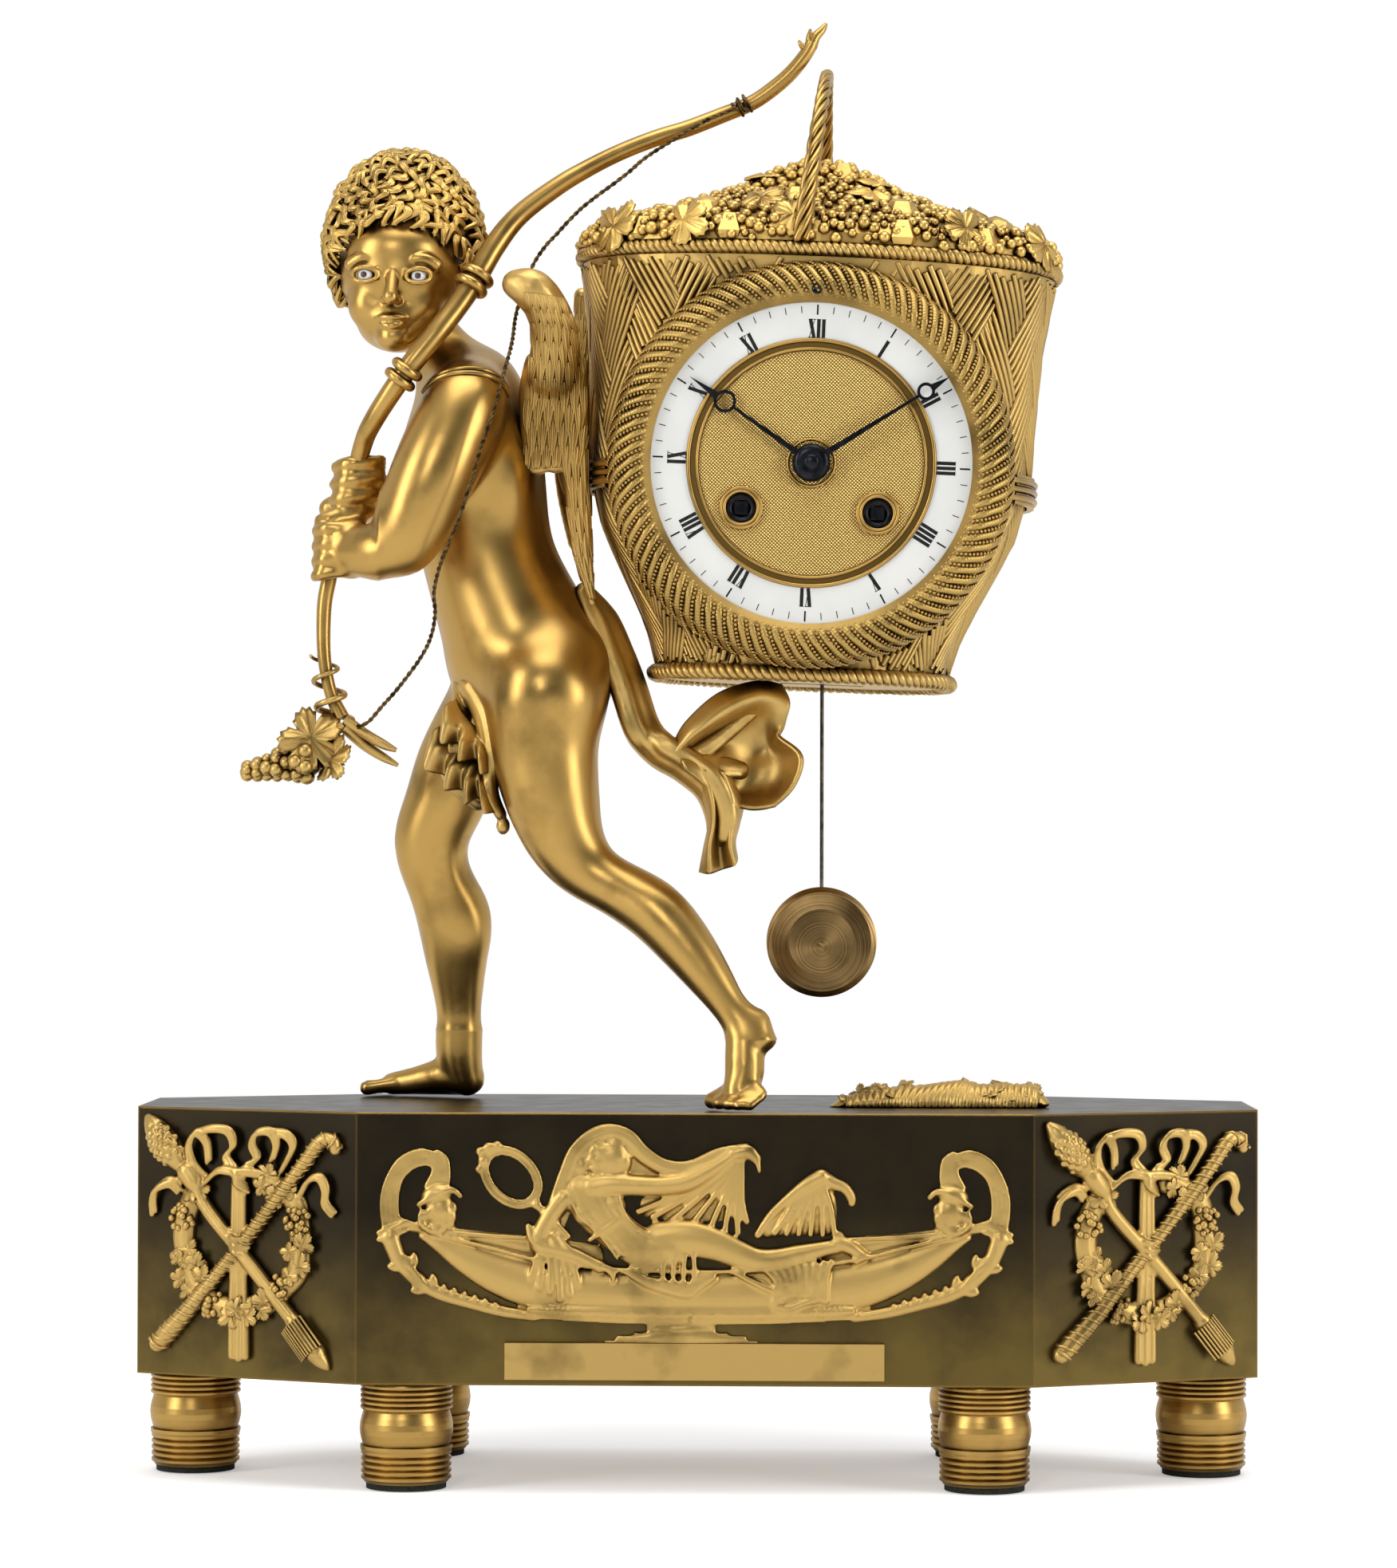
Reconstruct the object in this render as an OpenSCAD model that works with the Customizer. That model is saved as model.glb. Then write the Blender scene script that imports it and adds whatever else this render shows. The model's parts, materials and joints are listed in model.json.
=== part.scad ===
// Figural mantel clock: a winged boy with a bow walks to the left and carries a basket behind him.
// The basket is the case of the movement. The group stands on an eight-sided plinth with six feet.
// X runs to the right, Y to the back, Z up; the origin is under the plinth's centre, on the floor.

/* [Plinth] */
// Overall width of the plinth
plinth_w = 344; // [330:1:370]
// Width of the straight front between its corners
plinth_front_w = 204; // [196:1:216]
// Depth of the plinth
plinth_d = 110; // [106:1:120]
// Depth of the straight ends
plinth_end_d = 50; // [44:1:58]
// Height of the plinth without its feet
plinth_h = 82; // [80:1:92]
// Wall of the cast plinth
plinth_wall = 4; // [3:0.5:5]
// Thickness of the plate that closes the plinth from below
base_plate_t = 2.5; // [2:0.5:4]

/* [Feet] */
// Height of a foot with its pad
foot_h = 32.5; // [28:0.5:40]
// Radius of a foot at its rings
foot_r = 14.2; // [13:0.1:15]
// Thickness of the felt pad
foot_pad_t = 1.8; // [1:0.1:3]
// Radius of the stud that holds a foot
foot_stud_r = 2.5; // [2:0.1:3]

/* [Reliefs] */
// Height of the reliefs over the plinth's faces
relief_t = 4.5; // [3:0.1:4.8]
// Thickness of the flat plaque
plaque_t = 2.5; // [1.5:0.1:3]

/* [Basket] */
// Half width of the basket's body at the dial's height
basket_half_w = 68.5; // [67:0.5:71]
// Half depth of the basket's body at the dial's height
basket_half_d = 47; // [46:0.5:49]
// Height of the basket's rim over the bezel's tube
rim_over_bezel = 3; // [1:0.5:4]
// Depth to which the basket's plaits dip under each other
plait_dip = 0.9; // [0.6:0.1:1.2]
// Wall of the cast basket
basket_wall = 2; // [1.6:0.1:2.6]
// Thickness of the floor plate
basket_floor_t = 2.5; // [2:0.1:3.5]
// Radius of the rope along the rim
rim_rope_r = 2.3; // [1.8:0.1:2.8]
// Radius of the rope round the foot
base_rope_r = 2.6; // [2:0.1:3]
// Height of the grape heap over the rim
heap_h = 30; // [26:1:34]
// Height of the handle over the rim
handle_h = 65; // [60:1:70]
// Radius of the handle's strands at the rim
handle_r = 2.8; // [2.2:0.1:3.4]

/* [Dial] */
// Radius of the enamel hour ring
enamel_r = 49.4; // [48:0.1:51]
// Radius of the gilt centre
centre_r = 37.3; // [35:0.1:39]
// Thickness of the enamel ring
enamel_t = 1.6; // [1.2:0.1:2]
// Radius of the bezel's tube in the basket
bezel_r = 60; // [58:0.5:61]
// Radius of a winding hole
winding_hole_r = 4.6; // [4:0.1:5.5]
// Radius of a winding hole's collet
winding_ring_r = 6.5; // [6:0.1:7.5]
// Length of the minute hand from its axis
minute_hand_l = 49; // [44:0.5:49.5]
// Length of the hour hand from its axis
hour_hand_l = 45; // [38:0.5:46]

/* [Movement] */
// Radius of the movement's plates
plate_r = 42; // [41.5:0.5:46]
// Thickness of a plate
plate_t = 2; // [1.6:0.1:2.6]
// Distance between the plates
plate_gap = 34; // [32:0.5:36]
// Radius of a mainspring barrel
barrel_r = 16.5; // [15:0.5:18]
// Width of a winding square
square_w = 4; // [3.2:0.1:4.4]
// Radius of the bell
bell_r = 28; // [24:0.5:29]
// Radial play of a pivot in its hole
pivot_play = 0.05; // [0.03:0.01:0.08]
// Radius of the opening behind the movement
rear_r = 46; // [45:0.5:48]

/* [Pendulum] */
// Length from the pivot to the bob's centre
pendulum_l = 182; // [175:0.5:186]
// Radius of the pendulum's rod
rod_r = 0.6; // [0.5:0.05:0.9]
// Radius of the bob
bob_r = 17.3; // [15:0.1:18.5]
// Thickness of the bob
bob_t = 7; // [5:0.5:8]

/* [Hidden] */
$fn = 48;

gilt = "goldenrod";
burnished = "gold";
patina = "darkolivegreen";
brass = "khaki";
steel = "dimgray";

// Levels and places that follow from the sizes above.
top_z = foot_h + plinth_h;
cant_turn = atan2((plinth_d - plinth_end_d) / 2, (plinth_w - plinth_front_w) / 2);
face_z = foot_h + plinth_h / 2;
foot_edge = 0.8;
foot_x = plinth_front_w / 2 - foot_r;
foot_y = plinth_d / 2 - foot_r - foot_edge;
end_foot_x = plinth_w / 2 - foot_r - foot_edge;

// The basket's own frame has its origin on the dial's axis; it leans a little to the right.
basket_left_x = -33.9;
dial_x = basket_left_x + basket_half_w;
dial_lift = 196.1;
basket_lean = 2.3;
basket_low = -62;
belt_half_h = 4.5;
belt_w = -3;
oval_power = 2 / 2.4;
oval_steps = 40;
basket_up = bezel_r + rim_over_bezel;
rim_half_w = basket_half_w + 5.5;
rim_half_d = basket_half_d + 3;
foot_half_w = basket_half_w - 23.5;
foot_half_d = basket_half_d - 9;
base_half_w = foot_half_w + 1;
base_half_d = foot_half_d + 1;
rim_w = basket_up + 2 * rim_rope_r;
rope_play = 0.15;

// Depths along the dial's axis, from the front to the back.
dial_front = -53.4;
dial_back = dial_front + enamel_t;
bezel_crest = dial_front - 3.4;
bezel_flange = 1.5;
flange_back = bezel_crest + 12;
dial_plate_t = 1.5;
front_plate_y = -46;
back_plate_y = front_plate_y + plate_t + plate_gap;
cannon_r = 2.5;
pipe_r = 3.4;
collet_r = 5.8;
motion_gap = 16;
cannon_wheel_r = 3.85;
minute_wheel_r = 11.85;
minute_pinion_r = 3.05;
hour_wheel_r = 12.65;
minute_wheel_at = [-motion_gap * sin(45), motion_gap * cos(45)];
barrel_x = 20.6;
barrel_w = -14.4;
barrel_d = 18;
barrel_y = front_plate_y + plate_t + 7;
barrel_rim_t = 1.4;
going_rim_r = 21;
centre_pinion_r = 3.85;
arbor_r = 3;

// The pendulum hangs straight down from a pivot behind the back plate.
pendulum_x = dial_x + 3.9;
pendulum_y = 8;
pivot_w = 36.5;
pivot_u = (pendulum_x - dial_x - pivot_w * sin(basket_lean)) / cos(basket_lean);
pivot_z = dial_lift + pivot_w * cos(basket_lean) - pivot_u * sin(basket_lean);
eye_r = 2.2;
pin_r = 0.8;
escape_at = [pivot_u, 20];
bell_at = [-12, -6];
bell_y = 15;
bell_h = 14;
post_r = 2;
count_at = [-24, 20];
count_y = back_plate_y + plate_t + 0.5;
hammer_at = [30, -24];
rear_y = rim_half_d + 1.5;
door_t = 2;
door_r = rear_r + 1.5;
hinge_r = 1.6;
hinge_u = -door_r - hinge_r - 0.4;
hinge_y = rear_y + door_t / 2 + 0.6;

// Sweeps. A path is a list of [x, y, z, radius]; ref is a direction that no stretch runs along.
function unit(v) = v / norm(v);
function head(p) = [p[0], p[1], p[2]];
function along(path, i) = let(n = len(path) - 1)
    unit(head(path[min(i + 1, n)]) - head(path[max(i - 1, 0)]));
function ring_at(path, i, sides, ref) = let(t = along(path, i), a = unit(cross(ref, t)), b = cross(t, a))
    [for (k = [0:sides - 1]) head(path[i]) + path[i][3] * (cos(360 * k / sides) * a + sin(360 * k / sides) * b)];
function side_faces(rings, n) = [for (i = [0:rings - 2]) for (k = [0:n - 1])
    let(a = i * n + k, b = i * n + (k + 1) % n, c = b + n, d = a + n) each [[a, c, b], [a, d, c]]];
function cap_faces(rings, n) = [
    [for (k = [0:n - 1]) k],
    [for (k = [n - 1:-1:0]) (rings - 1) * n + k]];
module tube(path, sides = 8, ref = [0, 1, 0]) {
    points = [for (i = [0:len(path) - 1]) each ring_at(path, i, sides, ref)];
    polyhedron(points, concat(side_faces(len(path), sides), cap_faces(len(path), sides)));
}

// Chains of balls: each pair of neighbours is joined, which swells and tapers like a limb.
module ball(p, steps) {
    translate(head(p)) sphere(r = p[3], $fn = steps);
}
module limb(path, steps = 12) {
    for (i = [0:len(path) - 2]) hull() {
        ball(path[i], steps);
        ball(path[i + 1], steps);
    }
}
module blob(p, steps = 18) {
    translate(head(p)) scale([p[3], p[4], p[5]]) sphere(r = 1, $fn = steps);
}
module swell(path, steps = 18) {
    for (i = [0:len(path) - 2]) hull() {
        blob(path[i], steps);
        blob(path[i + 1], steps);
    }
}

// Ovals of the basket's plan, with flat fronts and round ends.
function turn_sign(v) = v < 0 ? -1 : 1;
function oval(a, b, t) = [
    a * turn_sign(cos(t)) * pow(abs(cos(t)), oval_power),
    b * turn_sign(sin(t)) * pow(abs(sin(t)), oval_power)];
// A closed outline of [half width, half depth, height], up the inside and down the outside, taken round the oval.
// dips holds how far each place of the outline dips at every other step.
module oval_ring(outline, dips = []) {
    m = len(outline);
    points = [for (j = [0:oval_steps - 1]) for (i = [0:m - 1])
        let(p = outline[i], dip = (i + j) % 2 == 0 || len(dips) == 0 ? 0 : dips[i],
            q = oval(p[0] - dip, p[1] - dip, 360 * j / oval_steps)) [q[0], q[1], p[2]]];
    faces = [for (j = [0:oval_steps - 1]) for (k = [0:m - 1])
        let(a = j * m + k, b = j * m + (k + 1) % m, g = ((j + 1) % oval_steps) * m)
        each [[a, g + (k + 1) % m, b], [a, g + k, g + (k + 1) % m]]];
    polyhedron(points, faces);
}
// A stack of ovals, closed at both ends.
module oval_stack(levels) {
    points = [for (p = levels) for (j = [0:oval_steps - 1])
        let(q = oval(p[0], p[1], 360 * j / oval_steps)) [q[0], q[1], p[2]]];
    polyhedron(points, concat(side_faces(len(levels), oval_steps), cap_faces(len(levels), oval_steps)));
}

// Frames of the parts that carry others.
module on_plinth() {
    translate([0, 0, top_z]) children();
}
module in_basket() {
    translate([dial_x, 0, top_z + dial_lift]) rotate([0, basket_lean, 0]) children();
}
// A drawing in X and Z, raised towards the front from depth y.
module facing(y, t) {
    translate([0, y, 0]) rotate([90, 0, 0]) linear_extrude(t) children();
}
// A disc or ring along Y from depth y towards the back.
module disc(r, y, t, at = [0, 0]) {
    translate([at[0], y, at[1]]) rotate([-90, 0, 0]) cylinder(r = r, h = t);
}
module turned(at = [0, 0]) {
    translate([at[0], 0, at[1]]) rotate([-90, 0, 0]) rotate_extrude() children();
}

// Plinth
function plan(t) = [
    for (s = [[1, -1], [1, 1], [-1, 1], [-1, -1]])
        let(
            front = [s[0] * (plinth_front_w / 2 - t * tan(cant_turn / 2)), s[1] * (plinth_d / 2 - t)],
            end = [s[0] * (plinth_w / 2 - t), s[1] * (plinth_end_d / 2 - t * tan(45 - cant_turn / 2))])
        each (s[0] * s[1] < 0 ? [front, end] : [end, front])];
module at_feet() {
    for (p = [[-foot_x, -foot_y], [foot_x, -foot_y], [-foot_x, foot_y], [foot_x, foot_y],
              [-end_foot_x, 0], [end_foot_x, 0]])
        translate([p[0], p[1], 0]) children();
}
module plinth_shell() {
    color(patina) difference() {
        translate([0, 0, foot_h]) linear_extrude(plinth_h) polygon(plan(0));
        translate([0, 0, foot_h - 1]) linear_extrude(plinth_h - plinth_wall + 1) polygon(plan(plinth_wall));
    }
}
module plinth_base_plate() {
    color(brass) difference() {
        translate([0, 0, foot_h]) linear_extrude(base_plate_t) polygon(plan(plinth_wall));
        at_feet() translate([0, 0, foot_h - 1]) cylinder(r = foot_stud_r, h = base_plate_t + 2);
    }
}

// Feet: rings, a swelling barrel and rings again, with a stud on top.
ring_n = 5;
function ring_row(z0, z1, r) = [for (k = [0:ring_n - 1]) let(s = (z1 - z0) / ring_n)
    each [[r - 0.7, z0 + k * s], [r, z0 + (k + 0.3) * s], [r, z0 + (k + 0.7) * s]]];
module foot() {
    barrel_low = foot_h * 0.4;
    barrel_high = foot_h * 0.72;
    color(burnished) {
        rotate_extrude() polygon(concat(
            [[0, foot_pad_t], [foot_r - 1.6, foot_pad_t]],
            ring_row(foot_pad_t + 0.6, barrel_low - 1.2, foot_r - 0.5),
            [[foot_r - 0.2, barrel_low - 1], [foot_r - 0.2, barrel_low]],
            [for (k = [0:6]) [foot_r - 1.1 + 1.1 * sin(30 * k), barrel_low + (barrel_high - barrel_low) * k / 6]],
            ring_row(barrel_high + 0.3, foot_h - 0.6, foot_r - 0.2),
            [[foot_r - 0.6, foot_h], [foot_stud_r, foot_h], [foot_stud_r, foot_h + 10], [0, foot_h + 10]]));
    }
}
module foot_front_left() { translate([-foot_x, -foot_y, 0]) foot(); }
module foot_front_right() { translate([foot_x, -foot_y, 0]) foot(); }
module foot_back_left() { translate([-foot_x, foot_y, 0]) foot(); }
module foot_back_right() { translate([foot_x, foot_y, 0]) foot(); }
module foot_end_left() { translate([-end_foot_x, 0, 0]) foot(); }
module foot_end_right() { translate([end_foot_x, 0, 0]) foot(); }
module foot_pads() {
    color("black") at_feet() cylinder(r = foot_r - 2, h = foot_pad_t);
}
module foot_nuts() {
    color(steel) at_feet() translate([0, 0, foot_h + base_plate_t]) difference() {
        cylinder(r = foot_stud_r * 1.9, h = 3.5, $fn = 6);
        translate([0, 0, -1]) cylinder(r = foot_stud_r, h = 6);
    }
}

// Reliefs: drawn flat in the face's own frame, from the face's centre.
module on_front() {
    translate([0, -plinth_d / 2, face_z]) rotate([90, 0, 0]) children();
}
module on_cant(side) {
    translate([side * (plinth_front_w + plinth_w) / 4, -(plinth_d + plinth_end_d) / 4, face_z])
        rotate([0, 0, side * cant_turn]) rotate([90, 0, 0]) children();
}
module flat(t) {
    linear_extrude(t) children();
}
module stroke(points, r) {
    for (i = [0:len(points) - 2]) {
        a = points[i];
        d = points[i + 1] - a;
        translate(a) rotate(atan2(d[1], d[0])) translate([0, -r]) square([norm(d), 2 * r]);
        translate(a) circle(r * 1.06);
    }
    translate(last(points)) circle(r * 1.06);
}
// Half of the boat: a prow that curls over into a head, its stem and its beaded keel.
module boat_end() {
    flat(relief_t * 0.7) stroke([[-93, 6], [-94, 14], [-92, 23], [-87, 29], [-81, 29], [-77, 24]], 3);
    translate([-77, 15, 0]) linear_extrude(relief_t) circle(6.5);
    flat(relief_t * 0.8) polygon([[-82, 9], [-73, 9], [-75, 24], [-80, 25]]);
    flat(relief_t * 0.6) stroke([[-93, 6], [-90, -3], [-81, -11], [-66, -17], [-52, -20]], 2.2);
}
module front_relief() {
    color(gilt) on_front() {
        flat(relief_t * 0.75) polygon([[-88, 8], [-78, 5], [-50, -1], [-30, -2], [30, -2], [50, -1], [78, 5], [88, 8],
            [74, -5], [63, -14], [53, -18], [40, -21], [-40, -21], [-53, -18], [-63, -14], [-74, -5]]);
        boat_end();
        mirror([1, 0, 0]) boat_end();
        flat(relief_t * 0.55) polygon([[-24, -18], [18, -18], [18, -28], [-24, -28]]);
        // The draped figure: head under a veil, shoulders, raised hand, raised knee.
        translate([-24, 24, 0]) linear_extrude(relief_t) circle(7);
        flat(relief_t * 0.9) polygon([[-42, -3], [-41, 16], [-34, 30], [-24, 36], [-14, 31], [-8, 18],
            [8, 10], [24, 12], [36, 23], [44, 20], [52, 2], [55, -3]]);
        flat(relief_t * 0.7) stroke([[2, 12], [16, 18], [16, 29]], 3);
        flat(relief_t * 0.5) stroke([[-40, 6], [-53.5, 20.5]], 1.4);
        flat(relief_t * 0.5) translate([-56, 23]) circle(7);
    }
}
module front_plaque() {
    plaque_w = 114;
    plaque_h = 11;
    plaque_low = -39;
    color(gilt) on_front() translate([-plaque_w / 2, plaque_low, 0]) cube([plaque_w, plaque_h, plaque_t]);
}
module trophy() {
    color(gilt) {
        flat(relief_t * 0.7) stroke([[-29, 30], [27, -31]], 2.4);
        flat(relief_t * 0.7) translate([-28, 29]) rotate(45) square([15, 10], center = true);
        flat(relief_t * 0.9) stroke([[-30, -28], [25, 29], [30, 29], [31, 25]], 2.3);
        flat(relief_t * 0.6) stroke([[0, 20], [0, -33]], 2.6);
        flat(relief_t) stroke([[-20, 12], [-22, -2], [-18, -14], [-8, -21], [0, -22],
            [9, -20], [17, -13], [20, -2], [19, 10]], 5.2);
        flat(relief_t * 0.8) stroke([[-29, 14], [-22, 12], [-12, 26], [-6, 32], [0, 20], [6, 30], [12, 31],
            [18, 14], [27, 15]], 2);
    }
}
module trophy_left() { on_cant(-1) trophy(); }
module trophy_right() { on_cant(1) trophy(); }
module leaf_mount() {
    leaf_n = 7;
    step = 9;
    color(gilt) on_plinth() {
        hull() {
            translate([44, -21, 0]) cylinder(r = 3, h = 1.6, $fn = 16);
            translate([105, -19, 0]) cylinder(r = 2.5, h = 1.6, $fn = 16);
        }
        for (k = [0:leaf_n - 1]) hull() {
            translate([46 + step * k, -20, 0]) cylinder(r = 3.4, h = 2, $fn = 8);
            translate([48 + step * k, -16, 3.5]) sphere(r = 3, $fn = 7);
            translate([50 + step * k, -13, 6.8 - abs(k - 3) * 0.6]) sphere(r = 2.4, $fn = 7);
        }
    }
}

// Figure, in millimetres over the plinth's top. It walks to the left, its left side to the front.
torso_path = [
    [-51, 0, 131, 25, 29, 18], [-56, 0, 147, 26, 27, 14], [-62, 0, 162, 24, 25, 12],
    [-67, 0, 175, 22, 23, 12], [-69.5, 0, 190, 22.5, 25, 12], [-71, 0, 207, 22.5, 28, 12],
    [-71, 0, 219, 19, 30, 10], [-72, -2, 229, 15, 23, 9]];
neck_path = [[-77, -1, 229, 12.5], [-84, -3, 239, 10.5], [-88, -5, 247, 10]];
near_leg_path = [
    [-47, -17, 127, 20.5], [-48, -17, 112, 17.4], [-46, -18, 100, 16.2], [-43, -19, 87, 13.8],
    [-39, -20, 78.5, 11.8], [-34, -21, 72.6, 10.3], [-27.5, -23, 69, 9.8], [-20, -25, 65, 10.2],
    [-12.3, -27.5, 60, 10.7], [-3.8, -30.5, 50.6, 9.9], [4, -33.5, 40.2, 8.2], [11.5, -36, 29, 6.2]];
near_foot_path = [[20.5, -37, 28.5, 4.8], [16.2, -38, 17.5, 7.2], [17.4, -39, 11.4, 6.4], [14, -40, 6, 5.4]];
near_toes = [[5.5, -38, 2.6, 2.6], [7, -42, 2.3, 2.3], [10, -45, 2.2, 2.2], [13.5, -47, 2, 2], [17, -48, 2, 2]];
far_leg_path = [
    [-64, 16, 127, 16], [-72, 18, 115, 14.8], [-77, 19, 106, 14.2], [-81, 20, 94, 13.6], [-86, 21, 84, 12.4],
    [-85.5, 22, 75.5, 11.8], [-82, 24, 67, 11.6], [-79, 26, 57, 12], [-78, 28, 46, 11], [-77.3, 30, 34, 9],
    [-77, 31, 24, 7.6], [-77, 31.5, 14, 7.4]];
far_foot_path = [[-75.5, 32, 6, 5.8], [-84, 34, 8, 5.2], [-92, 37, 5.4, 4], [-101, 40, 3.8, 3.2]];
far_toes = [[-107, 37, 2.6, 2.2], [-107, 40, 2.4, 2.1], [-106.5, 43, 2.2, 2], [-105.5, 46, 2.1, 1.9]];
function last(v) = v[len(v) - 1];
module foot_form(path, toes, ball_of_foot) {
    limb(path, 12);
    for (t = toes) hull() {
        ball(t, 10);
        ball(ball_of_foot, 10);
    }
}
module body_form() {
    swell(torso_path, 20);
    limb(neck_path);
    limb(near_leg_path);
    limb(far_leg_path);
    foot_form(concat([last(near_leg_path)], near_foot_path), near_toes, [13.5, -41, 5, 4.4]);
    foot_form(concat([last(far_leg_path)], far_foot_path), far_toes, [-98, 40, 4, 3.2]);
}
module above_top() {
    translate([-200, -100, 0]) cube([400, 200, 400]);
}
module figure_body() {
    color(burnished) on_plinth() intersection() {
        body_form();
        above_top();
    }
}
skull = [-92.5, -6, 271, 22, 23, 22];
jaw = [-92, -14, 253.5, 17.5, 18, 20.5];
eye_r_mm = 2.3;
eye_play = 0.12;
eye_at = [[-102.6, -28.6, 256], [-86, -30.2, 255.4]];
hair_r = 6;
module head_form() {
    blob(skull, 16);
    blob(jaw, 16);
    hull() {
        ball([-94, -31.5, 256, 2], 10);
        ball([-94.3, -34, 248, 2.4], 10);
    }
    // Curls: rings of balls round the skull, lower at the sides and back than over the brow.
    for (ring = [0:2], k = [0:9]) {
        up = 12 + 26 * ring;
        turn = 36 * k + 18 * ring;
        front = sin(turn) < -0.6 && ring == 0;
        if (!front) hull() {
            ball([skull[0] + 21 * cos(up) * cos(turn), skull[1] + 21 * cos(up) * sin(turn),
                skull[2] - 4 + 26 * sin(up), hair_r], 7);
            ball([skull[0], skull[1], skull[2], 8], 5);
        }
    }
    ball([skull[0] - 1, skull[1], skull[2] + 21, hair_r + 2], 8);
    for (s = [-1, 1], k = [0:1]) hull() {
        ball([skull[0] + s * 20 - 1, skull[1] - 2 + 7 * k, skull[2] - 13 - 6 * k, hair_r], 8);
        ball([skull[0] + s * 12, skull[1], skull[2] - 4, 6], 6);
    }
}
module figure_head() {
    color(burnished) on_plinth() difference() {
        head_form();
        body_form();
        for (p = eye_at) ball(concat(p, [eye_r_mm + eye_play]), 16);
    }
}
module figure_eyes() {
    color("white") on_plinth() for (p = eye_at) translate(p) sphere(r = eye_r_mm - 0.05);
}
near_arm_path = [
    [-70, -27, 220, 12], [-72.5, -31, 214, 14], [-77.5, -35, 202, 14.2], [-82.5, -37, 190, 13.8],
    [-87.5, -37, 177.5, 12.2], [-89.5, -36, 172.5, 10.8], [-97, -34, 170.5, 9.1], [-105, -30, 170.8, 7.8]];
far_arm_path = [
    [-70, 25, 222, 11.5], [-76, 29, 212, 12], [-86, 29, 197, 11.5], [-95, 21, 187, 10.2],
    [-101, 6, 189, 8.6], [-104, -6, 190.5, 7.4]];
near_fist = [-110.5, -24, 171, 8.2];
far_fist = [-105.5, -17, 190.5, 8.2];
// A fist round the bow: the palm and four fingers, one over the other.
module fist(at, finger_r, back) {
    ball(at, 14);
    for (k = [0:3]) {
        z = at[2] + (k - 1.5) * finger_r * 1.9;
        hull() {
            ball([at[0] + back * 7, at[1] - 3, z, finger_r], 10);
            ball([at[0] - back * 4, at[1] - 7.5, z, finger_r], 10);
        }
        hull() {
            ball([at[0] - back * 4, at[1] - 7.5, z, finger_r], 10);
            ball([at[0] - back * 7.5, at[1] - 2, z - 0.5, finger_r], 10);
        }
    }
}
module near_arm_form() {
    limb(near_arm_path);
    fist(near_fist, 2.4, 1);
}
module far_arm_form() {
    limb(far_arm_path);
    fist(far_fist, 3, 1);
    ball([-115, -12, 185, 6], 12);
}
module near_arm() {
    color(burnished) on_plinth() difference() {
        near_arm_form();
        body_form();
        bow_form();
    }
}
module far_arm() {
    color(burnished) on_plinth() difference() {
        far_arm_form();
        body_form();
        near_arm_form();
        bow_form();
    }
}
// Wings: an arch over short and long feathers, thin from front to back.
module near_wing_form() {
    limb([[-55.7, -36, 252.3, 4.6], [-51, -36, 250.6, 6.6], [-47, -33, 246, 6.6], [-44.3, -28, 238, 7.2],
        [-45, -23, 227, 8.4]]);
    translate([0, -19, 0]) scale([1, 0.5, 1]) {
        limb([[-46, -8, 227, 9], [-50.4, -4, 220, 5.6], [-51.4, -2, 211, 5], [-50.6, 0, 200, 5.6]]);
        limb([[-45, -8, 226, 8], [-45.3, -2, 202, 5]]);
        limb([[-40, -8, 229, 5.6], [-38.8, -2, 210, 5], [-37.8, 0, 196, 4.2], [-37.2, 0, 184, 4], [-36.1, 0, 172.4, 3.5],
            [-34.1, 0, 161.7, 2.1], [-32.8, 0, 155.5, 1.2]]);
    }
}
module near_wing() {
    color(gilt) on_plinth() difference() {
        near_wing_form();
        body_form();
    }
}
module far_wing_form() {
    limb([[-55, 14, 214, 5.5], [-45, 20, 222, 6]]);
    limb([[-38.3, 28, 256.5, 2.8], [-37.6, 28, 250, 3.1], [-37.2, 26, 242, 4], [-38, 24, 231, 5], [-40.5, 21, 222, 6.5]]);
    translate([0, 19, 0]) scale([1, 0.5, 1]) {
        limb([[-42, 2, 228, 6.5], [-46, 0, 216, 6], [-48, 0, 206, 4.4]]);
        limb([[-41.5, 2, 228, 7], [-40.5, 0, 203, 5.6], [-38.5, 0, 181, 4.2], [-36, 0, 164, 2]]);
        limb([[-42, -4, 222, 6.5], [-41.5, -2, 196, 5], [-39.5, -3, 177, 3]]);
    }
}
module far_wing() {
    color(gilt) on_plinth() difference() {
        far_wing_form();
        body_form();
    }
}
module hip_cloth() {
    color(gilt) on_plinth() difference() {
        union() {
            limb([[-73.5, -4, 131, 4], [-74, -8, 121, 4.5], [-78, -10, 109, 6], [-74.5, -11, 99.5, 5.6],
                [-67, -12, 93.5, 4.2], [-60.8, -13, 88, 2]], 12);
            limb([[-75, -10, 120, 3.4], [-83.6, -12, 107.4, 2.6], [-79, -13, 99.5, 2.8]], 12);
            limb([[-69, -8, 124, 4], [-66.5, -14, 108, 4], [-68, -15, 98, 3]], 12);
        }
        body_form();
    }
}
module back_cloth_form() {
    limb([[-35, -6, 158, 4], [-29.5, -7, 150, 6.4], [-25, -9, 140, 7], [-22, -10, 130, 7], [-17.5, -11, 117, 7],
        [-12, -12, 110.5, 7], [-4, -13, 105.5, 6.8], [5, -14, 99, 7], [7.5, -14, 90.5, 6.8], [6.8, -14, 82, 5.2],
        [6.8, -14, 75.5, 5]], 12);
    limb([[-8, -12, 108, 6.5], [1, -11, 113, 6.2], [8.5, -10, 120.5, 7.4], [15.5, -8, 127, 8], [20, -8, 131, 8]], 12);
    limb([[8, -11, 117, 7], [17, -12, 112, 8], [22, -13, 104, 9], [26, -13, 104, 6], [22, -13, 100, 8]], 12);
    limb([[20, -8, 128, 8], [23, -11, 118, 6], [25, -12, 110, 6]], 12);
}
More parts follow.
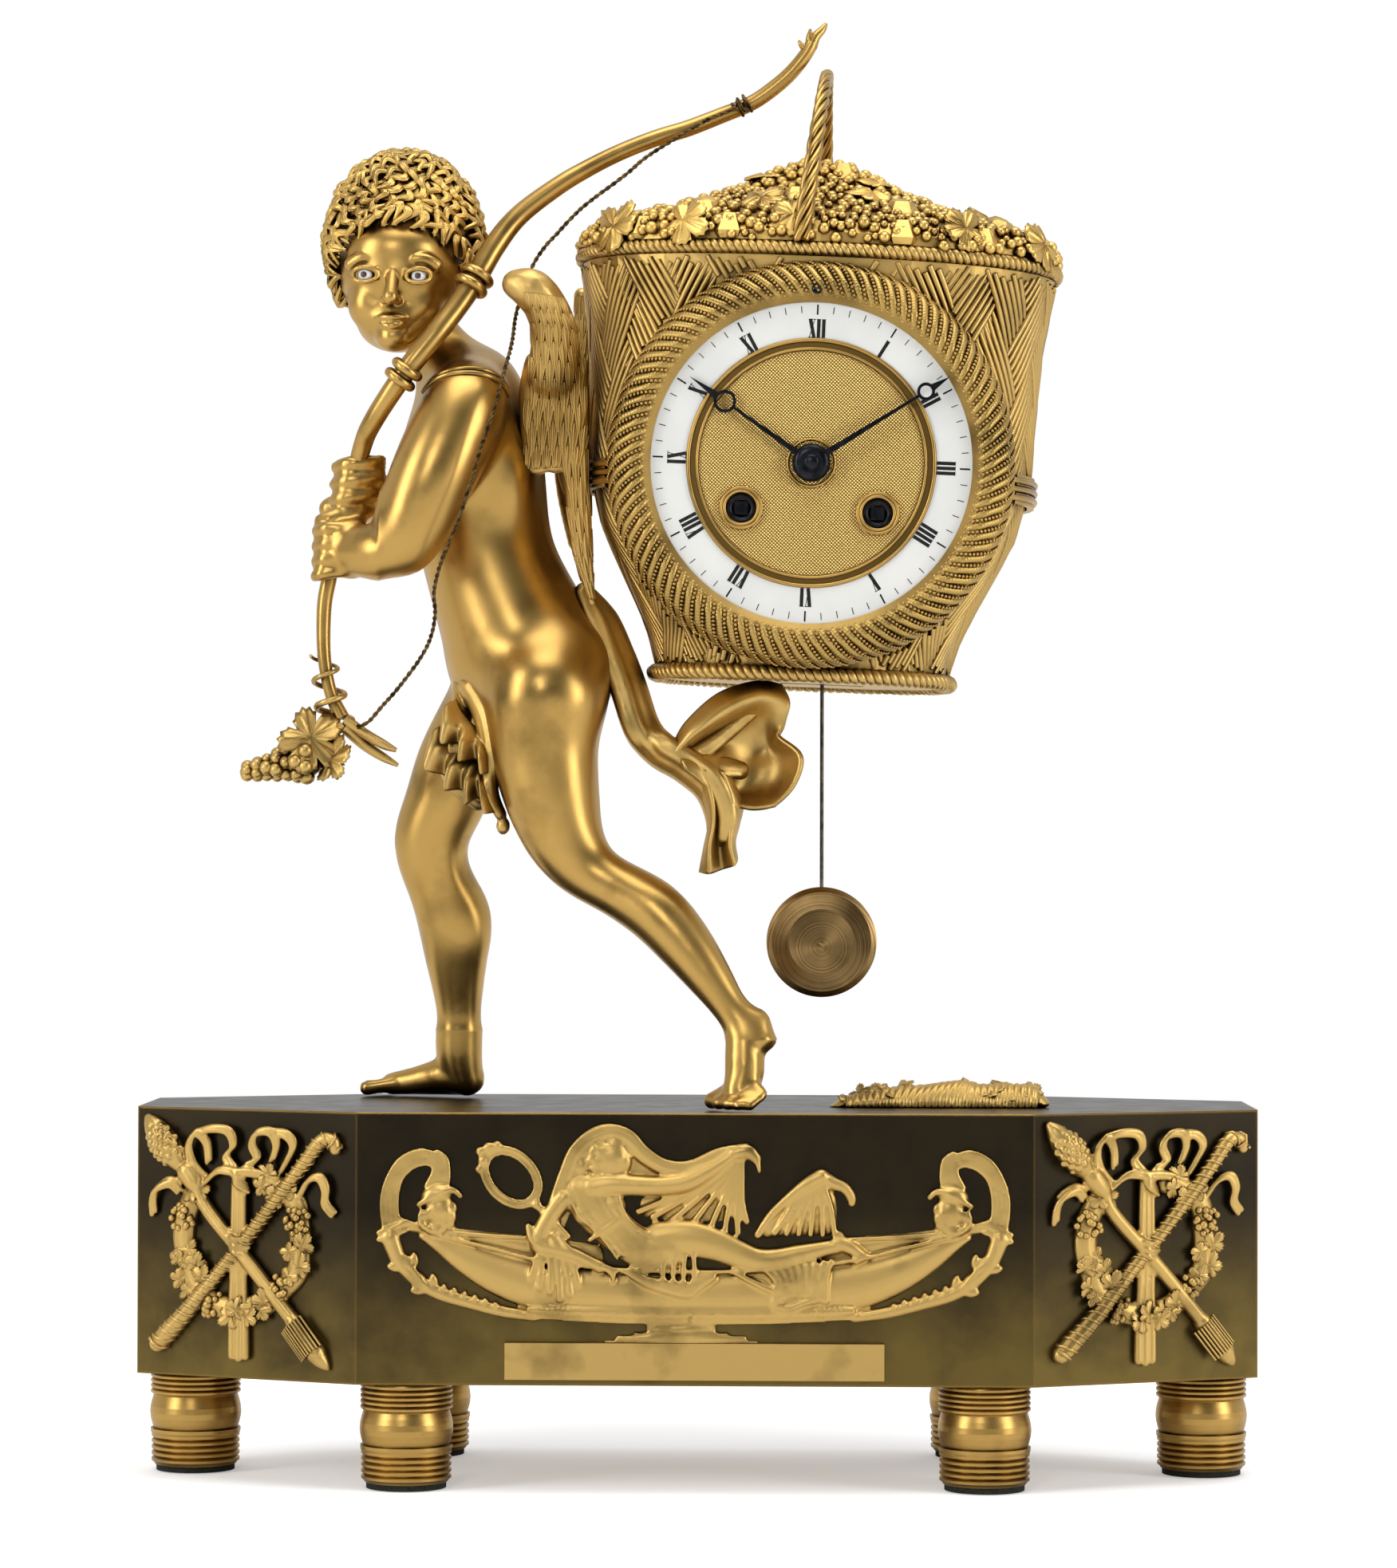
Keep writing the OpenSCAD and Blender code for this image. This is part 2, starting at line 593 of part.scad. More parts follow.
module back_cloth() {
    color(gilt) difference() {
        on_plinth() difference() {
            back_cloth_form();
            body_form();
            far_wing_form();
            near_wing_form();
        }
        in_basket() oval_stack([for (w = [basket_low - basket_floor_t, basket_low + 20])
            [base_half_w + base_rope_r, base_half_d + base_rope_r, w]]);
    }
}

// Bow, from its forked tip over the shoulder and through both fists to its lower end.
bow_path = [
    [34.8, -16, 330, 2], [33.4, -16, 327, 2.1], [28.6, -16, 320.8, 2.3], [22.8, -16, 315.6, 2.4],
    [16, -16, 311, 2.4], [7, -16, 307.3, 2.5], [-3.7, -17, 303, 2.6], [-13, -18, 300, 2.6],
    [-23, -19, 296, 2.6], [-33, -20, 291, 2.7],
    [-43.5, -22, 284.5, 2.9], [-55.5, -24, 275, 3.2], [-63, -27, 265, 3.5], [-69, -30, 254, 3.6],
    [-75, -33, 244.5, 3.5], [-81.5, -36, 235.5, 3.4], [-90, -37, 224.5, 3.3], [-99.5, -32, 211, 3.1],
    [-103.5, -26, 203.5, 2.9], [-107, -20.5, 191, 2.7], [-110.5, -21, 177, 2.6], [-112.5, -22, 171.5, 2.5],
    [-114, -22, 163, 2.4], [-115.5, -22, 154, 2.3], [-115.5, -22, 139.5, 2.1], [-113.5, -22, 128, 2],
    [-110, -22, 120, 2.4]];
upper_collar = 13;
lower_collar = 16;
module bow_form() {
    tube(bow_path, 10);
}
module bow() {
    color(gilt) on_plinth() {
        bow_form();
        // Forked tip.
        tube([[34.8, -16, 329, 1.6], [36.8, -15.6, 332.6, 1.4], [39, -15.2, 336, 0.9]], 10);
        tube([[34.4, -16, 328.5, 1.6], [34.3, -16.3, 331.5, 1.2], [34.3, -16.5, 334, 0.8]], 10);
    }
}
// A double collar at a station of the bow.
module collar(i) {
    p = bow_path[i];
    t = along(bow_path, i);
    for (s = [-1, 1]) translate(head(p) + s * 1.9 * t)
        rotate([0, acos(t[2]), atan2(t[1], t[0])]) rotate_extrude()
            intersection() {
                translate([p[3] + 0.6, 0]) circle(r = 1.5);
                translate([p[3] + 0.02, -2]) square(4);
            }
}
module bow_collars() {
    color(burnished) on_plinth() for (i = [upper_collar, lower_collar]) collar(i);
}
// The tendril winds down the bow's lower end.
tendril_turns = 2.5;
module tendril_form() {
    steps = 26;
    low = [-112, -22, 119];
    high = [-116, -22, 139];
    tube([for (k = [0:steps]) let(s = k / steps, c = low + s * (high - low), r = 5.1 - 1.4 * s, a = 360 * tendril_turns * s)
        [c[0] + r * cos(a), c[1] + r * sin(a), c[2], 1.2]], 6, [0, 0, 1]);
    tube([[-108.5, -22, 118.5, 1.8], [-103, -22.5, 115, 1.6], [-93.5, -23, 110, 1.5]], 8);
    tube([[-108.5, -22, 116.5, 1.8], [-103, -21, 111.5, 1.6], [-93, -21, 105.5, 1.5]], 8);
}
module bow_tendril() {
    color(gilt) on_plinth() tendril_form();
}
module grape_cluster() {
    color(gilt) on_plinth() difference() {
        cluster_form();
        tendril_form();
    }
}
module cluster_form() {
    leaf_at = [-119, -25, 112.5];
    leaf_r = 9.5;
    union() {
        hull() {
            ball([-110, -22, 117, 2.2], 10);
            ball([-118, -23, 112, 4], 10);
        }
        for (k = [0:4]) hull() {
            ball([leaf_at[0], leaf_at[1] + 2, leaf_at[2], 3], 8);
            ball([leaf_at[0] + leaf_r * cos(72 * k + 20), leaf_at[1], leaf_at[2] + leaf_r * sin(72 * k + 20), 1.6], 8);
        }
        for (row = [0:4], k = [0:3]) {
            r = 7 - 1.2 * row;
            turn = 90 * k + 45 * row;
            x = -122.5 - 4.1 * row;
            z = 105.5 - 0.7 * row;
            hull() {
                ball([x, -22 + r * cos(turn), z + 0.75 * r * sin(turn), 2.4], 7);
                ball([x, -22, z, 3.2], 6);
            }
        }
    }
}
// The wire string, from the lower end, over the arm, behind the wing's top, to the knot near the tip.
string_r = 0.7;
string_route = [
    [-105, -24.3, 117], [-101.5, -25, 118.5], [-97, -26, 123.5], [-92, -27.5, 129], [-85, -31, 138],
    [-81.5, -35, 144.5], [-80, -39, 151], [-80, -43, 158], [-77.5, -48, 166.5], [-74, -51, 174], [-71, -52, 182],
    [-68, -51.5, 191.5], [-65, -51, 202], [-61.2, -50, 213.5], [-58.7, -45, 224.5], [-56.8, -38, 234],
    [-56, -30.5, 243.5], [-54, -28, 251], [-51, -26, 259.5], [-47.5, -25.5, 265], [-43.5, -25, 269.5],
    [-38.5, -24.5, 275], [-33.5, -24, 279.5], [-23, -23, 287.5], [-16, -22.5, 293.5], [-5, -22, 300.5],
    [2.5, -21, 305], [8, -20.2, 307.5], [13, -19.4, 309.6]];
module bow_string() {
    color("saddlebrown") on_plinth() tube([for (p = string_route) concat(p, [string_r])], 8);
}

// Basket, in its own frame.
basket_outline = [
    [rim_half_w, rim_half_d, basket_up], [basket_half_w + 2, basket_half_d + 1.5, 42],
    [basket_half_w + 0.5, basket_half_d, 18], [basket_half_w, basket_half_d, 0],
    [basket_half_w - 4.5, basket_half_d - 1.5, -18], [basket_half_w - 10.5, basket_half_d - 4, -30],
    [basket_half_w - 16, basket_half_d - 6.5, -41], [basket_half_w - 20.5, basket_half_d - 8.2, -51],
    [foot_half_w, foot_half_d, basket_low]];
function grown(p, t) = [p[0] + t, p[1] + t, p[2]];
module basket_shell() {
    n = len(basket_outline) - 1;
    inside = [for (i = [n:-1:0]) grown(basket_outline[i], -basket_wall)];
    plaited = [for (i = [0:n - 1]) each [basket_outline[i], (basket_outline[i] + basket_outline[i + 1]) / 2]];
    dips = [for (p = plaited) abs(p[2] - belt_w) < 2 * belt_half_h || p[2] == basket_up ? 0 : plait_dip];
    color(gilt) in_basket() difference() {
        oval_ring(concat(inside, plaited, [basket_outline[n]]), concat([for (p = inside) 0], dips, [0]));
        disc(bezel_r, -80, 70);
        disc(bezel_r + bezel_flange, -80, 80 + flange_back);
        disc(rear_r + 4, 10, 70);
    }
}
module basket_floor() {
    color(gilt) in_basket() difference() {
        oval_stack([[base_half_w, base_half_d, basket_low - basket_floor_t], [base_half_w, base_half_d, basket_low]]);
        translate([pivot_u + (basket_low - pivot_w) * sin(-basket_lean) - 13, pendulum_y - 4, basket_low - 10])
            cube([26, 8, 20]);
    }
}
// A half-round moulding round an oval.
module rope(a, b, w, r) {
    oval_ring([[a, b, w - r], [a, b, w + r],
        for (t = [67.5:-45:-67.5]) [a + r * cos(t), b + r * cos(t), w + r * sin(t)]]);
}
module basket_base_rope() {
    color(gilt) in_basket()
        rope(base_half_w, base_half_d, basket_low - basket_floor_t / 2, base_rope_r);
}
module rim_rope_form() {
    oval_ring([
        [rim_half_w - basket_wall, rim_half_d - basket_wall, basket_up],
        [rim_half_w - basket_wall, rim_half_d - basket_wall, rim_w],
        for (t = [90:-30:-90]) [rim_half_w + rim_rope_r * cos(t), rim_half_d + rim_rope_r * cos(t),
            basket_up + rim_rope_r * (1 + sin(t))]]);
}
module basket_rim_rope() {
    color(gilt) in_basket() rim_rope_form();
}
module basket_belt() {
    belt_t = 1.8;
    color(gilt) in_basket() difference() {
        oval_ring([
            for (w = [-belt_half_h, belt_half_h]) [basket_half_w - 0.3, basket_half_d - 0.3, belt_w + w],
            for (w = [belt_half_h, 1.2, 0, -1.2, -belt_half_h]) [basket_half_w + (w == 0 ? 0.6 : belt_t),
                basket_half_d + (w == 0 ? 0.6 : belt_t), belt_w + w]]);
        disc(bezel_r + 3.5, -80, 70);
        disc(rear_r + 4, 10, 70);
        basket_solid();
    }
}
module basket_solid() {
    n = len(basket_outline) - 1;
    oval_stack([for (i = [n:-1:0]) basket_outline[i]]);
}
// Shares of the rim's width and of the heap's height, from the rim up.
heap_levels = [[1, 0], [1, 0.1], [0.95, 0.22], [0.78, 0.34], [0.55, 0.5], [0.32, 0.72], [0.15, 0.94], [0.06, 1]];
// Bunches and round fruits: share of the way from the rim to the crown, turn about the crown, and radius.
heap_lumps = [
    [0.42, 234, 8], [0.5, 297, 8], [0.3, 202, 7], [0.62, 260, 7], [0.36, 331, 8], [0.45, 34, 8], [0.5, 137, 8],
    [0.25, 92, 7], [0.72, 23, 6.5], [0.22, 222, 6.5], [0.25, 250, 6.5], [0.24, 287, 6.5], [0.22, 312, 6.5], [0.2, 345, 6.5],
    [0.2, 12, 6.5], [0.2, 50, 6.5], [0.2, 130, 6.5], [0.2, 165, 6.5], [0.2, 190, 6.5], [0.55, 190, 7], [0.6, 85, 7],
    [0.85, 120, 6], [0.85, 300, 6]];
function heap_at(share, i) = let(at = share * (len(heap_levels) - 1), k = floor(at), t = at - k)
    heap_levels[k][i] * (1 - t) + heap_levels[k + 1][i] * t;
module heap_form() {
    oval_stack([for (s = heap_levels) [s[0] * rim_half_w, s[0] * rim_half_d, rim_w + s[1] * heap_h]]);
    difference() {
        for (p = heap_lumps)
            let(size = heap_at(p[0], 0), q = oval(size * rim_half_w, size * rim_half_d, p[1]))
                translate([0.96 * q[0], 0.96 * q[1], rim_w + heap_at(p[0], 1) * heap_h - 0.5 * p[2]])
                    sphere(r = p[2], $fn = 6);
        // Nothing of a lump hangs down onto the rim's rope.
        translate([-2 * rim_half_w, -2 * rim_half_w, rim_w + rope_play - heap_h])
            cube([4 * rim_half_w, 4 * rim_half_w, heap_h]);
    }
}
module basket_heap() {
    color(gilt) in_basket() heap_form();
}
module basket_handle() {
    reach = rim_half_d + 1;
    foot_front = -6;
    foot_back = 2.5;
    color(gilt) in_basket() difference() {
        tube([for (a = [0:10:180]) [(a < 90 ? foot_front : foot_back) * (1 - sin(a)), -reach * cos(a),
            rim_w + (handle_h - 7) * sin(a),
            handle_r * (1 - 0.3 * sin(a))]], 10, [1, 0, 0]);
        heap_form();
        rim_rope_form();
    }
}

// Dial, on the basket's own frame.
module bezel() {
    color(burnished) in_basket() turned() polygon([
        [enamel_r - 0.8, dial_front - 0.6], [enamel_r + 1.5, bezel_crest + 0.4], [enamel_r + 5, bezel_crest],
        [bezel_r, bezel_crest + 4], [bezel_r + bezel_flange, bezel_crest + 9], [bezel_r + bezel_flange, flange_back],
        [bezel_r, flange_back],
        [bezel_r, -26], [bezel_r - 2, -26], [bezel_r - 2, dial_back + 3], [enamel_r + 3, dial_back + 3],
        [enamel_r + 3, dial_back], [enamel_r, dial_back], [enamel_r, dial_front], [enamel_r - 0.8, dial_front]]);
}
module winding_holes(r) {
    for (s = [-1, 1]) disc(r, -80, 70, [s * barrel_x, barrel_w]);
}
module dial_plate() {
    color(brass) in_basket() difference() {
        union() {
            disc(enamel_r + 3, dial_back, dial_plate_t);
            for (a = [35, 145, 225, 315])
                disc(2, dial_back, front_plate_y - dial_back, [38 * cos(a), 38 * sin(a)]);
        }
        disc(pipe_r + 1, -80, 70);
        winding_holes(winding_hole_r);
    }
}
module enamel_ring() {
    color("white") in_basket() difference() {
        disc(enamel_r, dial_front, enamel_t);
        disc(centre_r, dial_front - 1, enamel_t + 2);
    }
}
module dial_centre() {
    color(burnished) in_basket() difference() {
        union() {
            disc(centre_r, dial_front + 0.3, enamel_t - 0.3);
            for (s = [-1, 1]) disc(winding_ring_r, dial_front - 0.4, enamel_t + 0.4, [s * barrel_x, barrel_w]);
            disc(collet_r + 1.4, dial_front - 0.2, enamel_t + 0.2);
        }
        disc(pipe_r + 1, -80, 70);
        winding_holes(winding_hole_r);
    }
}
// A hand with a ring near its tip, drawn upwards from its axis.
module hand_shape(l, ring_at_l, ring_r) {
    half_tip = 0.4;
    polygon([[-1, 0], [1, 0], [half_tip, ring_at_l - ring_r + 0.5], [-half_tip, ring_at_l - ring_r + 0.5]]);
    translate([0, ring_at_l]) difference() {
        circle(ring_r);
        circle(ring_r - 0.9);
    }
    polygon([[-1.1, ring_at_l + ring_r - 0.4], [1.1, ring_at_l + ring_r - 0.4], [0, l]]);
}
minute_turn = -56;
hour_turn = 57;
module minute_hand() {
    y = dial_front - 3.6;
    color(steel) in_basket() difference() {
        union() {
            facing(y + 0.9, 0.9) rotate(minute_turn) hand_shape(minute_hand_l, minute_hand_l - 8.5, 2.7);
            disc(collet_r - 1, y, 0.9);
            disc(collet_r - 2.4, y - 0.9, 0.9);
        }
        disc(cannon_r, y, 2);
    }
}
module hour_hand() {
    y = dial_front - 1.6;
    color(steel) in_basket() difference() {
        union() {
            facing(y + 0.9, 0.9) rotate(hour_turn) hand_shape(hour_hand_l, hour_hand_l - 13, 3.4);
            disc(collet_r, y, 0.9);
        }
        disc(pipe_r, y - 1, 3);
    }
}

// Movement, on the dial's axis.
module movement_frame() {
    hole = pivot_play;
    back = back_plate_y + plate_t;
    color(brass) in_basket() difference() {
        union() {
            disc(plate_r, front_plate_y, plate_t);
            disc(plate_r, back_plate_y, plate_t);
            for (p = [[-30, 24], [30, 24], [-9, -37], [9, -37]])
                disc(2.2, front_plate_y + plate_t, plate_gap, p);
            // Ears to the case's tube at the front, straps to the rear bezel at the back.
            for (s = [0, 1]) mirror([s, 0, 0]) {
                translate([plate_r - 2, front_plate_y, -4]) cube([bezel_r - 2.3 - plate_r + 2, plate_t, 8]);
                translate([rear_r - 3.6, back_plate_y, -3]) cube([3, rear_y - back_plate_y - 1, 6]);
                translate([plate_r - 4, back_plate_y, -3]) cube([rear_r - 0.6 - plate_r + 4, plate_t, 6]);
            }
            // Post that carries the bell.
            disc(post_r, back, bell_y + bell_h - back, bell_at);
            // Cock and pin that carry the pendulum.
            translate([pivot_u - 4, back, pivot_w + 2.6]) cube([8, pendulum_y + 4 - back, 2.4]);
            translate([pivot_u - 2, pendulum_y + 1.4, pivot_w - 1.5]) cube([4, 2.6, 5]);
            disc(pin_r, pendulum_y - 1.6, 4, [pivot_u, pivot_w]);
        }
        disc(cannon_r + 0.2, front_plate_y - 1, plate_t + 2);
        disc(1 + hole, front_plate_y - 1, plate_t + 2, minute_wheel_at);
        for (y = [front_plate_y, back_plate_y]) {
            for (s = [-1, 1]) disc(arbor_r + hole, y - 1, plate_t + 2, [s * barrel_x, barrel_w]);
            for (p = [escape_at, [pivot_u, pivot_w]]) disc(1 + hole, y - 1, plate_t + 2, p);
        }
        for (p = [[0, 0], count_at, hammer_at]) disc(1 + hole, back_plate_y - 1, plate_t + 2, p);
    }
}
module spoked(r, rim, y, t, at, hub) {
    difference() {
        disc(r, y, t, at);
        for (k = [0:4]) {
            mid = (r - rim + hub) / 2;
            disc((r - rim - hub) / 2 - 0.2, y - 1, t + 2, at + mid * [cos(72 * k), sin(72 * k)]);
        }
    }
}
module centre_arbor() {
    hand_y = dial_front - 3.6;
    wheel_y = back_plate_y - 5;
    color(brass) in_basket() {
        disc(cannon_r, hand_y, back_plate_y - 0.5 - hand_y);
        disc(cannon_wheel_r, front_plate_y - 1.8, 1.4);
        disc(centre_pinion_r, barrel_y + barrel_d, barrel_rim_t);
        spoked(13, 2.4, wheel_y, 1.4, [0, 0], 3);
        disc(1, back_plate_y - 1, plate_t + 1);
    }
}
module minute_wheel() {
    color(brass) in_basket() {
        spoked(minute_wheel_r, 2, front_plate_y - 1.6, 1, minute_wheel_at, 3);
        disc(minute_pinion_r, front_plate_y - 3.6, 2.2, minute_wheel_at);
        disc(1, front_plate_y - 2, plate_t + 2, minute_wheel_at);
    }
}
module hour_wheel() {
    color(brass) in_basket() difference() {
        union() {
            disc(hour_wheel_r, front_plate_y - 3.4, 1, [0, 0]);
            disc(pipe_r, dial_front - 1.6, front_plate_y - 2.4 - dial_front + 1.6);
        }
        disc(cannon_r + pivot_play, -80, 70);
    }
}
escape_y = back_plate_y - 8;
module escape_wheel() {
    teeth = 15;
    tip_r = 8.4;
    root_r = 6.6;
    color(brass) in_basket() {
        translate([escape_at[0], escape_y, escape_at[1]]) rotate([90, 0, 0]) linear_extrude(1.2) difference() {
            polygon([for (k = [0:teeth - 1]) let(a = 360 * k / teeth)
                each [root_r * [cos(a), sin(a)], tip_r * [cos(a + 6), sin(a + 6)],
                    tip_r * [cos(a + 9), sin(a + 9)], root_r * [cos(a + 12), sin(a + 12)]]]);
            for (k = [0:3]) translate(3.8 * [cos(90 * k), sin(90 * k)]) circle(1.9);
        }
        disc(1, front_plate_y, 2 * plate_t + plate_gap, escape_at);
    }
}
// The anchor over the escape wheel; its crutch hangs straight down to the rod.
module anchor() {
    crutch_l = 30;
    crutch_y = back_plate_y + plate_t + 1.6;
    gap = rod_r + 0.2;
    color(steel) {
        in_basket() {
            disc(1, front_plate_y, crutch_y + 1.4 - front_plate_y, [pivot_u, pivot_w]);
            facing(escape_y, 1.6) translate([pivot_u, pivot_w]) polygon([[-2, 2.5], [2, 2.5], [9.5, -7],
                [9.5, -11], [7.8, -7.6], [0, -3.4], [-7.8, -7.6], [-9.5, -11], [-9.5, -7]]);
        }
        on_plinth() translate([pendulum_x, crutch_y, pivot_z]) {
            translate([-1.2, 0, -crutch_l]) cube([2.4, 1.4, crutch_l + 1.2]);
            for (s = [0, 1]) mirror([s, 0, 0]) translate([gap, 0, -crutch_l - 2])
                cube([1, pendulum_y + 2 - crutch_y, 2.4]);
        }
    }
}
module barrel(at, rim_r) {
    difference() {
        union() {
            disc(barrel_r, barrel_y, barrel_d, at);
            disc(rim_r, barrel_y + barrel_d, barrel_rim_t, at);
        }
        disc(arbor_r + pivot_play, barrel_y - 1, barrel_d + barrel_rim_t + 2, at);
    }
}
module going_barrel() { color(brass) in_basket() barrel([barrel_x, barrel_w], going_rim_r); }
module strike_barrel() { color(brass) in_basket() barrel([-barrel_x, barrel_w], barrel_r + 1.5); }
module winding_square(at) {
    disc(arbor_r, front_plate_y, back_plate_y + plate_t - front_plate_y, at);
    translate([at[0] - square_w / 2, dial_front + 0.6, at[1] - square_w / 2])
        cube([square_w, front_plate_y - dial_front, square_w]);
}
module going_square() { color(steel) in_basket() winding_square([barrel_x, barrel_w]); }
module strike_square() { color(steel) in_basket() winding_square([-barrel_x, barrel_w]); }
module count_wheel() {
    notches = [1, 3, 6, 10, 15, 21];
    color(brass) in_basket() difference() {
        union() {
            disc(12, count_y, 1.4, count_at);
            disc(1, back_plate_y, count_y - back_plate_y + 3, count_at);
        }
        for (n = notches) translate([count_at[0], count_y - 1, count_at[1]]) rotate([0, n * 15, 0])
            translate([10.5, 0, -0.8]) cube([3, 4, 1.6]);
    }
}
module hammer() {
    head_at = [bell_at[0] + bell_r + 3.3, bell_at[1] + 2];
    color(steel) in_basket() {
        disc(1, back_plate_y, 27 - back_plate_y, hammer_at);
        facing(25, 1.6) stroke([hammer_at, head_at], 0.9);
        translate([head_at[0] - 3, 24.2, head_at[1]]) rotate([0, 90, 0]) cylinder(r = 2.6, h = 7);
    }
}
module bell() {
    wall = 1.6;
    color(brass) in_basket()
        turned(bell_at) polygon([[post_r, bell_h + bell_y - 2], [bell_r * 0.35, bell_h + bell_y - 2],
            [bell_r * 0.75, bell_h + bell_y - 5], [bell_r - wall, bell_y + 5], [bell_r - wall, bell_y],
            [bell_r, bell_y], [bell_r, bell_y + 6], [bell_r * 0.78, bell_y + bell_h - 3.2],
            [bell_r * 0.36, bell_y + bell_h], [post_r, bell_y + bell_h]]);
}
module rear_bezel() {
    color(burnished) in_basket() {
        difference() {
            union() {
                disc(rear_r + 4, rear_y - 17, 17);
                disc(rear_r + 5, rear_y - 1.4, 1.4);
            }
            disc(rear_r, rear_y - 20, 40);
        }
        // Two knuckles of the door's hinge.
        for (w = [-7, 4]) translate([hinge_u, hinge_y, w]) difference() {
            union() {
                cylinder(r = hinge_r, h = 3);
                translate([-0.6, -3, 0]) cube([2, 2.2, 3]);
            }
            translate([0, 0, -1]) cylinder(r = 0.7, h = 5);
        }
        translate([hinge_u, hinge_y, -7]) cylinder(r = 0.7, h = 14);
    }
}
module rear_door() {
    color(brass) in_basket() difference() {
        union() {
            disc(door_r, rear_y + 0.2, door_t);
            translate([hinge_u, hinge_y, -3.7]) cylinder(r = hinge_r, h = 7.4);
            translate([hinge_u, rear_y + 0.6, -3.7]) cube([hinge_r + 3, door_t - 0.6, 7.4]);
            disc(2, rear_y + door_t, 3, [door_r - 6, 0]);
        }
        translate([hinge_u, hinge_y, -4]) cylinder(r = 0.7 + pivot_play, h = 9);
        for (k = [0:7]) disc(4, rear_y - 5, 20, 26 * [cos(45 * k), sin(45 * k)]);
    }
}

// Pendulum, hanging straight down.
module pendulum_rod() {
    color(steel) on_plinth() translate([pendulum_x, pendulum_y, pivot_z]) difference() {
        union() {
            translate([0, -1.2, 0]) rotate([-90, 0, 0]) cylinder(r = eye_r, h = 2.4);
            translate([0, 0, -pendulum_l + bob_r - 2]) cylinder(r = rod_r, h = pendulum_l - bob_r + 2 - 1.4);
        }
        rotate([90, 0, 0]) cylinder(r = pin_r + pivot_play, h = 10, center = true);
    }
}
module pendulum_bob() {
    edge = 1.4;
    color(brass) on_plinth() translate([pendulum_x, pendulum_y, pivot_z - pendulum_l]) difference() {
        rotate([-90, 0, 0]) rotate_extrude() polygon([[0, -bob_t / 2], [bob_r * 0.6, -bob_t * 0.42],
            [bob_r * 0.9, -bob_t * 0.24], [bob_r, -edge / 2], [bob_r, edge / 2], [bob_r * 0.9, bob_t * 0.24],
            [bob_r * 0.6, bob_t * 0.42], [0, bob_t / 2]]);
        translate([0, 0, bob_r - 2]) cylinder(r = rod_r, h = 10);
    }
}

plinth_shell();
plinth_base_plate();
foot_front_left();
foot_front_right();
foot_back_left();
foot_back_right();
foot_end_left();
foot_end_right();
foot_pads();
foot_nuts();
front_relief();
front_plaque();
trophy_left();
trophy_right();
leaf_mount();
figure_body();
figure_head();
figure_eyes();
near_arm();
far_arm();
near_wing();
far_wing();
hip_cloth();
back_cloth();
bow();
bow_collars();
bow_tendril();
grape_cluster();
bow_string();
basket_shell();
basket_floor();
basket_base_rope();
basket_rim_rope();
basket_belt();
basket_heap();
basket_handle();
bezel();
dial_plate();
enamel_ring();
dial_centre();
minute_hand();
hour_hand();
movement_frame();
centre_arbor();
minute_wheel();
hour_wheel();
escape_wheel();
anchor();
going_barrel();
strike_barrel();
going_square();
strike_square();
count_wheel();
hammer();
bell();
rear_bezel();
rear_door();
pendulum_rod();
pendulum_bob();
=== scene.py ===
import itertools
import math
import random
from math import cos, exp, pi, radians, sin, sqrt

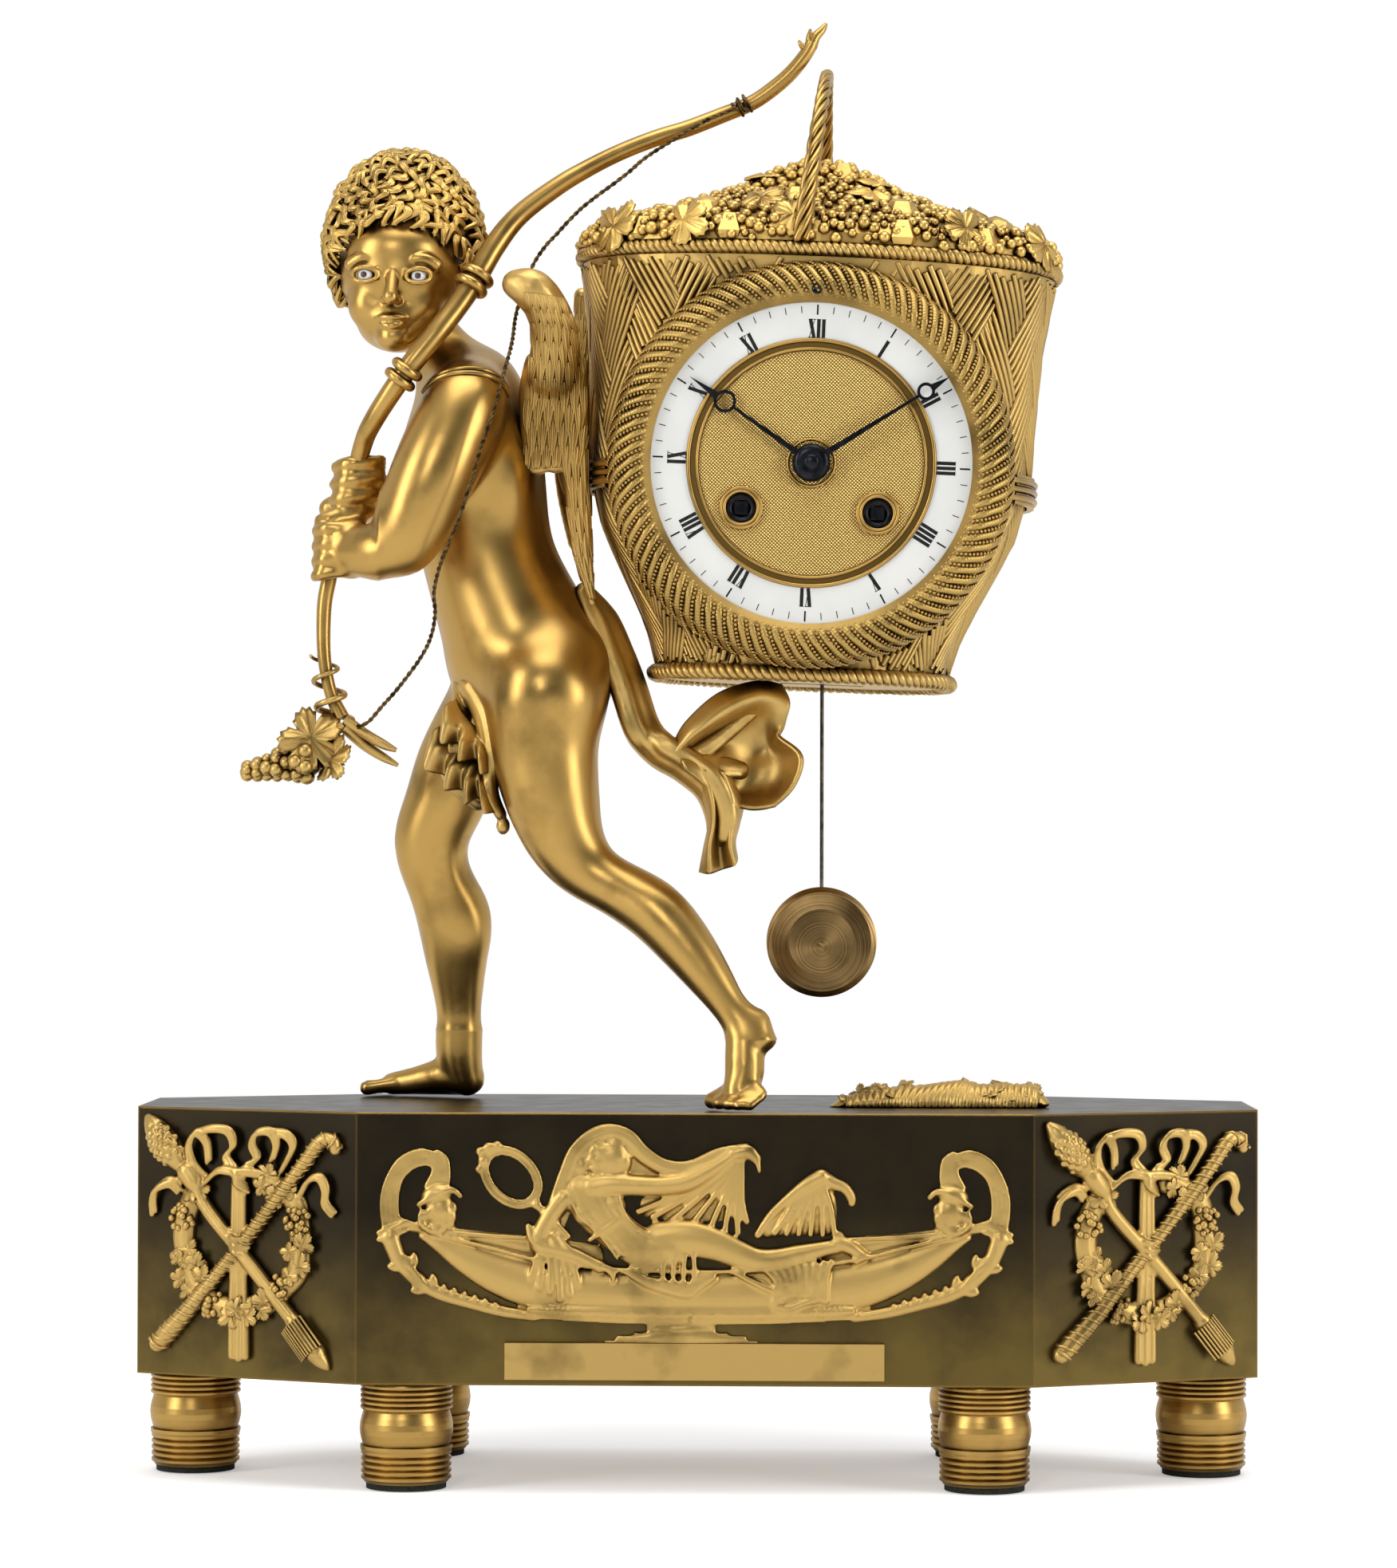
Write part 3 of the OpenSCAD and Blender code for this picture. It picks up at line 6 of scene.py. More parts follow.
import bmesh
import bpy
from mathutils import Matrix, Vector
from mathutils.bvhtree import BVHTree
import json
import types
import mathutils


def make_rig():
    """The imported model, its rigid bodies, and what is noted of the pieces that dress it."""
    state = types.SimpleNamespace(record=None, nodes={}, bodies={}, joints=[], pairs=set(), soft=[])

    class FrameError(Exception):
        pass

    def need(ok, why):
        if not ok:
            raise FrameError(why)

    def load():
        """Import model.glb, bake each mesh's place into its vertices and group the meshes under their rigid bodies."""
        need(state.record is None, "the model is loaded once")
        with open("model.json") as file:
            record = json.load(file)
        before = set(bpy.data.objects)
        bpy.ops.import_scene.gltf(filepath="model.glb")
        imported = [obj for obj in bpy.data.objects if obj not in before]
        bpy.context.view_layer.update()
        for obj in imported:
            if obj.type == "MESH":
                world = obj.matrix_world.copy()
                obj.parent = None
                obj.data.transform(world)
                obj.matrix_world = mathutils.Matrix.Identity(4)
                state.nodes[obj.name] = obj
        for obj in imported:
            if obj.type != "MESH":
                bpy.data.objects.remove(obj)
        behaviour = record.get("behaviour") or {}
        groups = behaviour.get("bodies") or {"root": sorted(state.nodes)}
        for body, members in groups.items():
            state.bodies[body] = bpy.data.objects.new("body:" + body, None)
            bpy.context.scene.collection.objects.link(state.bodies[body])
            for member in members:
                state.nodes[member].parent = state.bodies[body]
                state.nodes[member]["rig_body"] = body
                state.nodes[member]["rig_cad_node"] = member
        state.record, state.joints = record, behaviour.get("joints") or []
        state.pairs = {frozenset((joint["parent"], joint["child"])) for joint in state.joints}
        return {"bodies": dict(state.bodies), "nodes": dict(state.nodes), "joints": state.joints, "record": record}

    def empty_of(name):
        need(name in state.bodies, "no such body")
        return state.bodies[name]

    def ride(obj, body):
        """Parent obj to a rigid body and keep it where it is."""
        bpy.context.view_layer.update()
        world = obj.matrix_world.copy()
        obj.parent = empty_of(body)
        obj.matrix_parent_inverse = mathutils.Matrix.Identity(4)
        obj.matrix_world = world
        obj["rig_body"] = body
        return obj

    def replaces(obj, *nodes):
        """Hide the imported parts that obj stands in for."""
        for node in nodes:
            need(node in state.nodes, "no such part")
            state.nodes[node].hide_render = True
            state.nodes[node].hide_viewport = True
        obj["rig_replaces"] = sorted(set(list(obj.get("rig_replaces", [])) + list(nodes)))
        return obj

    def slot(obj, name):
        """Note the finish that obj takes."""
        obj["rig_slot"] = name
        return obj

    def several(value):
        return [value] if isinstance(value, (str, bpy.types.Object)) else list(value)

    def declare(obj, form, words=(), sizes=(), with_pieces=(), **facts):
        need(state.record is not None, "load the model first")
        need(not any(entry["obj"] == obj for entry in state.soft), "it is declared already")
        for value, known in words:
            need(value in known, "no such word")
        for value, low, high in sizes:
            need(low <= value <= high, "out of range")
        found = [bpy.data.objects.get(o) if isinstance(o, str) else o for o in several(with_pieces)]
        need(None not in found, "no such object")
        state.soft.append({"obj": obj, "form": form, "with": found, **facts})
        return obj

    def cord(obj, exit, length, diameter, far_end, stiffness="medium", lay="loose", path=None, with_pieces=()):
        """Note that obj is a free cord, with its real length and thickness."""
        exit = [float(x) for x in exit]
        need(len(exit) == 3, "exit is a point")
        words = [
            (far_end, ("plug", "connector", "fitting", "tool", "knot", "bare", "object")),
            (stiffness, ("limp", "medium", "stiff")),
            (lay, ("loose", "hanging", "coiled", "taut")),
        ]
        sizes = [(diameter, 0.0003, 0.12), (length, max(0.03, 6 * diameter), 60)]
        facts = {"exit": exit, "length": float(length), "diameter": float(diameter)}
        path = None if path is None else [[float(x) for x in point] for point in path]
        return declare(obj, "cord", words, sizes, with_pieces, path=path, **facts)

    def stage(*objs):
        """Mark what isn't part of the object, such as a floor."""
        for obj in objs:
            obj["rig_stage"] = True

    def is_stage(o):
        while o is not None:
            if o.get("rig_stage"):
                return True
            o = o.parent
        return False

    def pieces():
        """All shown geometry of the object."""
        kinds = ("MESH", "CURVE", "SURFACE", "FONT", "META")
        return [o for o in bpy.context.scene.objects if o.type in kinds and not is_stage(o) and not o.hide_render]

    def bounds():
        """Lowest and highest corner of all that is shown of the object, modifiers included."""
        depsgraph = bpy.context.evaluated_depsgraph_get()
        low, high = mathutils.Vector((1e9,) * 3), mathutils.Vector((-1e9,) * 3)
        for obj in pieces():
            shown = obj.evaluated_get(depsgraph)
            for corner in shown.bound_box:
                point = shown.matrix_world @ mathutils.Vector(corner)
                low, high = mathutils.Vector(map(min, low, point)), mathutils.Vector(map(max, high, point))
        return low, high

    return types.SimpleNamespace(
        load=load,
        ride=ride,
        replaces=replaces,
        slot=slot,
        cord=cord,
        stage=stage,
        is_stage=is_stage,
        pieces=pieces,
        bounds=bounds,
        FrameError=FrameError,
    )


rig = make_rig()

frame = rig.load()
bpy.context.scene.view_settings.view_transform = "Standard"
cad_low, cad_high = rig.bounds()

# Camera. The clock was photographed almost level with the dial, from a little over a metre away,
# with the plinth's front nearly square to the view.
MM = 0.001
STAND_X, STAND_Y, STAND_Z = 25.5, -1454.3, 191.5
yaw, pitch, roll = radians(1.0106), radians(0.9044), radians(0.1371)
forward = Vector((-sin(yaw) * cos(pitch), cos(yaw) * cos(pitch), sin(pitch)))
level = Vector((cos(yaw), sin(yaw), 0))
upright = level.cross(forward)
right = level * cos(roll) + upright * sin(roll)
above = upright * cos(roll) - level * sin(roll)


def put(name, data):
    """Adds an object to the scene."""
    thing = bpy.data.objects.new(name, data)
    bpy.context.scene.collection.objects.link(thing)
    return thing


camera = put("camera", bpy.data.cameras.new("camera"))
camera.data.lens = 106.68
camera.data.sensor_width = 36
camera.data.clip_end = 50
camera.matrix_world = Matrix((
    (right.x, above.x, -forward.x, STAND_X * MM), (right.y, above.y, -forward.y, STAND_Y * MM),
    (right.z, above.z, -forward.z, STAND_Z * MM), (0, 0, 0, 1)))
bpy.context.scene.camera = camera

# Bow string. A thin cord of two brass wires twisted together and browned, from the bow's lower end
# over the near arm and behind the wing to a knot near the forked tip.


def linear(code):
    """An sRGB hex colour as the linear colour that the shaders use."""
    parts = [int(code[i:i + 2], 16) / 255 for i in (0, 2, 4)]
    return [c / 12.92 if c <= 0.04045 else ((c + 0.055) / 1.055) ** 2.4 for c in parts] + [1.0]


def add(tree, kind, inputs=None, **settings):
    """Adds one shader node to a material, with its settings, and its sockets' values or links."""
    node = tree.nodes.new("ShaderNode" + kind)
    for key, value in settings.items():
        setattr(node, key, value)
    for socket, value in (inputs or {}).items():
        if isinstance(value, bpy.types.NodeSocket):
            tree.links.new(value, node.inputs[socket])
        else:
            node.inputs[socket].default_value = value
    return node


def ramp(tree, factor, stops):
    """A colour ramp of (place, hex colour) stops."""
    node = add(tree, "ValToRGB", {"Fac": factor})
    elements = node.color_ramp.elements
    for i, (place, code) in enumerate(stops):
        element = elements[i] if i < 2 else elements.new(place)
        element.position = place
        element.color = linear(code)
    return node.outputs["Color"]


def new_material(name):
    """An empty material with its output, ready for nodes."""
    material = bpy.data.materials.new(name)
    material.use_nodes = True
    tree = material.node_tree
    tree.nodes.clear()
    return material, tree, add(tree, "OutputMaterial")


def mottled(name, spots_per_m, detail, tones, look, bump=None):
    """A finish in two close tones, set in small spots; bump is its strength and its depth in metres."""
    material, tree, out = new_material(name)
    place = add(tree, "TexCoord")
    spots = add(tree, "TexNoise",
                {"Vector": place.outputs["Object"], "Scale": spots_per_m, "Detail": detail})
    uneven = {}
    if bump:
        uneven["Normal"] = add(tree, "Bump", {
            "Height": spots.outputs["Fac"], "Strength": bump[0], "Distance": bump[1]}).outputs["Normal"]
    shade = ramp(tree, spots.outputs["Fac"], tones)
    body = add(tree, "BsdfPrincipled", {"Base Color": shade, **look, **uneven})
    tree.links.new(body.outputs["BSDF"], out.inputs["Surface"])
    return material


# Twisted brass wire gone brown: dark between the wires, dull gold where it is rubbed.
browned_wire = mottled("browned_brass_wire", 500.0, 2.0, [(0.35, "2B2013"), (0.65, "7C6236")],
                       {"Metallic": 0.9, "Roughness": 0.42})


def as_mesh(shape, name):
    """The mesh of a bmesh, which is then freed."""
    data = bpy.data.meshes.new(name)
    shape.to_mesh(data)
    shape.free()
    return data


def finish_piece(name, data, body, material, slot, smooth=True):
    """Makes an object of a mesh or bmesh whose place is in its mesh, and lets it ride on a body."""
    if isinstance(data, bmesh.types.BMesh):
        data = as_mesh(data, name)
    piece = put(name, data)
    data.materials.clear()
    data.materials.append(material)
    for face in data.polygons:
        face.use_smooth = smooth
    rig.ride(piece, body)
    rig.slot(piece, slot)
    return piece


def shaped(holder):
    """The mesh that an object's modifiers or bevel make of it; the object itself goes."""
    bpy.context.view_layer.update()
    mesh = bpy.data.meshes.new_from_object(holder.evaluated_get(bpy.context.evaluated_depsgraph_get()))
    bpy.data.objects.remove(holder)
    return mesh


def strand_mesh(lines, radius, sides=6, closed=False):
    """A mesh of round strands. Each line is a list of (point, share of the radius)."""
    curve = bpy.data.curves.new("strand", "CURVE")
    curve.dimensions = "3D"
    curve.bevel_depth = radius
    curve.bevel_resolution = max(0, sides // 2 - 2)
    curve.use_fill_caps = True
    for line in lines:
        spline = curve.splines.new("POLY")
        spline.points.add(len(line) - 1)
        spline.use_cyclic_u = closed
        for point, (where, share) in zip(spline.points, line):
            point.co = (*where, 1)
            point.radius = share
    mesh = shaped(put("strand", curve))
    bpy.data.curves.remove(curve)
    return mesh


def frames_along(points, closed=False):
    """Each point with two directions across the path, turned as little as possible from one to the next."""
    found, side, n = [], None, len(points)
    for i, point in enumerate(points):
        before = points[(i - 1) % n] if closed else points[max(i - 1, 0)]
        after = points[(i + 1) % n] if closed else points[min(i + 1, n - 1)]
        along = (after - before).normalized()
        if side is None:
            side = along.orthogonal()
        side = (side - side.dot(along) * along).normalized()
        found.append((point, side, along.cross(side)))
    return found


def spline_at(points, i, t):
    """The place at share t between point i and the next, on a smooth curve through all the points."""
    a, b, c, d = [points[j] for j in (max(i - 1, 0), i, i + 1, min(i + 2, len(points) - 1))]
    return 0.5 * ((2 * b) + (c - a) * t + (2 * a - 5 * b + 4 * c - d) * t * t + (3 * b - a - 3 * c + d) * t ** 3)


def resampled(points, step):
    """The same path with points every step, on a smooth curve through the given ones."""
    fine = []
    for i in range(len(points) - 1):
        count = max(1, round((points[i + 1] - points[i]).length / step))
        fine += [spline_at(points, i, k / count) for k in range(count)]
    return fine + [points[-1]]


def twisted(points, strands, turns, offset, shares=None, closed=False):
    """Lines of strands that wind round a path; offset is the radius at which they run."""
    lines = []
    frames = frames_along(points, closed)
    for s in range(strands):
        line = []
        for i, (point, side, across) in enumerate(frames):
            share = shares[i] if shares else 1.0
            angle = 2 * pi * (s / strands + turns * i / (len(frames) - (0 if closed else 1)))
            line.append((point + share * offset * (cos(angle) * side + sin(angle) * across), share))
        lines.append(line)
    return lines


TOP = 114.5
WIRE_R, WIRE_OFF, WIRE_LAY = 0.36, 0.34, 4.2
string_route = [
    (-105, -24.3, 117), (-101.5, -25, 118.5), (-97, -26, 123.5), (-92, -27.5, 129), (-85, -31, 138),
    (-81.5, -35, 144.5), (-80, -39, 151), (-80, -43, 158), (-77.5, -48, 166.5), (-74, -51, 174), (-71, -52, 182),
    (-68, -51.5, 191.5), (-65, -51, 202), (-61.2, -50, 213.5), (-58.7, -45, 224.5), (-56.8, -38, 234),
    (-56, -30.5, 243.5), (-54, -28, 251), (-51, -26, 259.5), (-47.5, -25.5, 265), (-43.5, -25, 269.5),
    (-38.5, -24.5, 275), (-33.5, -24, 279.5), (-23, -23, 287.5), (-16, -22.5, 293.5), (-5, -22, 300.5),
    (2.5, -21, 305), (8, -20.2, 307.5), (13, -19.4, 309.6)]
string_path = [Vector((x, y, z + TOP)) * MM for x, y, z in string_route]
string_length = sum((b - a).length for a, b in zip(string_path, string_path[1:]))
string_line = resampled(string_path, 0.6 * MM)
bow_string = finish_piece(
    "bow_string_wire",
    strand_mesh(twisted(string_line, 2, string_length / (WIRE_LAY * MM), WIRE_OFF * MM), WIRE_R * MM, 6),
    "case", browned_wire, "wire")
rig.replaces(bow_string, "bow_string")
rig.cord(bow_string, exit=string_path[0], length=string_length, diameter=1.4 * MM, far_end="object",
        stiffness="stiff", lay="taut", path=string_path)

# Studio. White paper floor that runs out of sight, two soft boxes at the sides, one overhead, and a
# dim room behind the camera, which is what gives gilded metal its dark side.
floor_sheet = bmesh.new()
bmesh.ops.create_grid(floor_sheet, x_segments=1, y_segments=1, size=6)
paper, tree, out = new_material("white_paper_floor")
place = add(tree, "TexCoord")
reach = add(tree, "VectorMath", {0: place.outputs["Object"]}, operation="LENGTH")
far = add(tree, "MapRange", {"Value": reach.outputs["Value"], "From Min": 0.35, "From Max": 1.1},
          interpolation_type="SMOOTHSTEP")
ray = add(tree, "LightPath")
seen = add(tree, "Math", {0: ray.outputs["Is Camera Ray"], 1: ray.outputs["Is Glossy Ray"]}, operation="MAXIMUM")
near_glow = add(tree, "Math", {0: ray.outputs["Is Camera Ray"], 1: 0.34}, operation="MULTIPLY")
matt = add(tree, "BsdfDiffuse", {"Color": linear("F4F4F4")})
lift = add(tree, "Emission", {"Strength": near_glow.outputs["Value"]})
near = add(tree, "AddShader", {0: matt.outputs["BSDF"], 1: lift.outputs["Emission"]})
white = add(tree, "Emission", {"Strength": 1.0})
blend = add(tree, "Math", {0: far.outputs["Result"], 1: seen.outputs["Value"]}, operation="MULTIPLY")
sheet = add(tree, "MixShader", {"Fac": blend.outputs["Value"], 1: near.outputs["Shader"],
                                2: white.outputs["Emission"]})
tree.links.new(sheet.outputs["Shader"], out.inputs["Surface"])
floor = put("floor", as_mesh(floor_sheet, "floor"))
floor.data.materials.append(paper)
floor.location.z = -0.0002
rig.stage(floor)

world = bpy.data.worlds.new("studio")
bpy.context.scene.world = world
world.use_nodes = True
tree = world.node_tree
tree.nodes.clear()
place = add(tree, "TexCoord")
axes = add(tree, "SeparateXYZ", {"Vector": place.outputs["Generated"]})
backwards = add(tree, "MapRange", {"Value": axes.outputs["Y"], "From Min": -0.35, "From Max": 0.3, "To Min": 0.16,
                                             "To Max": 1.0}, interpolation_type="SMOOTHSTEP")
upwards = add(tree, "MapRange", {"Value": axes.outputs["Z"], "From Min": 0.55, "From Max": 1.0, "To Min": 0.0,
                                           "To Max": 0.8}, interpolation_type="SMOOTHSTEP")
higher = add(tree, "Math", {0: backwards.outputs["Result"], 1: upwards.outputs["Result"]}, operation="MAXIMUM")
around = add(tree, "Math", {0: higher.outputs["Value"], 1: 0.75}, operation="MULTIPLY")
ray = add(tree, "LightPath")
clear = add(tree, "Math", {0: ray.outputs["Is Camera Ray"], 1: ray.outputs["Is Transmission Ray"]},
            operation="MAXIMUM")
level_light = add(tree, "Mix", {"Factor": clear.outputs["Value"], 2: around.outputs["Value"], 3: 1.0})
room = add(tree, "Background", {"Color": linear("FFFFFF"), "Strength": level_light.outputs[0]})
add(tree, "OutputWorld", {"Surface": room.outputs["Background"]})
for name, spot, aim, size, power in [
        ("left_box", (-1.3, -0.9, 0.75), (0, 0, 0.25), (0.5, 1.1), 11),
        ("right_box", (1.35, -0.75, 0.6), (0, 0, 0.22), (0.5, 1.0), 9.5),
        ("front_strip", (-0.35, -1.7, 0.95), (0, 0, 0.25), (0.28, 0.5), 4.5),
        ("overhead_box", (0.1, -0.25, 1.5), (0, 0, 0.1), (1.2, 0.9), 11)]:
    lamp = bpy.data.lights.new(name, "AREA")
    lamp.shape = "RECTANGLE"
    lamp.size, lamp.size_y = size
    lamp.energy = power
    holder = put(name, lamp)
    holder.location = spot
    holder.rotation_mode = "QUATERNION"
    holder.rotation_quaternion = (Vector(aim) - Vector(spot)).to_track_quat("-Z", "Y")

# Plinth. A hollow bronze casting with a smooth black-brown patina, mottled and rubbed bright along
# its edges; the olive gold that grows towards its foot is painted sheen.
patina, tree, out = new_material("patinated_bronze")
place = add(tree, "TexCoord")
axes = add(tree, "SeparateXYZ", {"Vector": place.outputs["Object"]})
cloud = add(tree, "TexNoise", {"Vector": place.outputs["Object"], "Scale": 28.0, "Detail": 5.0, "Roughness": 0.6})
# Painted sheen: the colour lightens to olive gold towards the foot.
height = add(tree, "MapRange", {"Value": axes.outputs["Z"], "From Min": 0.032, "From Max": 0.085, "To Min": 0.72,
                                          "To Max": 0.14})
mottle_and_painted_sheen = add(tree, "Math", {0: cloud.outputs["Fac"], 1: height.outputs["Result"]}, operation="MULTIPLY")
skin = ramp(tree, mottle_and_painted_sheen.outputs["Value"], [(0.04, "221C12"), (0.14, "3A301B"), (0.36, "6E5C2E")])
soft_edge = add(tree, "Bevel", {"Radius": 0.0012}, samples=4)
flat_way = add(tree, "NewGeometry")
turn = add(tree, "VectorMath", {0: soft_edge.outputs["Normal"], 1: flat_way.outputs["True Normal"]},
           operation="DOT_PRODUCT")
edge = add(tree, "MapRange", {"Value": turn.outputs["Value"], "From Min": 0.995, "From Max": 0.86})
rubbed = add(tree, "Mix", {"Factor": edge.outputs["Result"], 6: skin, 7: linear("B08A44")}, data_type="RGBA")
smear = add(tree, "TexNoise", {"Vector": place.outputs["Object"], "Scale": 90.0, "Detail": 4.0})
polish = add(tree, "MapRange", {"Value": smear.outputs["Fac"], "To Min": 0.24, "To Max": 0.42})
grain = add(tree, "Bump", {"Height": smear.outputs["Fac"], "Strength": 0.06, "Distance": 0.0006,
                                     "Normal": soft_edge.outputs["Normal"]})
metal = add(tree, "BsdfPrincipled", {"Base Color": rubbed.outputs[2], "Metallic": 0.85,
                                               "Roughness": polish.outputs["Result"],
                                               "Normal": grain.outputs["Normal"]})
tree.links.new(metal.outputs["BSDF"], out.inputs["Surface"])


def dress(node, material):
    """Gives a CAD node that keeps its shape the material of the real piece."""
    mesh = frame["nodes"][node].data
    mesh.materials.clear()
    mesh.materials.append(material)


dress("plinth_shell", patina)

# Feet. Turned from gilt brass, with rings cut like a screw above and below a swelling barrel, each
# on a pad of dark felt and held by a stud and a nut inside the plinth.


def gilding(name, light, deep, grain_mm, grain_depth, rough, spread=0.08):
    """Mercury gilding: even colour with a random cloud, and painted shade from ambient occlusion, darker in the
    chasing and lighter on open ridges.
    """
    material, tree, out = new_material(name)
    place = add(tree, "TexCoord")
    # Painted shade: ambient occlusion darkens the colour in hollows.
    painted_shade_ao = add(tree, "AmbientOcclusion", {"Distance": 0.006}, samples=4, only_local=False)
    cloud = add(tree, "TexNoise", {"Vector": place.outputs["Object"], "Scale": 45.0, "Detail": 4.0})
    depth = add(tree, "Math", {0: painted_shade_ao.outputs["AO"], 1: cloud.outputs["Fac"]}, operation="MULTIPLY")
    colour = ramp(tree, depth.outputs["Value"], [(0.1, deep), (0.45, light)])
    fine = add(tree, "TexNoise", {"Vector": place.outputs["Object"], "Scale": 1000.0 / grain_mm, "Detail": 2.0})
    polish = add(tree, "MapRange", {"Value": cloud.outputs["Fac"], "From Min": 0.3, "From Max": 0.7,
                                              "To Min": rough - spread, "To Max": rough + spread})
    grain = add(tree, "Bump", {"Height": fine.outputs["Fac"], "Strength": 0.5, "Distance": grain_depth * MM})
    metal = add(tree, "BsdfPrincipled", {"Base Color": colour, "Metallic": 1.0, "Roughness": polish.outputs["Result"],
                                                   "Normal": grain.outputs["Normal"]})
    tree.links.new(metal.outputs["BSDF"], out.inputs["Surface"])
    return material


# The second colour of each gilding is its painted shade in hollows.
burnished = gilding("burnished_gilding", "BF9A56", "54401F", 0.9, 0.02, 0.34, 0.05)
matte_gilt = gilding("matte_gilding", "CDAB66", "4F3B1C", 0.5, 0.05, 0.42, 0.06)
for corner in ("front_left", "front_right", "back_left", "back_right", "end_left", "end_right"):
    dress("foot_" + corner, burnished)
# Wool felt, pressed and dark green-black: a dull nap with no gloss.
felt = mottled("dark_felt", 900.0, 3.0, [(0.3, "141611"), (0.7, "2A2D23")], {"Roughness": 0.95}, (0.8, 0.0003))
dress("foot_pads", felt)
# Plain turned steel, browned by handling.
steel = mottled("dark_steel", 300.0, 3.0, [(0.3, "3A3632"), (0.7, "6E675E")], {"Metallic": 1.0, "Roughness": 0.35})
dress("foot_nuts", steel)

# Dial. A white enamelled copper ring with fired black numerals and a minute track, round an
# engine-turned gilt centre with a polished border and a collet at each winding hole.
DIAL_AT = (34.6, 0, 310.6)
DIAL_Y = -53.4
winding_holes = (("right", 20.6, -14.4), ("left", -20.6, -14.4))
LEAN = Matrix.Translation(Vector(DIAL_AT) * MM) @ Matrix.Rotation(radians(2.3), 4, "Y")
# Fired enamel: a hard, wet-looking white with a faint unevenness from the kiln.
enamel = mottled("white_enamel", 60.0, 2.0, [(0.3, "DCDDDA"), (0.7, "E6E6E2")],
                 {"Roughness": 0.12, "Coat Weight": 0.5, "Coat Roughness": 0.05}, (0.1, 0.0004))
dress("enamel_ring", enamel)
# Painted and fired black, a little less glossy than the white under it.
black_enamel = mottled("fired_black_enamel", 700.0, 2.0, [(0.3, "12110F"), (0.8, "232120")], {"Roughness": 0.25})


def bar(mesh, low, high, width, turn, lift=0.06):
    """A flat painted bar between two places (across, out) of a numeral, turned round the dial."""
    a, b = Vector(low), Vector(high)
    middle, d = (a + b) / 2, b - a
    spin = Matrix.Rotation(turn, 4, "Y")
    lean = Matrix.Rotation(math.atan2(d.x, d.y), 4, "Y")
    shape = bmesh.ops.create_cube(mesh, size=1)["verts"]
    bmesh.ops.scale(mesh, verts=shape, vec=(width * MM, lift * MM, d.length * MM))
    bmesh.ops.transform(mesh, verts=shape, matrix=LEAN @ spin @ Matrix.Translation(
        Vector((middle.x, DIAL_Y - lift / 2, middle.y)) * MM) @ lean)


numerals = bmesh.new()
low_r, high_r = 37.9, 43.5
THICK, THIN = 1.05, 0.2
widths = {"I": 1.5, "V": 2.4, "X": 2.5}
for hour, letters in enumerate(["XII", "I", "II", "III", "IIII", "V", "VI", "VII", "VIII", "IX", "X", "XI"]):
    turn = radians(30 * hour)
    at = -sum(widths[c] for c in letters) / 2
    for c in letters:
        left, right_end, middle = at + 0.2, at + widths[c] - 0.2, at + widths[c] / 2
        at += widths[c]
        if c == "I":
            bar(numerals, (middle, low_r), (middle, high_r), THICK, turn)
        elif c == "V":
            bar(numerals, (middle + 0.1, low_r), (left + 0.45, high_r), THICK, turn)
            bar(numerals, (middle - 0.1, low_r), (right_end - 0.3, high_r), THIN, turn, 0.07)
        else:
            bar(numerals, (right_end - 0.35, low_r), (left + 0.45, high_r), THICK, turn)
            bar(numerals, (left + 0.3, low_r), (right_end - 0.3, high_r), THIN, turn, 0.07)
        for foot in ((left, right_end) if c == "X" else (middle - 0.5, middle + 0.5),):
            if c != "V":
                bar(numerals, (foot[0], low_r + 0.08), (foot[1], low_r + 0.08), THIN, turn, 0.08)
        bar(numerals, (left - 0.05, high_r - 0.08), (right_end + 0.05, high_r - 0.08), THIN, turn, 0.08)
for minute in range(60):
    strong = minute % 5 == 0
    start, stop, width = (44.8, 47.9, 0.5) if strong else (45.4, 47.5, 0.24)
    bar(numerals, (0, start), (0, stop), width, radians(6 * minute))
finish_piece("dial_numerals", numerals, "case", black_enamel, "enamel", smooth=False)

engine_turned, tree, out = new_material("engine_turned_gilding")
place = add(tree, "TexCoord")
centred = add(tree, "Mapping", {"Vector": place.outputs["Object"], "Location": (-0.0346, 0, -0.3106)})
diagonal = add(tree, "Mapping", {"Vector": centred.outputs["Vector"], "Rotation": (0, radians(47), 0),
                                           "Scale": (8.4, 8.4, 8.4)})
rows = [add(tree, "TexWave", {"Vector": diagonal.outputs["Vector"], "Scale": 50.0}, bands_direction=way,
            wave_profile="TRI") for way in ("X", "Z")]
barley = add(tree, "Math", {0: rows[0].outputs["Fac"], 1: rows[1].outputs["Fac"]}, operation="MULTIPLY")
radius = add(tree, "VectorMath", {0: centred.outputs["Vector"], 1: (1, 0, 1)}, operation="MULTIPLY")
out_by = add(tree, "VectorMath", {0: radius.outputs["Vector"]}, operation="LENGTH")
inside = add(tree, "MapRange", {"Value": out_by.outputs["Value"], "From Min": 0.0338, "From Max": 0.0341,
                                          "To Min": 1.0, "To Max": 0.0})
cut = add(tree, "Math", {0: barley.outputs["Value"], 1: inside.outputs["Result"]}, operation="MULTIPLY")
relief = add(tree, "Bump", {"Height": cut.outputs["Value"], "Strength": 0.8, "Distance": 0.00025})
# Lighter on the ridges of the cut and darker in its grooves: painted shade.
painted_groove_shade = ramp(tree, cut.outputs["Value"], [(0.0, "7D6232"), (0.6, "D8B870")])
metal = add(tree, "BsdfPrincipled", {"Base Color": painted_groove_shade, "Metallic": 1.0, "Roughness": 0.33,
                                               "Normal": relief.outputs["Normal"]})
tree.links.new(metal.outputs["BSDF"], out.inputs["Surface"])
dress("dial_centre", engine_turned)


def hoops(rings, radius, sides=8, steps=96):
    """Round wire hoops that face the front of the dial: (middle, y, hoop radius, wire share)."""
    lines = []
    for (u, w), y, r, share in rings:
        lines.append([(LEAN @ (Vector((u + r * cos(a), y, w + r * sin(a))) * MM), share)
                      for a in [2 * pi * k / steps for k in range(steps)]])
    return strand_mesh(lines, radius, sides, closed=True)


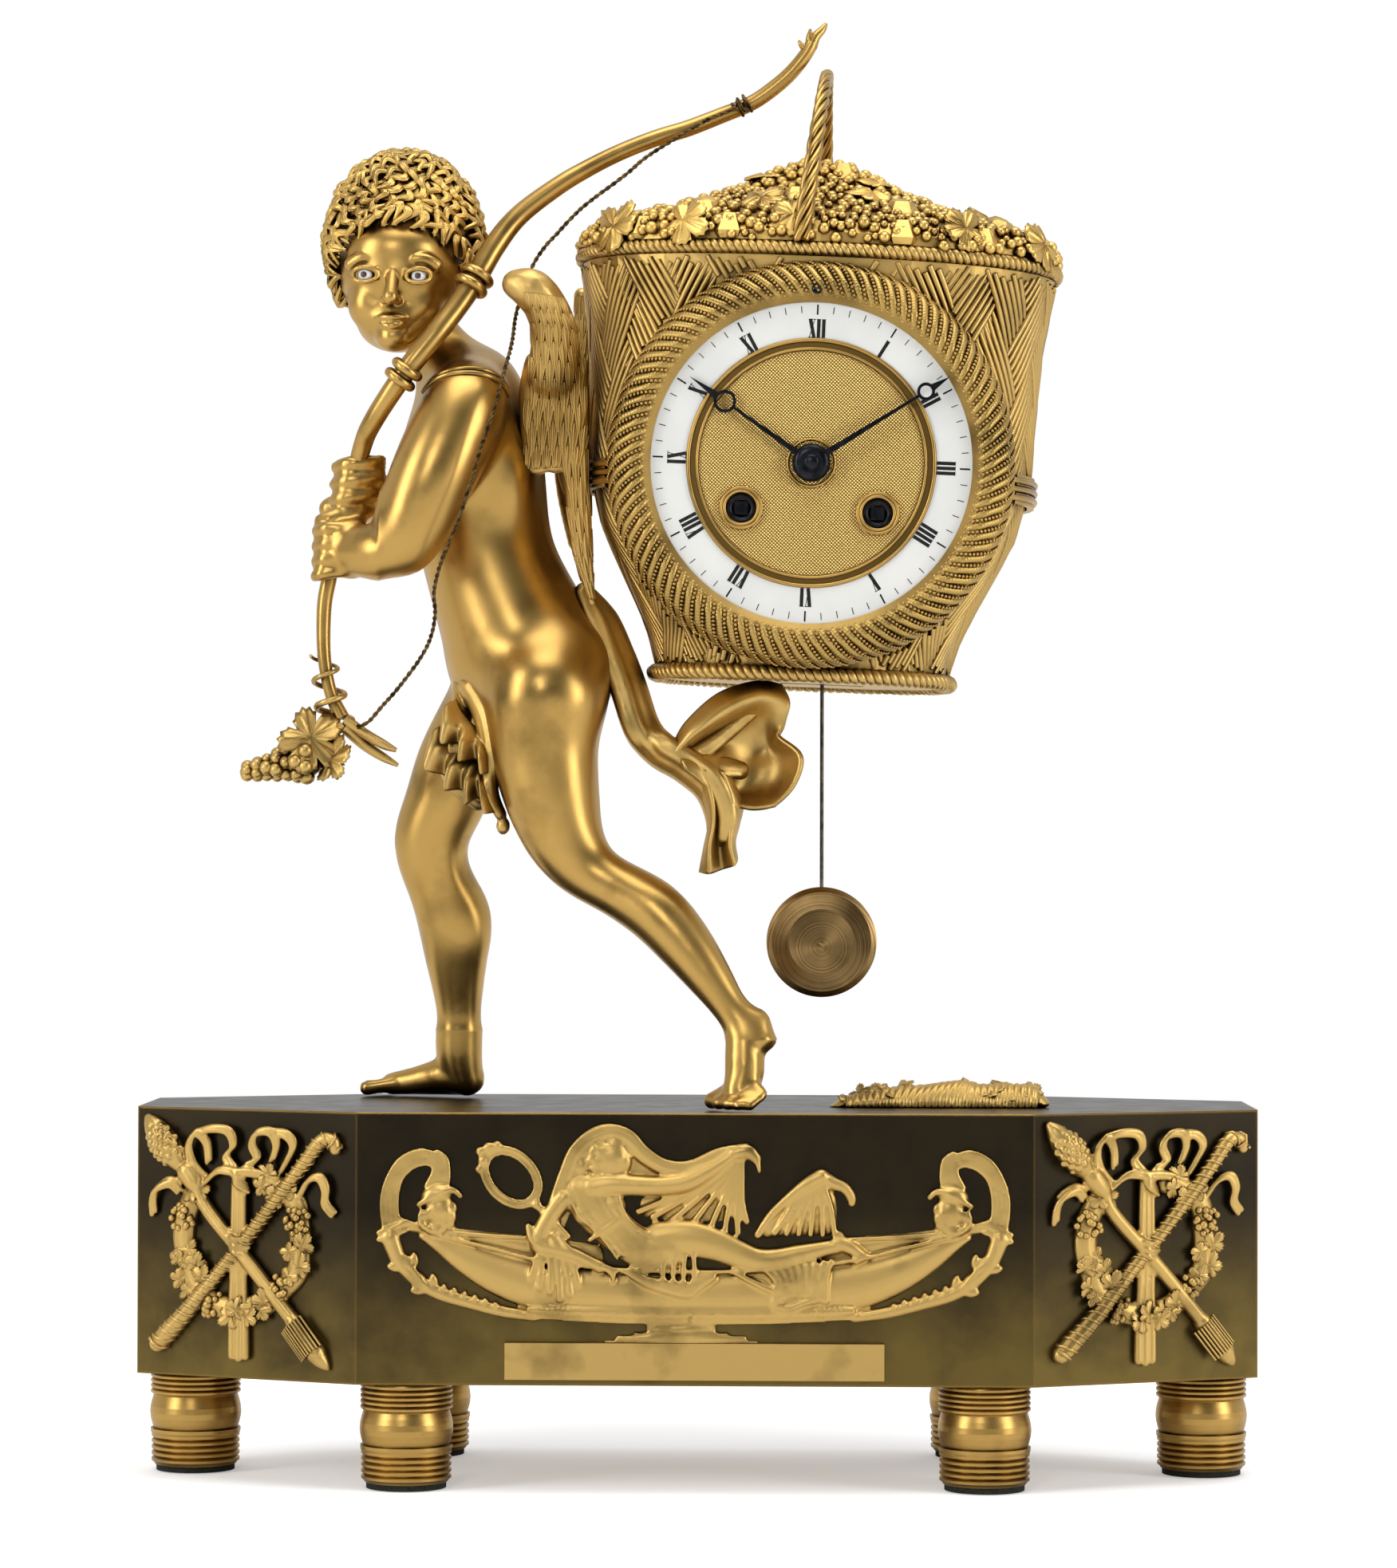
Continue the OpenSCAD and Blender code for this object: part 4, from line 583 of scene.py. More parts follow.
finish_piece("dial_borders", hoops(
    [((0, 0), DIAL_Y - 0.1, 34.6, 1.0), ((0, 0), DIAL_Y - 0.2, 37.2, 1.3), ((0, 0), DIAL_Y - 0.3, 7.1, 1.0)]
    + [((u, w), DIAL_Y - 0.5, r, 1.1) for r in (6.1, 5.1) for end, u, w in winding_holes], 0.5 * MM),
    "case", burnished, "burnished")

# Hands. Slender blued steel hands with a ring near the tip, and a dark domed nut over their collet.
# A thin dark turned ring in each winding hole round its square is painted shadow: it stands for the darkness inside
# the hole.
# Steel heated to blue-black: dark, with a narrow gloss.
blued = mottled("blued_steel", 400.0, 2.0, [(0.3, "14151A"), (0.7, "2C2D33")], {"Metallic": 0.9, "Roughness": 0.3})
for node in ("minute_hand", "hour_hand", "anchor", "going_square", "strike_square", "hammer"):
    dress(node, blued)


def turned(profile, place, steps=64):
    """A solid turned from a profile of (radius, depth along Y) round an axis along Y."""
    mesh = bmesh.new()
    verts = [mesh.verts.new((r * MM, y * MM, 0)) for r, y in profile]
    edges = [mesh.edges.new(pair) for pair in zip(verts, verts[1:])]
    bmesh.ops.spin(mesh, geom=verts + edges, cent=(0, 0, 0), axis=(0, 1, 0), angle=2 * pi, steps=steps,
                   use_merge=True)
    bmesh.ops.remove_doubles(mesh, verts=mesh.verts, dist=1e-6)
    bmesh.ops.recalc_face_normals(mesh, faces=mesh.faces)
    bmesh.ops.transform(mesh, verts=mesh.verts, matrix=place)
    return mesh


finish_piece("hand_nut", turned([(0, -58.6), (1.6, -58.5), (2.2, -58.1), (2.5, -57.4), (3.9, -57.5), (4.9, -57.1),
                                 (5.6, -56.3), (5.7, -56.0), (3.6, -56.0)], LEAN), "minute", blued, "blued_steel")

# Painted shadow: a dark ring standing for the darkness inside each winding hole.
hole_shadow_ring = [(2.9, -52.7), (4.58, -52.7), (4.58, -51.8), (2.9, -51.8), (2.9, -52.7)]
for end, u, w in winding_holes:
    finish_piece("winding_hole_shadow_ring_" + end, turned(hole_shadow_ring, LEAN @ Matrix.Translation(Vector((u, 0, w)) * MM), 40),
                 "case", blued, "blued_steel")

# Figure. One hollow bronze casting of a walking winged boy, chased smooth, mercury gilt and
# burnished. Its limbs swell and taper without a corner, so they are built of close-set balls.


def over_plinth(place):
    """A place in metres, of one in millimetres over the plinth's top."""
    return (Vector(place) + Vector((0, 0, TOP))) * MM


def turned_by(angles):
    """A turn by degrees about X, then Y, then Z."""
    turn = Matrix.Identity(4)
    for axis, angle in zip("ZYX", reversed(angles)):
        turn = turn @ Matrix.Rotation(radians(angle), 4, axis)
    return turn


def pour(mesh, data, place):
    """Adds a mesh to a bmesh at a place, and drops the mesh."""
    data.transform(place)
    mesh.from_mesh(data)
    bpy.data.meshes.remove(data)


unit_balls = {}
for fine in (1, 2, 3, 4):
    round_one = bmesh.new()
    bmesh.ops.create_icosphere(round_one, subdivisions=fine, radius=1)
    unit_balls[fine] = as_mesh(round_one, "unit_ball")


def form(mesh, centre, radii, turn=(0, 0, 0), fine=3):
    """Adds one ellipsoid, in millimetres over the plinth's top, turned by degrees about X, Y and Z."""
    if not isinstance(radii, (tuple, list)):
        radii = (radii, radii, radii)
    place = Matrix.Translation(over_plinth(centre)) @ turned_by(turn)
    pour(mesh, unit_balls[fine].copy(), place @ Matrix.Diagonal((*[r * MM for r in radii], 1)))


def limb(mesh, chain, per=4, fine=2):
    """Balls along a smooth curve through (x, y, z, radius) or (x, y, z, three radii)."""
    chain = [p if len(p) == 6 else (*p[:3], p[3], p[3], p[3]) for p in chain]
    points = [Vector(p[:3]) for p in chain]
    sizes = [Vector(p[3:]) for p in chain]
    for i in range(len(chain) - 1):
        count = max(2, round(per * (points[i + 1] - points[i]).length / (0.5 * sizes[i].x + 1)))
        for k in range(count + (i == len(chain) - 2)):
            form(mesh, spline_at(points, i, k / count), tuple(spline_at(sizes, i, k / count)), fine=fine)


def cast(mesh, name, voxel, smooth, factor=0.7):
    """Joins the forms of a bmesh into one closed skin, and smooths it."""
    data = as_mesh(mesh, name)
    holder = put(name, data)
    skin = holder.modifiers.new("skin", "REMESH")
    skin.mode = "VOXEL"
    skin.voxel_size = voxel * MM
    soft = holder.modifiers.new("soft", "SMOOTH")
    soft.iterations = smooth
    soft.factor = factor
    result = shaped(holder)
    bpy.data.meshes.remove(data)
    return result


def softened(data, chosen, iterations):
    """Smooths the chosen part of a mesh; chosen takes a place in millimetres over the plinth's top."""
    holder = put("soft", data)
    group = holder.vertex_groups.new(name="chosen")
    lift = Vector((0, 0, TOP))
    group.add([v.index for v in data.vertices if chosen(v.co / MM - lift)], 1.0, "REPLACE")
    soft = holder.modifiers.new("soft", "SMOOTH")
    soft.vertex_group = "chosen"
    soft.iterations = iterations
    soft.factor = 0.7
    result = shaped(holder)
    bpy.data.meshes.remove(data)
    return result


def fist(mesh, palm, finger_r, cover, slope):
    """A hand closed round the bow: palm, the back of the hand over a share of its front, and four fingers."""
    x, y, z = palm
    form(mesh, (x + 2.5, y + 1.5, z), (7, 5.5, 8.2), turn=(0, 12, 0))
    if cover:
        form(mesh, (x + 5.6 - cover, y - 4.4, z + 0.4), (6.8, 7.4, 9.4), turn=(0, -10, 0))
    for k in range(4):
        up = z + (1.5 - k) * finger_r * 2.02
        lean = slope * (1.5 - k) - (0.8, 0, 0.2, 1.2)[k]
        r = finger_r * (0.95, 1.06, 1.02, 0.86)[k]
        limb(mesh, [(x + 6.6 + lean, y + 0.5, up + 0.9, r * 0.8), (x + 5.6 + lean, y - 4.6, up + 0.8, r * 1.12),
                    (x + 1.6 + lean, y - 7.4, up + 0.2, r * 0.9), (x - 3.6 + lean, y - 7.2, up - 0.4, r * 1.06),
                    (x - 7.0 + lean * 0.3, y - 3.2, up - 1.0, r * 0.8)], fine=3)


body = bmesh.new()
limb(body, [
    (-51, 0, 131, 24, 28, 17), (-56, 0, 147, 25.4, 26.5, 14), (-62, 0, 162, 23.6, 24.5, 12),
    (-67, 0, 175, 22, 23, 12), (-69.5, 0, 190, 22.5, 25, 12), (-71, 0, 207, 22.3, 27.5, 12),
    (-71, 0, 219, 18.6, 29, 10), (-72, -2, 229, 14.5, 22, 9)],
    fine=4)
for centre, radii, turn in [
        ((-43.5, -13, 135), (18, 17, 19), (0, 0, 0)), ((-43.5, 13, 135), (18, 17, 19), (0, 0, 0)),
        ((-66, 0, 143), (14, 20, 20), (0, 12, 0)), ((-60, -13, 196), (10, 13, 20), (0, -8, 12)),
        ((-60, 13, 196), (10, 13, 20), (0, -8, -12)), ((-83, -12, 204), (11, 13.5, 11), (0, 8, 0)),
        ((-83, 12, 204), (11, 13.5, 11), (0, 8, 0)), ((-72, -24, 218), (12.6, 12, 12), (0, 0, 0)),
        ((-72, 24, 218), (12.6, 12, 12), (0, 0, 0)),
        ((-35.5, -18, 74.5), (9.6, 10.6, 8.6), (0, 30, 0)), ((-17, -24, 62.5), (13.5, 10.4, 9.6), (0, 24, 0)),
        ((-84, 21, 80), (10, 11.4, 10.4), (0, 0, 0)), ((-75, 25, 55), (10, 10.6, 17), (0, 0, 0))]:
    form(body, centre, radii, turn, fine=4)
limb(body, [(-77, -1, 229, 12.5), (-84, -3, 239, 10.5), (-88, -5, 247, 10)])
limb(body, [
    (-47, -17, 127, 20.2), (-48, -17, 112, 17.4), (-46, -18, 100, 16.2), (-43, -19, 87, 13.8), (-39, -20, 78.5, 11.8),
    (-34, -21, 72.6, 10.3), (-27.5, -23, 69, 9.8), (-20, -25, 65, 10.2), (-12.3, -27.5, 60, 10.6),
    (-3.8, -30.5, 50.6, 9.8), (4, -33.5, 40.2, 8.2), (11.5, -36, 29, 6.3), (15.5, -37, 22.5, 6.2)], fine=4)
limb(body, [
    (-64, 16, 127, 16), (-72, 18, 115, 14.8), (-77, 19, 106, 14.2), (-81, 20, 94, 13.6), (-86, 21, 84, 12.2),
    (-85.5, 22, 75.5, 11.6), (-82, 24, 67, 11.6), (-79, 26, 57, 12), (-78, 28, 46, 11), (-77.3, 30, 34, 9),
    (-77, 31, 24, 7.7), (-77, 31.5, 14, 7.4), (-75.5, 32, 7, 6.2)], fine=4)
# Near foot, on its toes: the heel is up, and the five toes press on the plinth.
limb(body, [(20.5, -37, 28.5, 4.8), (19, -37.5, 23, 6.2)])
limb(body, [(14.5, -37, 24, 5.8), (14.8, -38.5, 16, 6.4), (14.6, -39.5, 10.5, 6.2), (13, -41, 6.5, 5.2)])
form(body, (17.5, -36.5, 27), (2.4, 6.8, 2.6))
for x, y, r in [(5.6, -38, 2.9), (7.6, -42.3, 2.4), (10.4, -45.2, 2.3), (13.6, -47.2, 2.1), (17, -47.8, 1.9)]:
    limb(body, [(14.5 + 0.1 * (x - 14), -40 + 0.2 * (y + 40), 8, 3.6), (x + 3.4, y + 2.2, 5.6, r * 0.86),
                (x + 0.6, y + 0.3, r + 0.9, r * 0.9), (x - 0.6, y - 0.4, r, r)], fine=2)
# Far foot, flat on the plinth and pointing forward.
limb(body, [(-74.5, 32, 6, 5.8), (-80, 33, 7.6, 6), (-86, 35, 6.6, 5), (-92, 37, 5.2, 4.4), (-99, 39.5, 4, 3.8)])
limb(body, [(-74, 33, 6, 5.4), (-86, 38, 5, 4.6), (-96, 42, 3.8, 3.6)])
for x, y, r in [(-107, 37, 2.7), (-106.6, 40.4, 2.3), (-105.6, 43.3, 2.1), (-104, 45.8, 2), (-101.5, 48, 1.8)]:
    limb(body, [(-95, 39 + 0.4 * (y - 40), 4.4, 3.4), (x + 4, y - 0.5, r + 0.8, r * 0.85), (x, y, r, r)], fine=2)
limb(body, [
    (-70, -27, 220, 12), (-72.5, -31, 214, 14), (-77.5, -35, 202, 14.2), (-82.5, -37, 190, 13.8),
    (-87.5, -37, 177.5, 12.2), (-89.5, -36, 172.5, 11), (-93, -35, 171, 10), (-97, -34, 170.5, 9.2),
    (-102, -31.5, 170.6, 8.2), (-106, -28.5, 170.8, 7.4)], fine=4)
form(body, (-78.5, -37.5, 201), (11, 12, 16), (0, 22, 0))
limb(body, [
    (-70, 25, 222, 11.5), (-76, 29, 212, 12), (-86, 29, 197, 11.5), (-95, 21, 187, 10.2), (-101, 6, 189, 8.6),
    (-104, -6, 190.5, 7.4), (-105, -12, 190.5, 7)], fine=4)
fist(body, (-110.5, -24, 171), 2.35, 2.4, 0.5)
fist(body, (-105.5, -17, 190.5), 2.6, 0, 1.1)
limb(body, [(-106, -20, 181, 3.4), (-112, -25, 181.5, 2.7), (-116.5, -25.5, 180.5, 2.3)])
limb(body, [(-110, -12, 186, 5), (-114.5, -13, 185, 4)])
skin = cast(body, "figure", 0.9, 6)
skin = softened(skin, lambda p: not (p.x < -97 and 160 < p.z < 201) and p.z > 22, 55)
skin = softened(skin, lambda p: p.x > -92 and 128 < p.z < 205, 170)
surface = bmesh.new()
surface.from_mesh(skin)
# The furrow of the back, and a level sole.
for vert in surface.verts:
    x, y, z = vert.co / MM
    z -= TOP
    push = Vector((0, 0, 0))
    if 138 < z < 226 and x > -66:
        push.x -= 1.6 * exp(-(y / 3.4) ** 2) * min(1, (z - 138) / 12, (226 - z) / 12)
    if 112 < z < 142 and x > -50:
        push.x -= 4.5 * exp(-(y / 2.6) ** 2) * min(1, (z - 112) / 8, (142 - z) / 10)
    if z < 0.05:
        push.z -= z - 0.05
    vert.co += push * MM
surface.to_mesh(skin)
surface.free()
figure = finish_piece("figure_casting", skin, "case", burnished, "burnished")
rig.replaces(figure, "figure_body", "near_arm", "far_arm")

# Head. Cast apart and joined at the neck. The round child's face is calm, smooth and burnished, with
# half the ears under the curls, which are short, chased and matte; the eyes are enamelled.
# The places of its eyes, nose, lips and chin were read from the photograph, which is a fault.
EYES = [(-102.6, -28.6, 256), (-86, -30.2, 255.4)]
SKULL = (-92.5, -4.5, 268)
head = bmesh.new()
for centre, radii in [
        ((-92.5, -5, 270), (22, 22.5, 22)), ((-92.6, -11, 258), (19.6, 19.4, 17)),
        ((-93.6, -17, 264), (16.4, 13.6, 12)), ((-101.6, -19, 248), (7.4, 8, 8.2)),
        ((-86.6, -19.6, 248), (7.6, 8, 8.2)), ((-93.6, -14, 243.4), (13, 14.4, 9.8)),
        ((-94, -23.6, 237.4), (6, 5.6, 5)), ((-94.2, -22.6, 244), (9, 6, 7))]:
    form(head, centre, radii, fine=4)
smooth_head = cast(head, "head", 0.6, 40)
head = bmesh.new()
head.from_mesh(smooth_head)
# A short nose that rises softly out of the face.
limb(head, [(-94, -27.6, 259.5, 1.8), (-94.2, -29.4, 255.5, 1.9), (-94.4, -31.4, 251.4, 2.1),
            (-94.5, -32.2, 248.8, 2.5)], fine=2)
for side in (-1, 1):
    form(head, (-94.5 + side * 2.1, -29.6, 248.2), (1.6, 2, 1.5))
# Brows, and heavy calm lids: a hood over the upper third of each eye and a thin line under it.
for x, y, z in EYES:
    toward = Vector((-0.1 if x < -95 else 0.03, -1, 0)).normalized()
    across = Vector((-toward.y, toward.x, 0))
    centre = Vector((x, y, z))
    limb(head, [(*(centre + across * s - toward * (2.4 + 0.05 * s * s) + Vector((0, 0, 5.6 - 0.07 * s * s))), 2.4)
                for s in (-5, -2.5, 0, 2.5, 5)], fine=2)
    for rise, drop, r in ((2.1, 0.1, 1.05), (-2.3, 0.0, 0.95)):
        arc = [centre + across * (3.9 * cos(a)) + Vector((0, 0, rise * sin(a) + drop))
               + toward * (-0.1 + 1.95 * sin(a)) for a in [pi * k / 8 for k in range(9)]]
        limb(head, [(*q, r) for q in arc], per=2, fine=1)
    for s in (-4, 4):
        form(head, tuple(centre + across * s - toward * 1.1), (1.1, 1.3, 0.9), fine=2)
# Lips, closed, with level corners.
limb(head, [(-99.4, -26.6, 242.9, 0.7), (-96.8, -28.2, 243.1, 1.05), (-94.4, -28.9, 242.9, 1.1),
            (-92, -28.3, 243.1, 1.05), (-89.4, -26.8, 242.9, 0.7)], fine=2)
limb(head, [(-98.4, -26.6, 241.6, 0.7), (-96.4, -28, 240.6, 1.15), (-94.4, -28.5, 240.3, 1.25),
            (-92.4, -28.1, 240.6, 1.15), (-90.4, -26.8, 241.6, 0.7)], fine=2)
# Ears, half under the curls.
for side in (-1, 1):
    limb(head, [(-92.5 + side * 20.5, -6, 262, 2.2), (-92.5 + side * 21.5, -3, 258, 2.6),
                (-92.5 + side * 20, -6, 251, 2)], fine=2)
face = finish_piece("head_casting", cast(head, "head", 0.42, 5), "case", burnished, "burnished")
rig.replaces(face, "figure_head")

# Curls: locks spread evenly over the skull, and a row of fuller ones along the brow.
curl_lines, growth = [], []
rng = random.Random(7)
lock_count = 430
for k in range(lock_count):
    up = 1 - 1.62 * (k + 0.5) / lock_count
    turn = k * pi * (3 - sqrt(5))
    flat_out = sqrt(max(0, 1 - up * up))
    normal = Vector((flat_out * cos(turn), flat_out * sin(turn), up))
    hairline = -0.12 if normal.y < -0.15 else -0.62
    if normal.y < -0.35 and up < 0.1 + 0.28 * (1 - abs(normal.x)) or up < hairline:
        continue
    growth.append((normal, 0))
brow_count = 34
for k in range(brow_count):
    a = radians(-110 + 220 * k / (brow_count - 1))
    high = 0.02 * (-1) ** k - 0.38 + 0.666 * cos(a)
    growth.append((Vector((0.9 * sin(a), -0.3 - 0.66 * cos(a), high)).normalized(), 1))
for normal, fringe in growth:
    up = normal.z
    tall = 29 if normal.z > 0 else 26.2
    root = Vector(SKULL) + Vector((normal.x * 24.2, normal.y * 24.2, normal.z * tall))
    down = (Vector((0, 0, -1)) - Vector((0, 0, -1)).dot(normal) * normal)
    down = down.normalized() if down.length > 0.2 else Vector((1, 0, 0))
    swirl = 1.1 * sin(3 * math.atan2(normal.y, normal.x) + 5 * up) + rng.uniform(-0.3, 0.3)
    down = (Matrix.Rotation(swirl, 3, normal) @ down).normalized()
    side = normal.cross(down)
    hand = 1 if sin(7 * up + 2 * swirl) > 0 else -1
    long, wide, hook = rng.uniform(4.2, 5.8), rng.uniform(1.2, 1.9) * hand, rng.uniform(1.2, 1.7)
    lift = rng.uniform(0.9, 2.0) + 1.1 * fringe
    wide *= 1 + 0.5 * fringe
    for strand in (-1.5, -0.5, 0.5, 1.5):
        line = []
        for s in range(9):
            t = s / 8
            angle = (t - 0.15) * pi * hook * 1.25
            reach = long * (1.6 * t - 0.5) * (1 - 0.25 * t)
            where = (root + down * reach + side * (wide * sin(angle) + strand * 0.72 * (1 - 0.55 * t))
                     + normal * (lift * sin(pi * min(1, t * 1.1)) - 0.6 + (0.3 if abs(strand) < 1 else 0)))
            line.append((over_plinth(where), 0.3 + 0.42 * sin(pi * min(1, 0.15 + t * 0.8))))
        curl_lines.append(line)
# Its dark second colour is painted shade, laid into the hollows between the curls.
matte_hair = gilding("chased_matte_gilding", "E2BC6C", "553715", 0.5, 0.05, 0.4)
cap = bmesh.new()
cap.from_mesh(unit_balls[4])
below = [v for v in cap.verts if v.co.z < (-0.1 if v.co.y < -0.15 else -0.6)
         or v.co.y < -0.3 and v.co.z < 0.12 + 0.28 * (1 - abs(v.co.x))]
bmesh.ops.delete(cap, geom=below, context="VERTS")
for v in cap.verts:
    v.co.z *= 1.1 if v.co.z > 0 else 1
bmesh.ops.transform(cap, verts=cap.verts, matrix=Matrix.Translation(over_plinth(SKULL))
                    @ Matrix.Diagonal((23.9 * MM, 24.1 * MM, 26 * MM, 1)))
bmesh.ops.solidify(cap, geom=cap.faces, thickness=0.8 * MM)
cap.from_mesh(strand_mesh(curl_lines, 1.0 * MM, 5))
finish_piece("head_curls", cap, "case", matte_hair, "gilt")

# Basket. A cast and chased shell in the form of plaited straw: bands of six reeds that run over and
# under each other, tighter towards the foot, with a hole for the movement at front and back.
OVAL_POWER = 2 / 2.4
basket_levels = [(63, 74, 50), (42, 70.5, 48.5), (18, 69, 47), (0, 68.5, 47), (-18, 64, 45.5), (-30, 58, 43),
                 (-41, 52.5, 40.5), (-51, 48, 38.8), (-62, 45, 38)]
BEZEL_R, REAR_R = 60, 50
RIM_A, RIM_B, RIM_W = 74, 50, 67.6
WAIST_A, WAIST_B = 68.5, 47


def oval(a, b, angle):
    """A place on the basket's oval plan, with flat fronts and round ends."""
    c, s = cos(angle), sin(angle)
    return math.copysign(a * abs(c) ** OVAL_POWER, c), math.copysign(b * abs(s) ** OVAL_POWER, s)


def half_sizes(w):
    """The body's half width and half depth at a height over the dial's centre."""
    for (w1, a1, b1), (w0, a0, b0) in zip(basket_levels, basket_levels[1:]):
        if w >= w0:
            t = min(1, (w - w0) / (w1 - w0))
            return a0 + (a1 - a0) * t, b0 + (b1 - b0) * t
    return basket_levels[-1][1:]


quarter = [oval(WAIST_A, WAIST_B, pi / 2 * k / 90) for k in range(91)]
steps_of = [math.dist(p, q) for p, q in zip(quarter, quarter[1:])]
girth = 4 * sum(steps_of)


def angle_at(s):
    """The oval's angle at a length along its girth, counted from the right end."""
    side, rest = divmod((s / girth % 1) * 4, 1)
    rest *= sum(steps_of)
    if side % 2:
        rest = sum(steps_of) - rest
    k = 0
    while k < 89 and rest > steps_of[k]:
        rest -= steps_of[k]
        k += 1
    angle = pi / 2 * (k + rest / steps_of[k]) / 90
    return (angle, pi - angle, pi + angle, 2 * pi - angle)[int(side)]


def on_basket(s, w, lift):
    """A place over the basket's side, in millimetres in the basket's own frame."""
    a, b = half_sizes(w)
    x, y = oval(a + lift, b + lift, angle_at(s))
    return Vector((x, y, w))


reeds = []
steep = radians(62)
cell = girth / 14 / (4 * cos(steep))
lean = {way: Vector((way * cos(steep), sin(steep))) * cell for way in (1, -1)}
reed_n, reed_steps = 6, 9
for i in range(-16, 48):
    for j in range(-48, 16):
        for way, starts in ((1, (i - j) % 4 == 0), (-1, (j - i) % 4 == 1)):
            if not starts:
                continue
            corner = lean[1] * i + lean[-1] * j
            long, wide = lean[way] * 2, lean[-way]
            middle = corner + long / 2 + wide / 2
            if not (0 <= middle.x < girth and -75 < middle.y < 76):
                continue
            for k in range(reed_n):
                start = corner + wide * ((k + 0.5) / reed_n) - long * 0.03
                line = []
                for step in range(reed_steps + 1):
                    t = step / reed_steps
                    s, w = start + long * (1.06 * t)
                    p = on_basket(s, max(-61, min(62.5, w)), 0.55 * sin(pi * t) ** 0.7 - 0.75)
                    hole = BEZEL_R + 0.6 if p.y < 0 else REAR_R + 1.2
                    if -61 < w < 62.5 and math.hypot(p.x, p.z) > hole:
                        line.append((LEAN @ (p * MM), 0.72 + 0.34 * sin(pi * t) ** 0.5))
                        continue
                    if len(line) > 1:
                        reeds.append(line)
                    line = []
                if len(line) > 1:
                    reeds.append(line)
finish_piece("basket_weave", strand_mesh(reeds, 1.02 * MM, 6), "case", matte_gilt, "gilt")
for node in ("basket_shell", "basket_floor", "basket_belt"):
    dress(node, matte_gilt)

# Ropes of the basket: gilt mouldings chased as cords of two strands at the rim and at the foot.


def oval_path(a, b, w, steps):
    """A closed path round an oval, with points at even distances."""
    fine = [oval(a, b, 2 * pi * k / 720) for k in range(720)]
    gaps = [math.dist(fine[k], fine[(k + 1) % 720]) for k in range(720)]
    step, at, found = sum(gaps) / steps, 0.0, []
    for k in range(720):
        while at <= gaps[k] and len(found) < steps:
            t = at / gaps[k]
            p, q = fine[k], fine[(k + 1) % 720]
            found.append(LEAN @ (Vector((p[0] + (q[0] - p[0]) * t, p[1] + (q[1] - p[1]) * t, w)) * MM))
            at += step
        at -= gaps[k]
    return found


def laid_cord(name, path, radius, pitch, material, strands=2):
    """A closed cord of strands laid round a core."""
    length = sum((b - a).length for a, b in zip(path, path[1:] + path[:1]))
    turns = round(length / (strands * pitch * MM))
    lines = twisted(path, strands, turns, 0.46 * radius * MM, closed=True)
    mesh = bmesh.new()
    for part in (strand_mesh(lines, 0.58 * radius * MM, 6, closed=True),
                 strand_mesh([[(p, 1.0) for p in path[::4]]], 0.74 * radius * MM, 8, closed=True)):
        mesh.from_mesh(part)
    return finish_piece(name, mesh, "case", material, "gilt")


rim_cord = laid_cord("basket_rim_cord", oval_path(RIM_A, RIM_B, 65.3, 900), 2.3, 2.3, matte_gilt)
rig.replaces(rim_cord, "basket_rim_rope")
foot_cord = laid_cord("basket_foot_cord", oval_path(46, 39, -63.25, 640), 2.6, 2.6, matte_gilt)
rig.replaces(foot_cord, "basket_base_rope")
ridges = []
for w in (-5.6, -3, -0.4):
    for middle in (0, pi):
        line = []
        for k in range(-26, 27):
            x, y = oval(WAIST_A + 1.7, WAIST_B + 1.7, middle + radians(k * 1.9))
            line.append((LEAN @ (Vector((x, y, w)) * MM), 1.0))
        ridges.append(line)
finish_piece("basket_belt_ridges", strand_mesh(ridges, 1.0 * MM, 8), "case", burnished, "gilt")
screws = bmesh.new()
for end in (0, pi):
    for off in (-1, 1):
        x, y = oval(69.8, 48.3, end + off * radians(40))
        out_way = Vector((x / 69.8, y / 48.3, 0)).normalized()
        place = LEAN @ Matrix.Translation(Vector((x, y, -3)) * MM) @ out_way.to_track_quat("Z",
                                                                                           "X").to_matrix().to_4x4()
        for depth, r, tall in ((0.6, 1.5, 2.4), (2.1, 1.15, 0.9)):
            bmesh.ops.create_cone(screws, cap_ends=True, segments=20, radius1=r * MM, radius2=r * 0.86 * MM,
                                  depth=tall * MM, matrix=place @ Matrix.Translation((0, 0, depth * MM)))
finish_piece("basket_belt_screws", screws, "case", steel, "blued_steel", smooth=False)

# Heap. The basket's lid: grapes by the hundred among vine leaves and a few round fruits, cast in one
# and chased matte.
heap_levels = [(1, 0), (1, 0.1), (0.95, 0.22), (0.78, 0.34), (0.55, 0.5), (0.32, 0.72), (0.15, 0.94), (0.06, 1)]
HEAP_H = 30


def on_heap(share, angle, lift=0.0):
    """A place on the heap, from its rim at 0 to its crown at 1, and the way out of it."""
    at = share * (len(heap_levels) - 1)
    k = min(int(at), len(heap_levels) - 2)
    t = at - k
    size = heap_levels[k][0] * (1 - t) + heap_levels[k + 1][0] * t
    tall = heap_levels[k][1] * (1 - t) + heap_levels[k + 1][1] * t
    x, y = oval(size * RIM_A, size * RIM_B, angle)
    out_way = Vector((x / RIM_A ** 2 * 60 * (1.3 - share), y / RIM_B ** 2 * 45 * (1.3 - share),
                      0.25 + 0.8 * share)).normalized()
    return Vector((x, y, RIM_W + tall * HEAP_H)) + out_way * lift, out_way


rng = random.Random(11)
heap = bmesh.new()
grape_ball = bmesh.new()
bmesh.ops.create_uvsphere(grape_ball, u_segments=10, v_segments=6, radius=1)
grape_mesh = as_mesh(grape_ball, "grape")
taken = []


def standing(where, out_way):
    """The place of something that stands on the basket's lid, with its own Z along the way out."""
    return LEAN @ Matrix.Translation(where * MM) @ out_way.to_track_quat("Z", "X").to_matrix().to_4x4()


def add_ball(mesh, where, radii, out_way):
    """One grape or fruit, in the basket's own frame."""
    pour(mesh, grape_mesh.copy(), standing(where, out_way) @ Matrix.Diagonal((*[r * MM for r in radii], 1)))


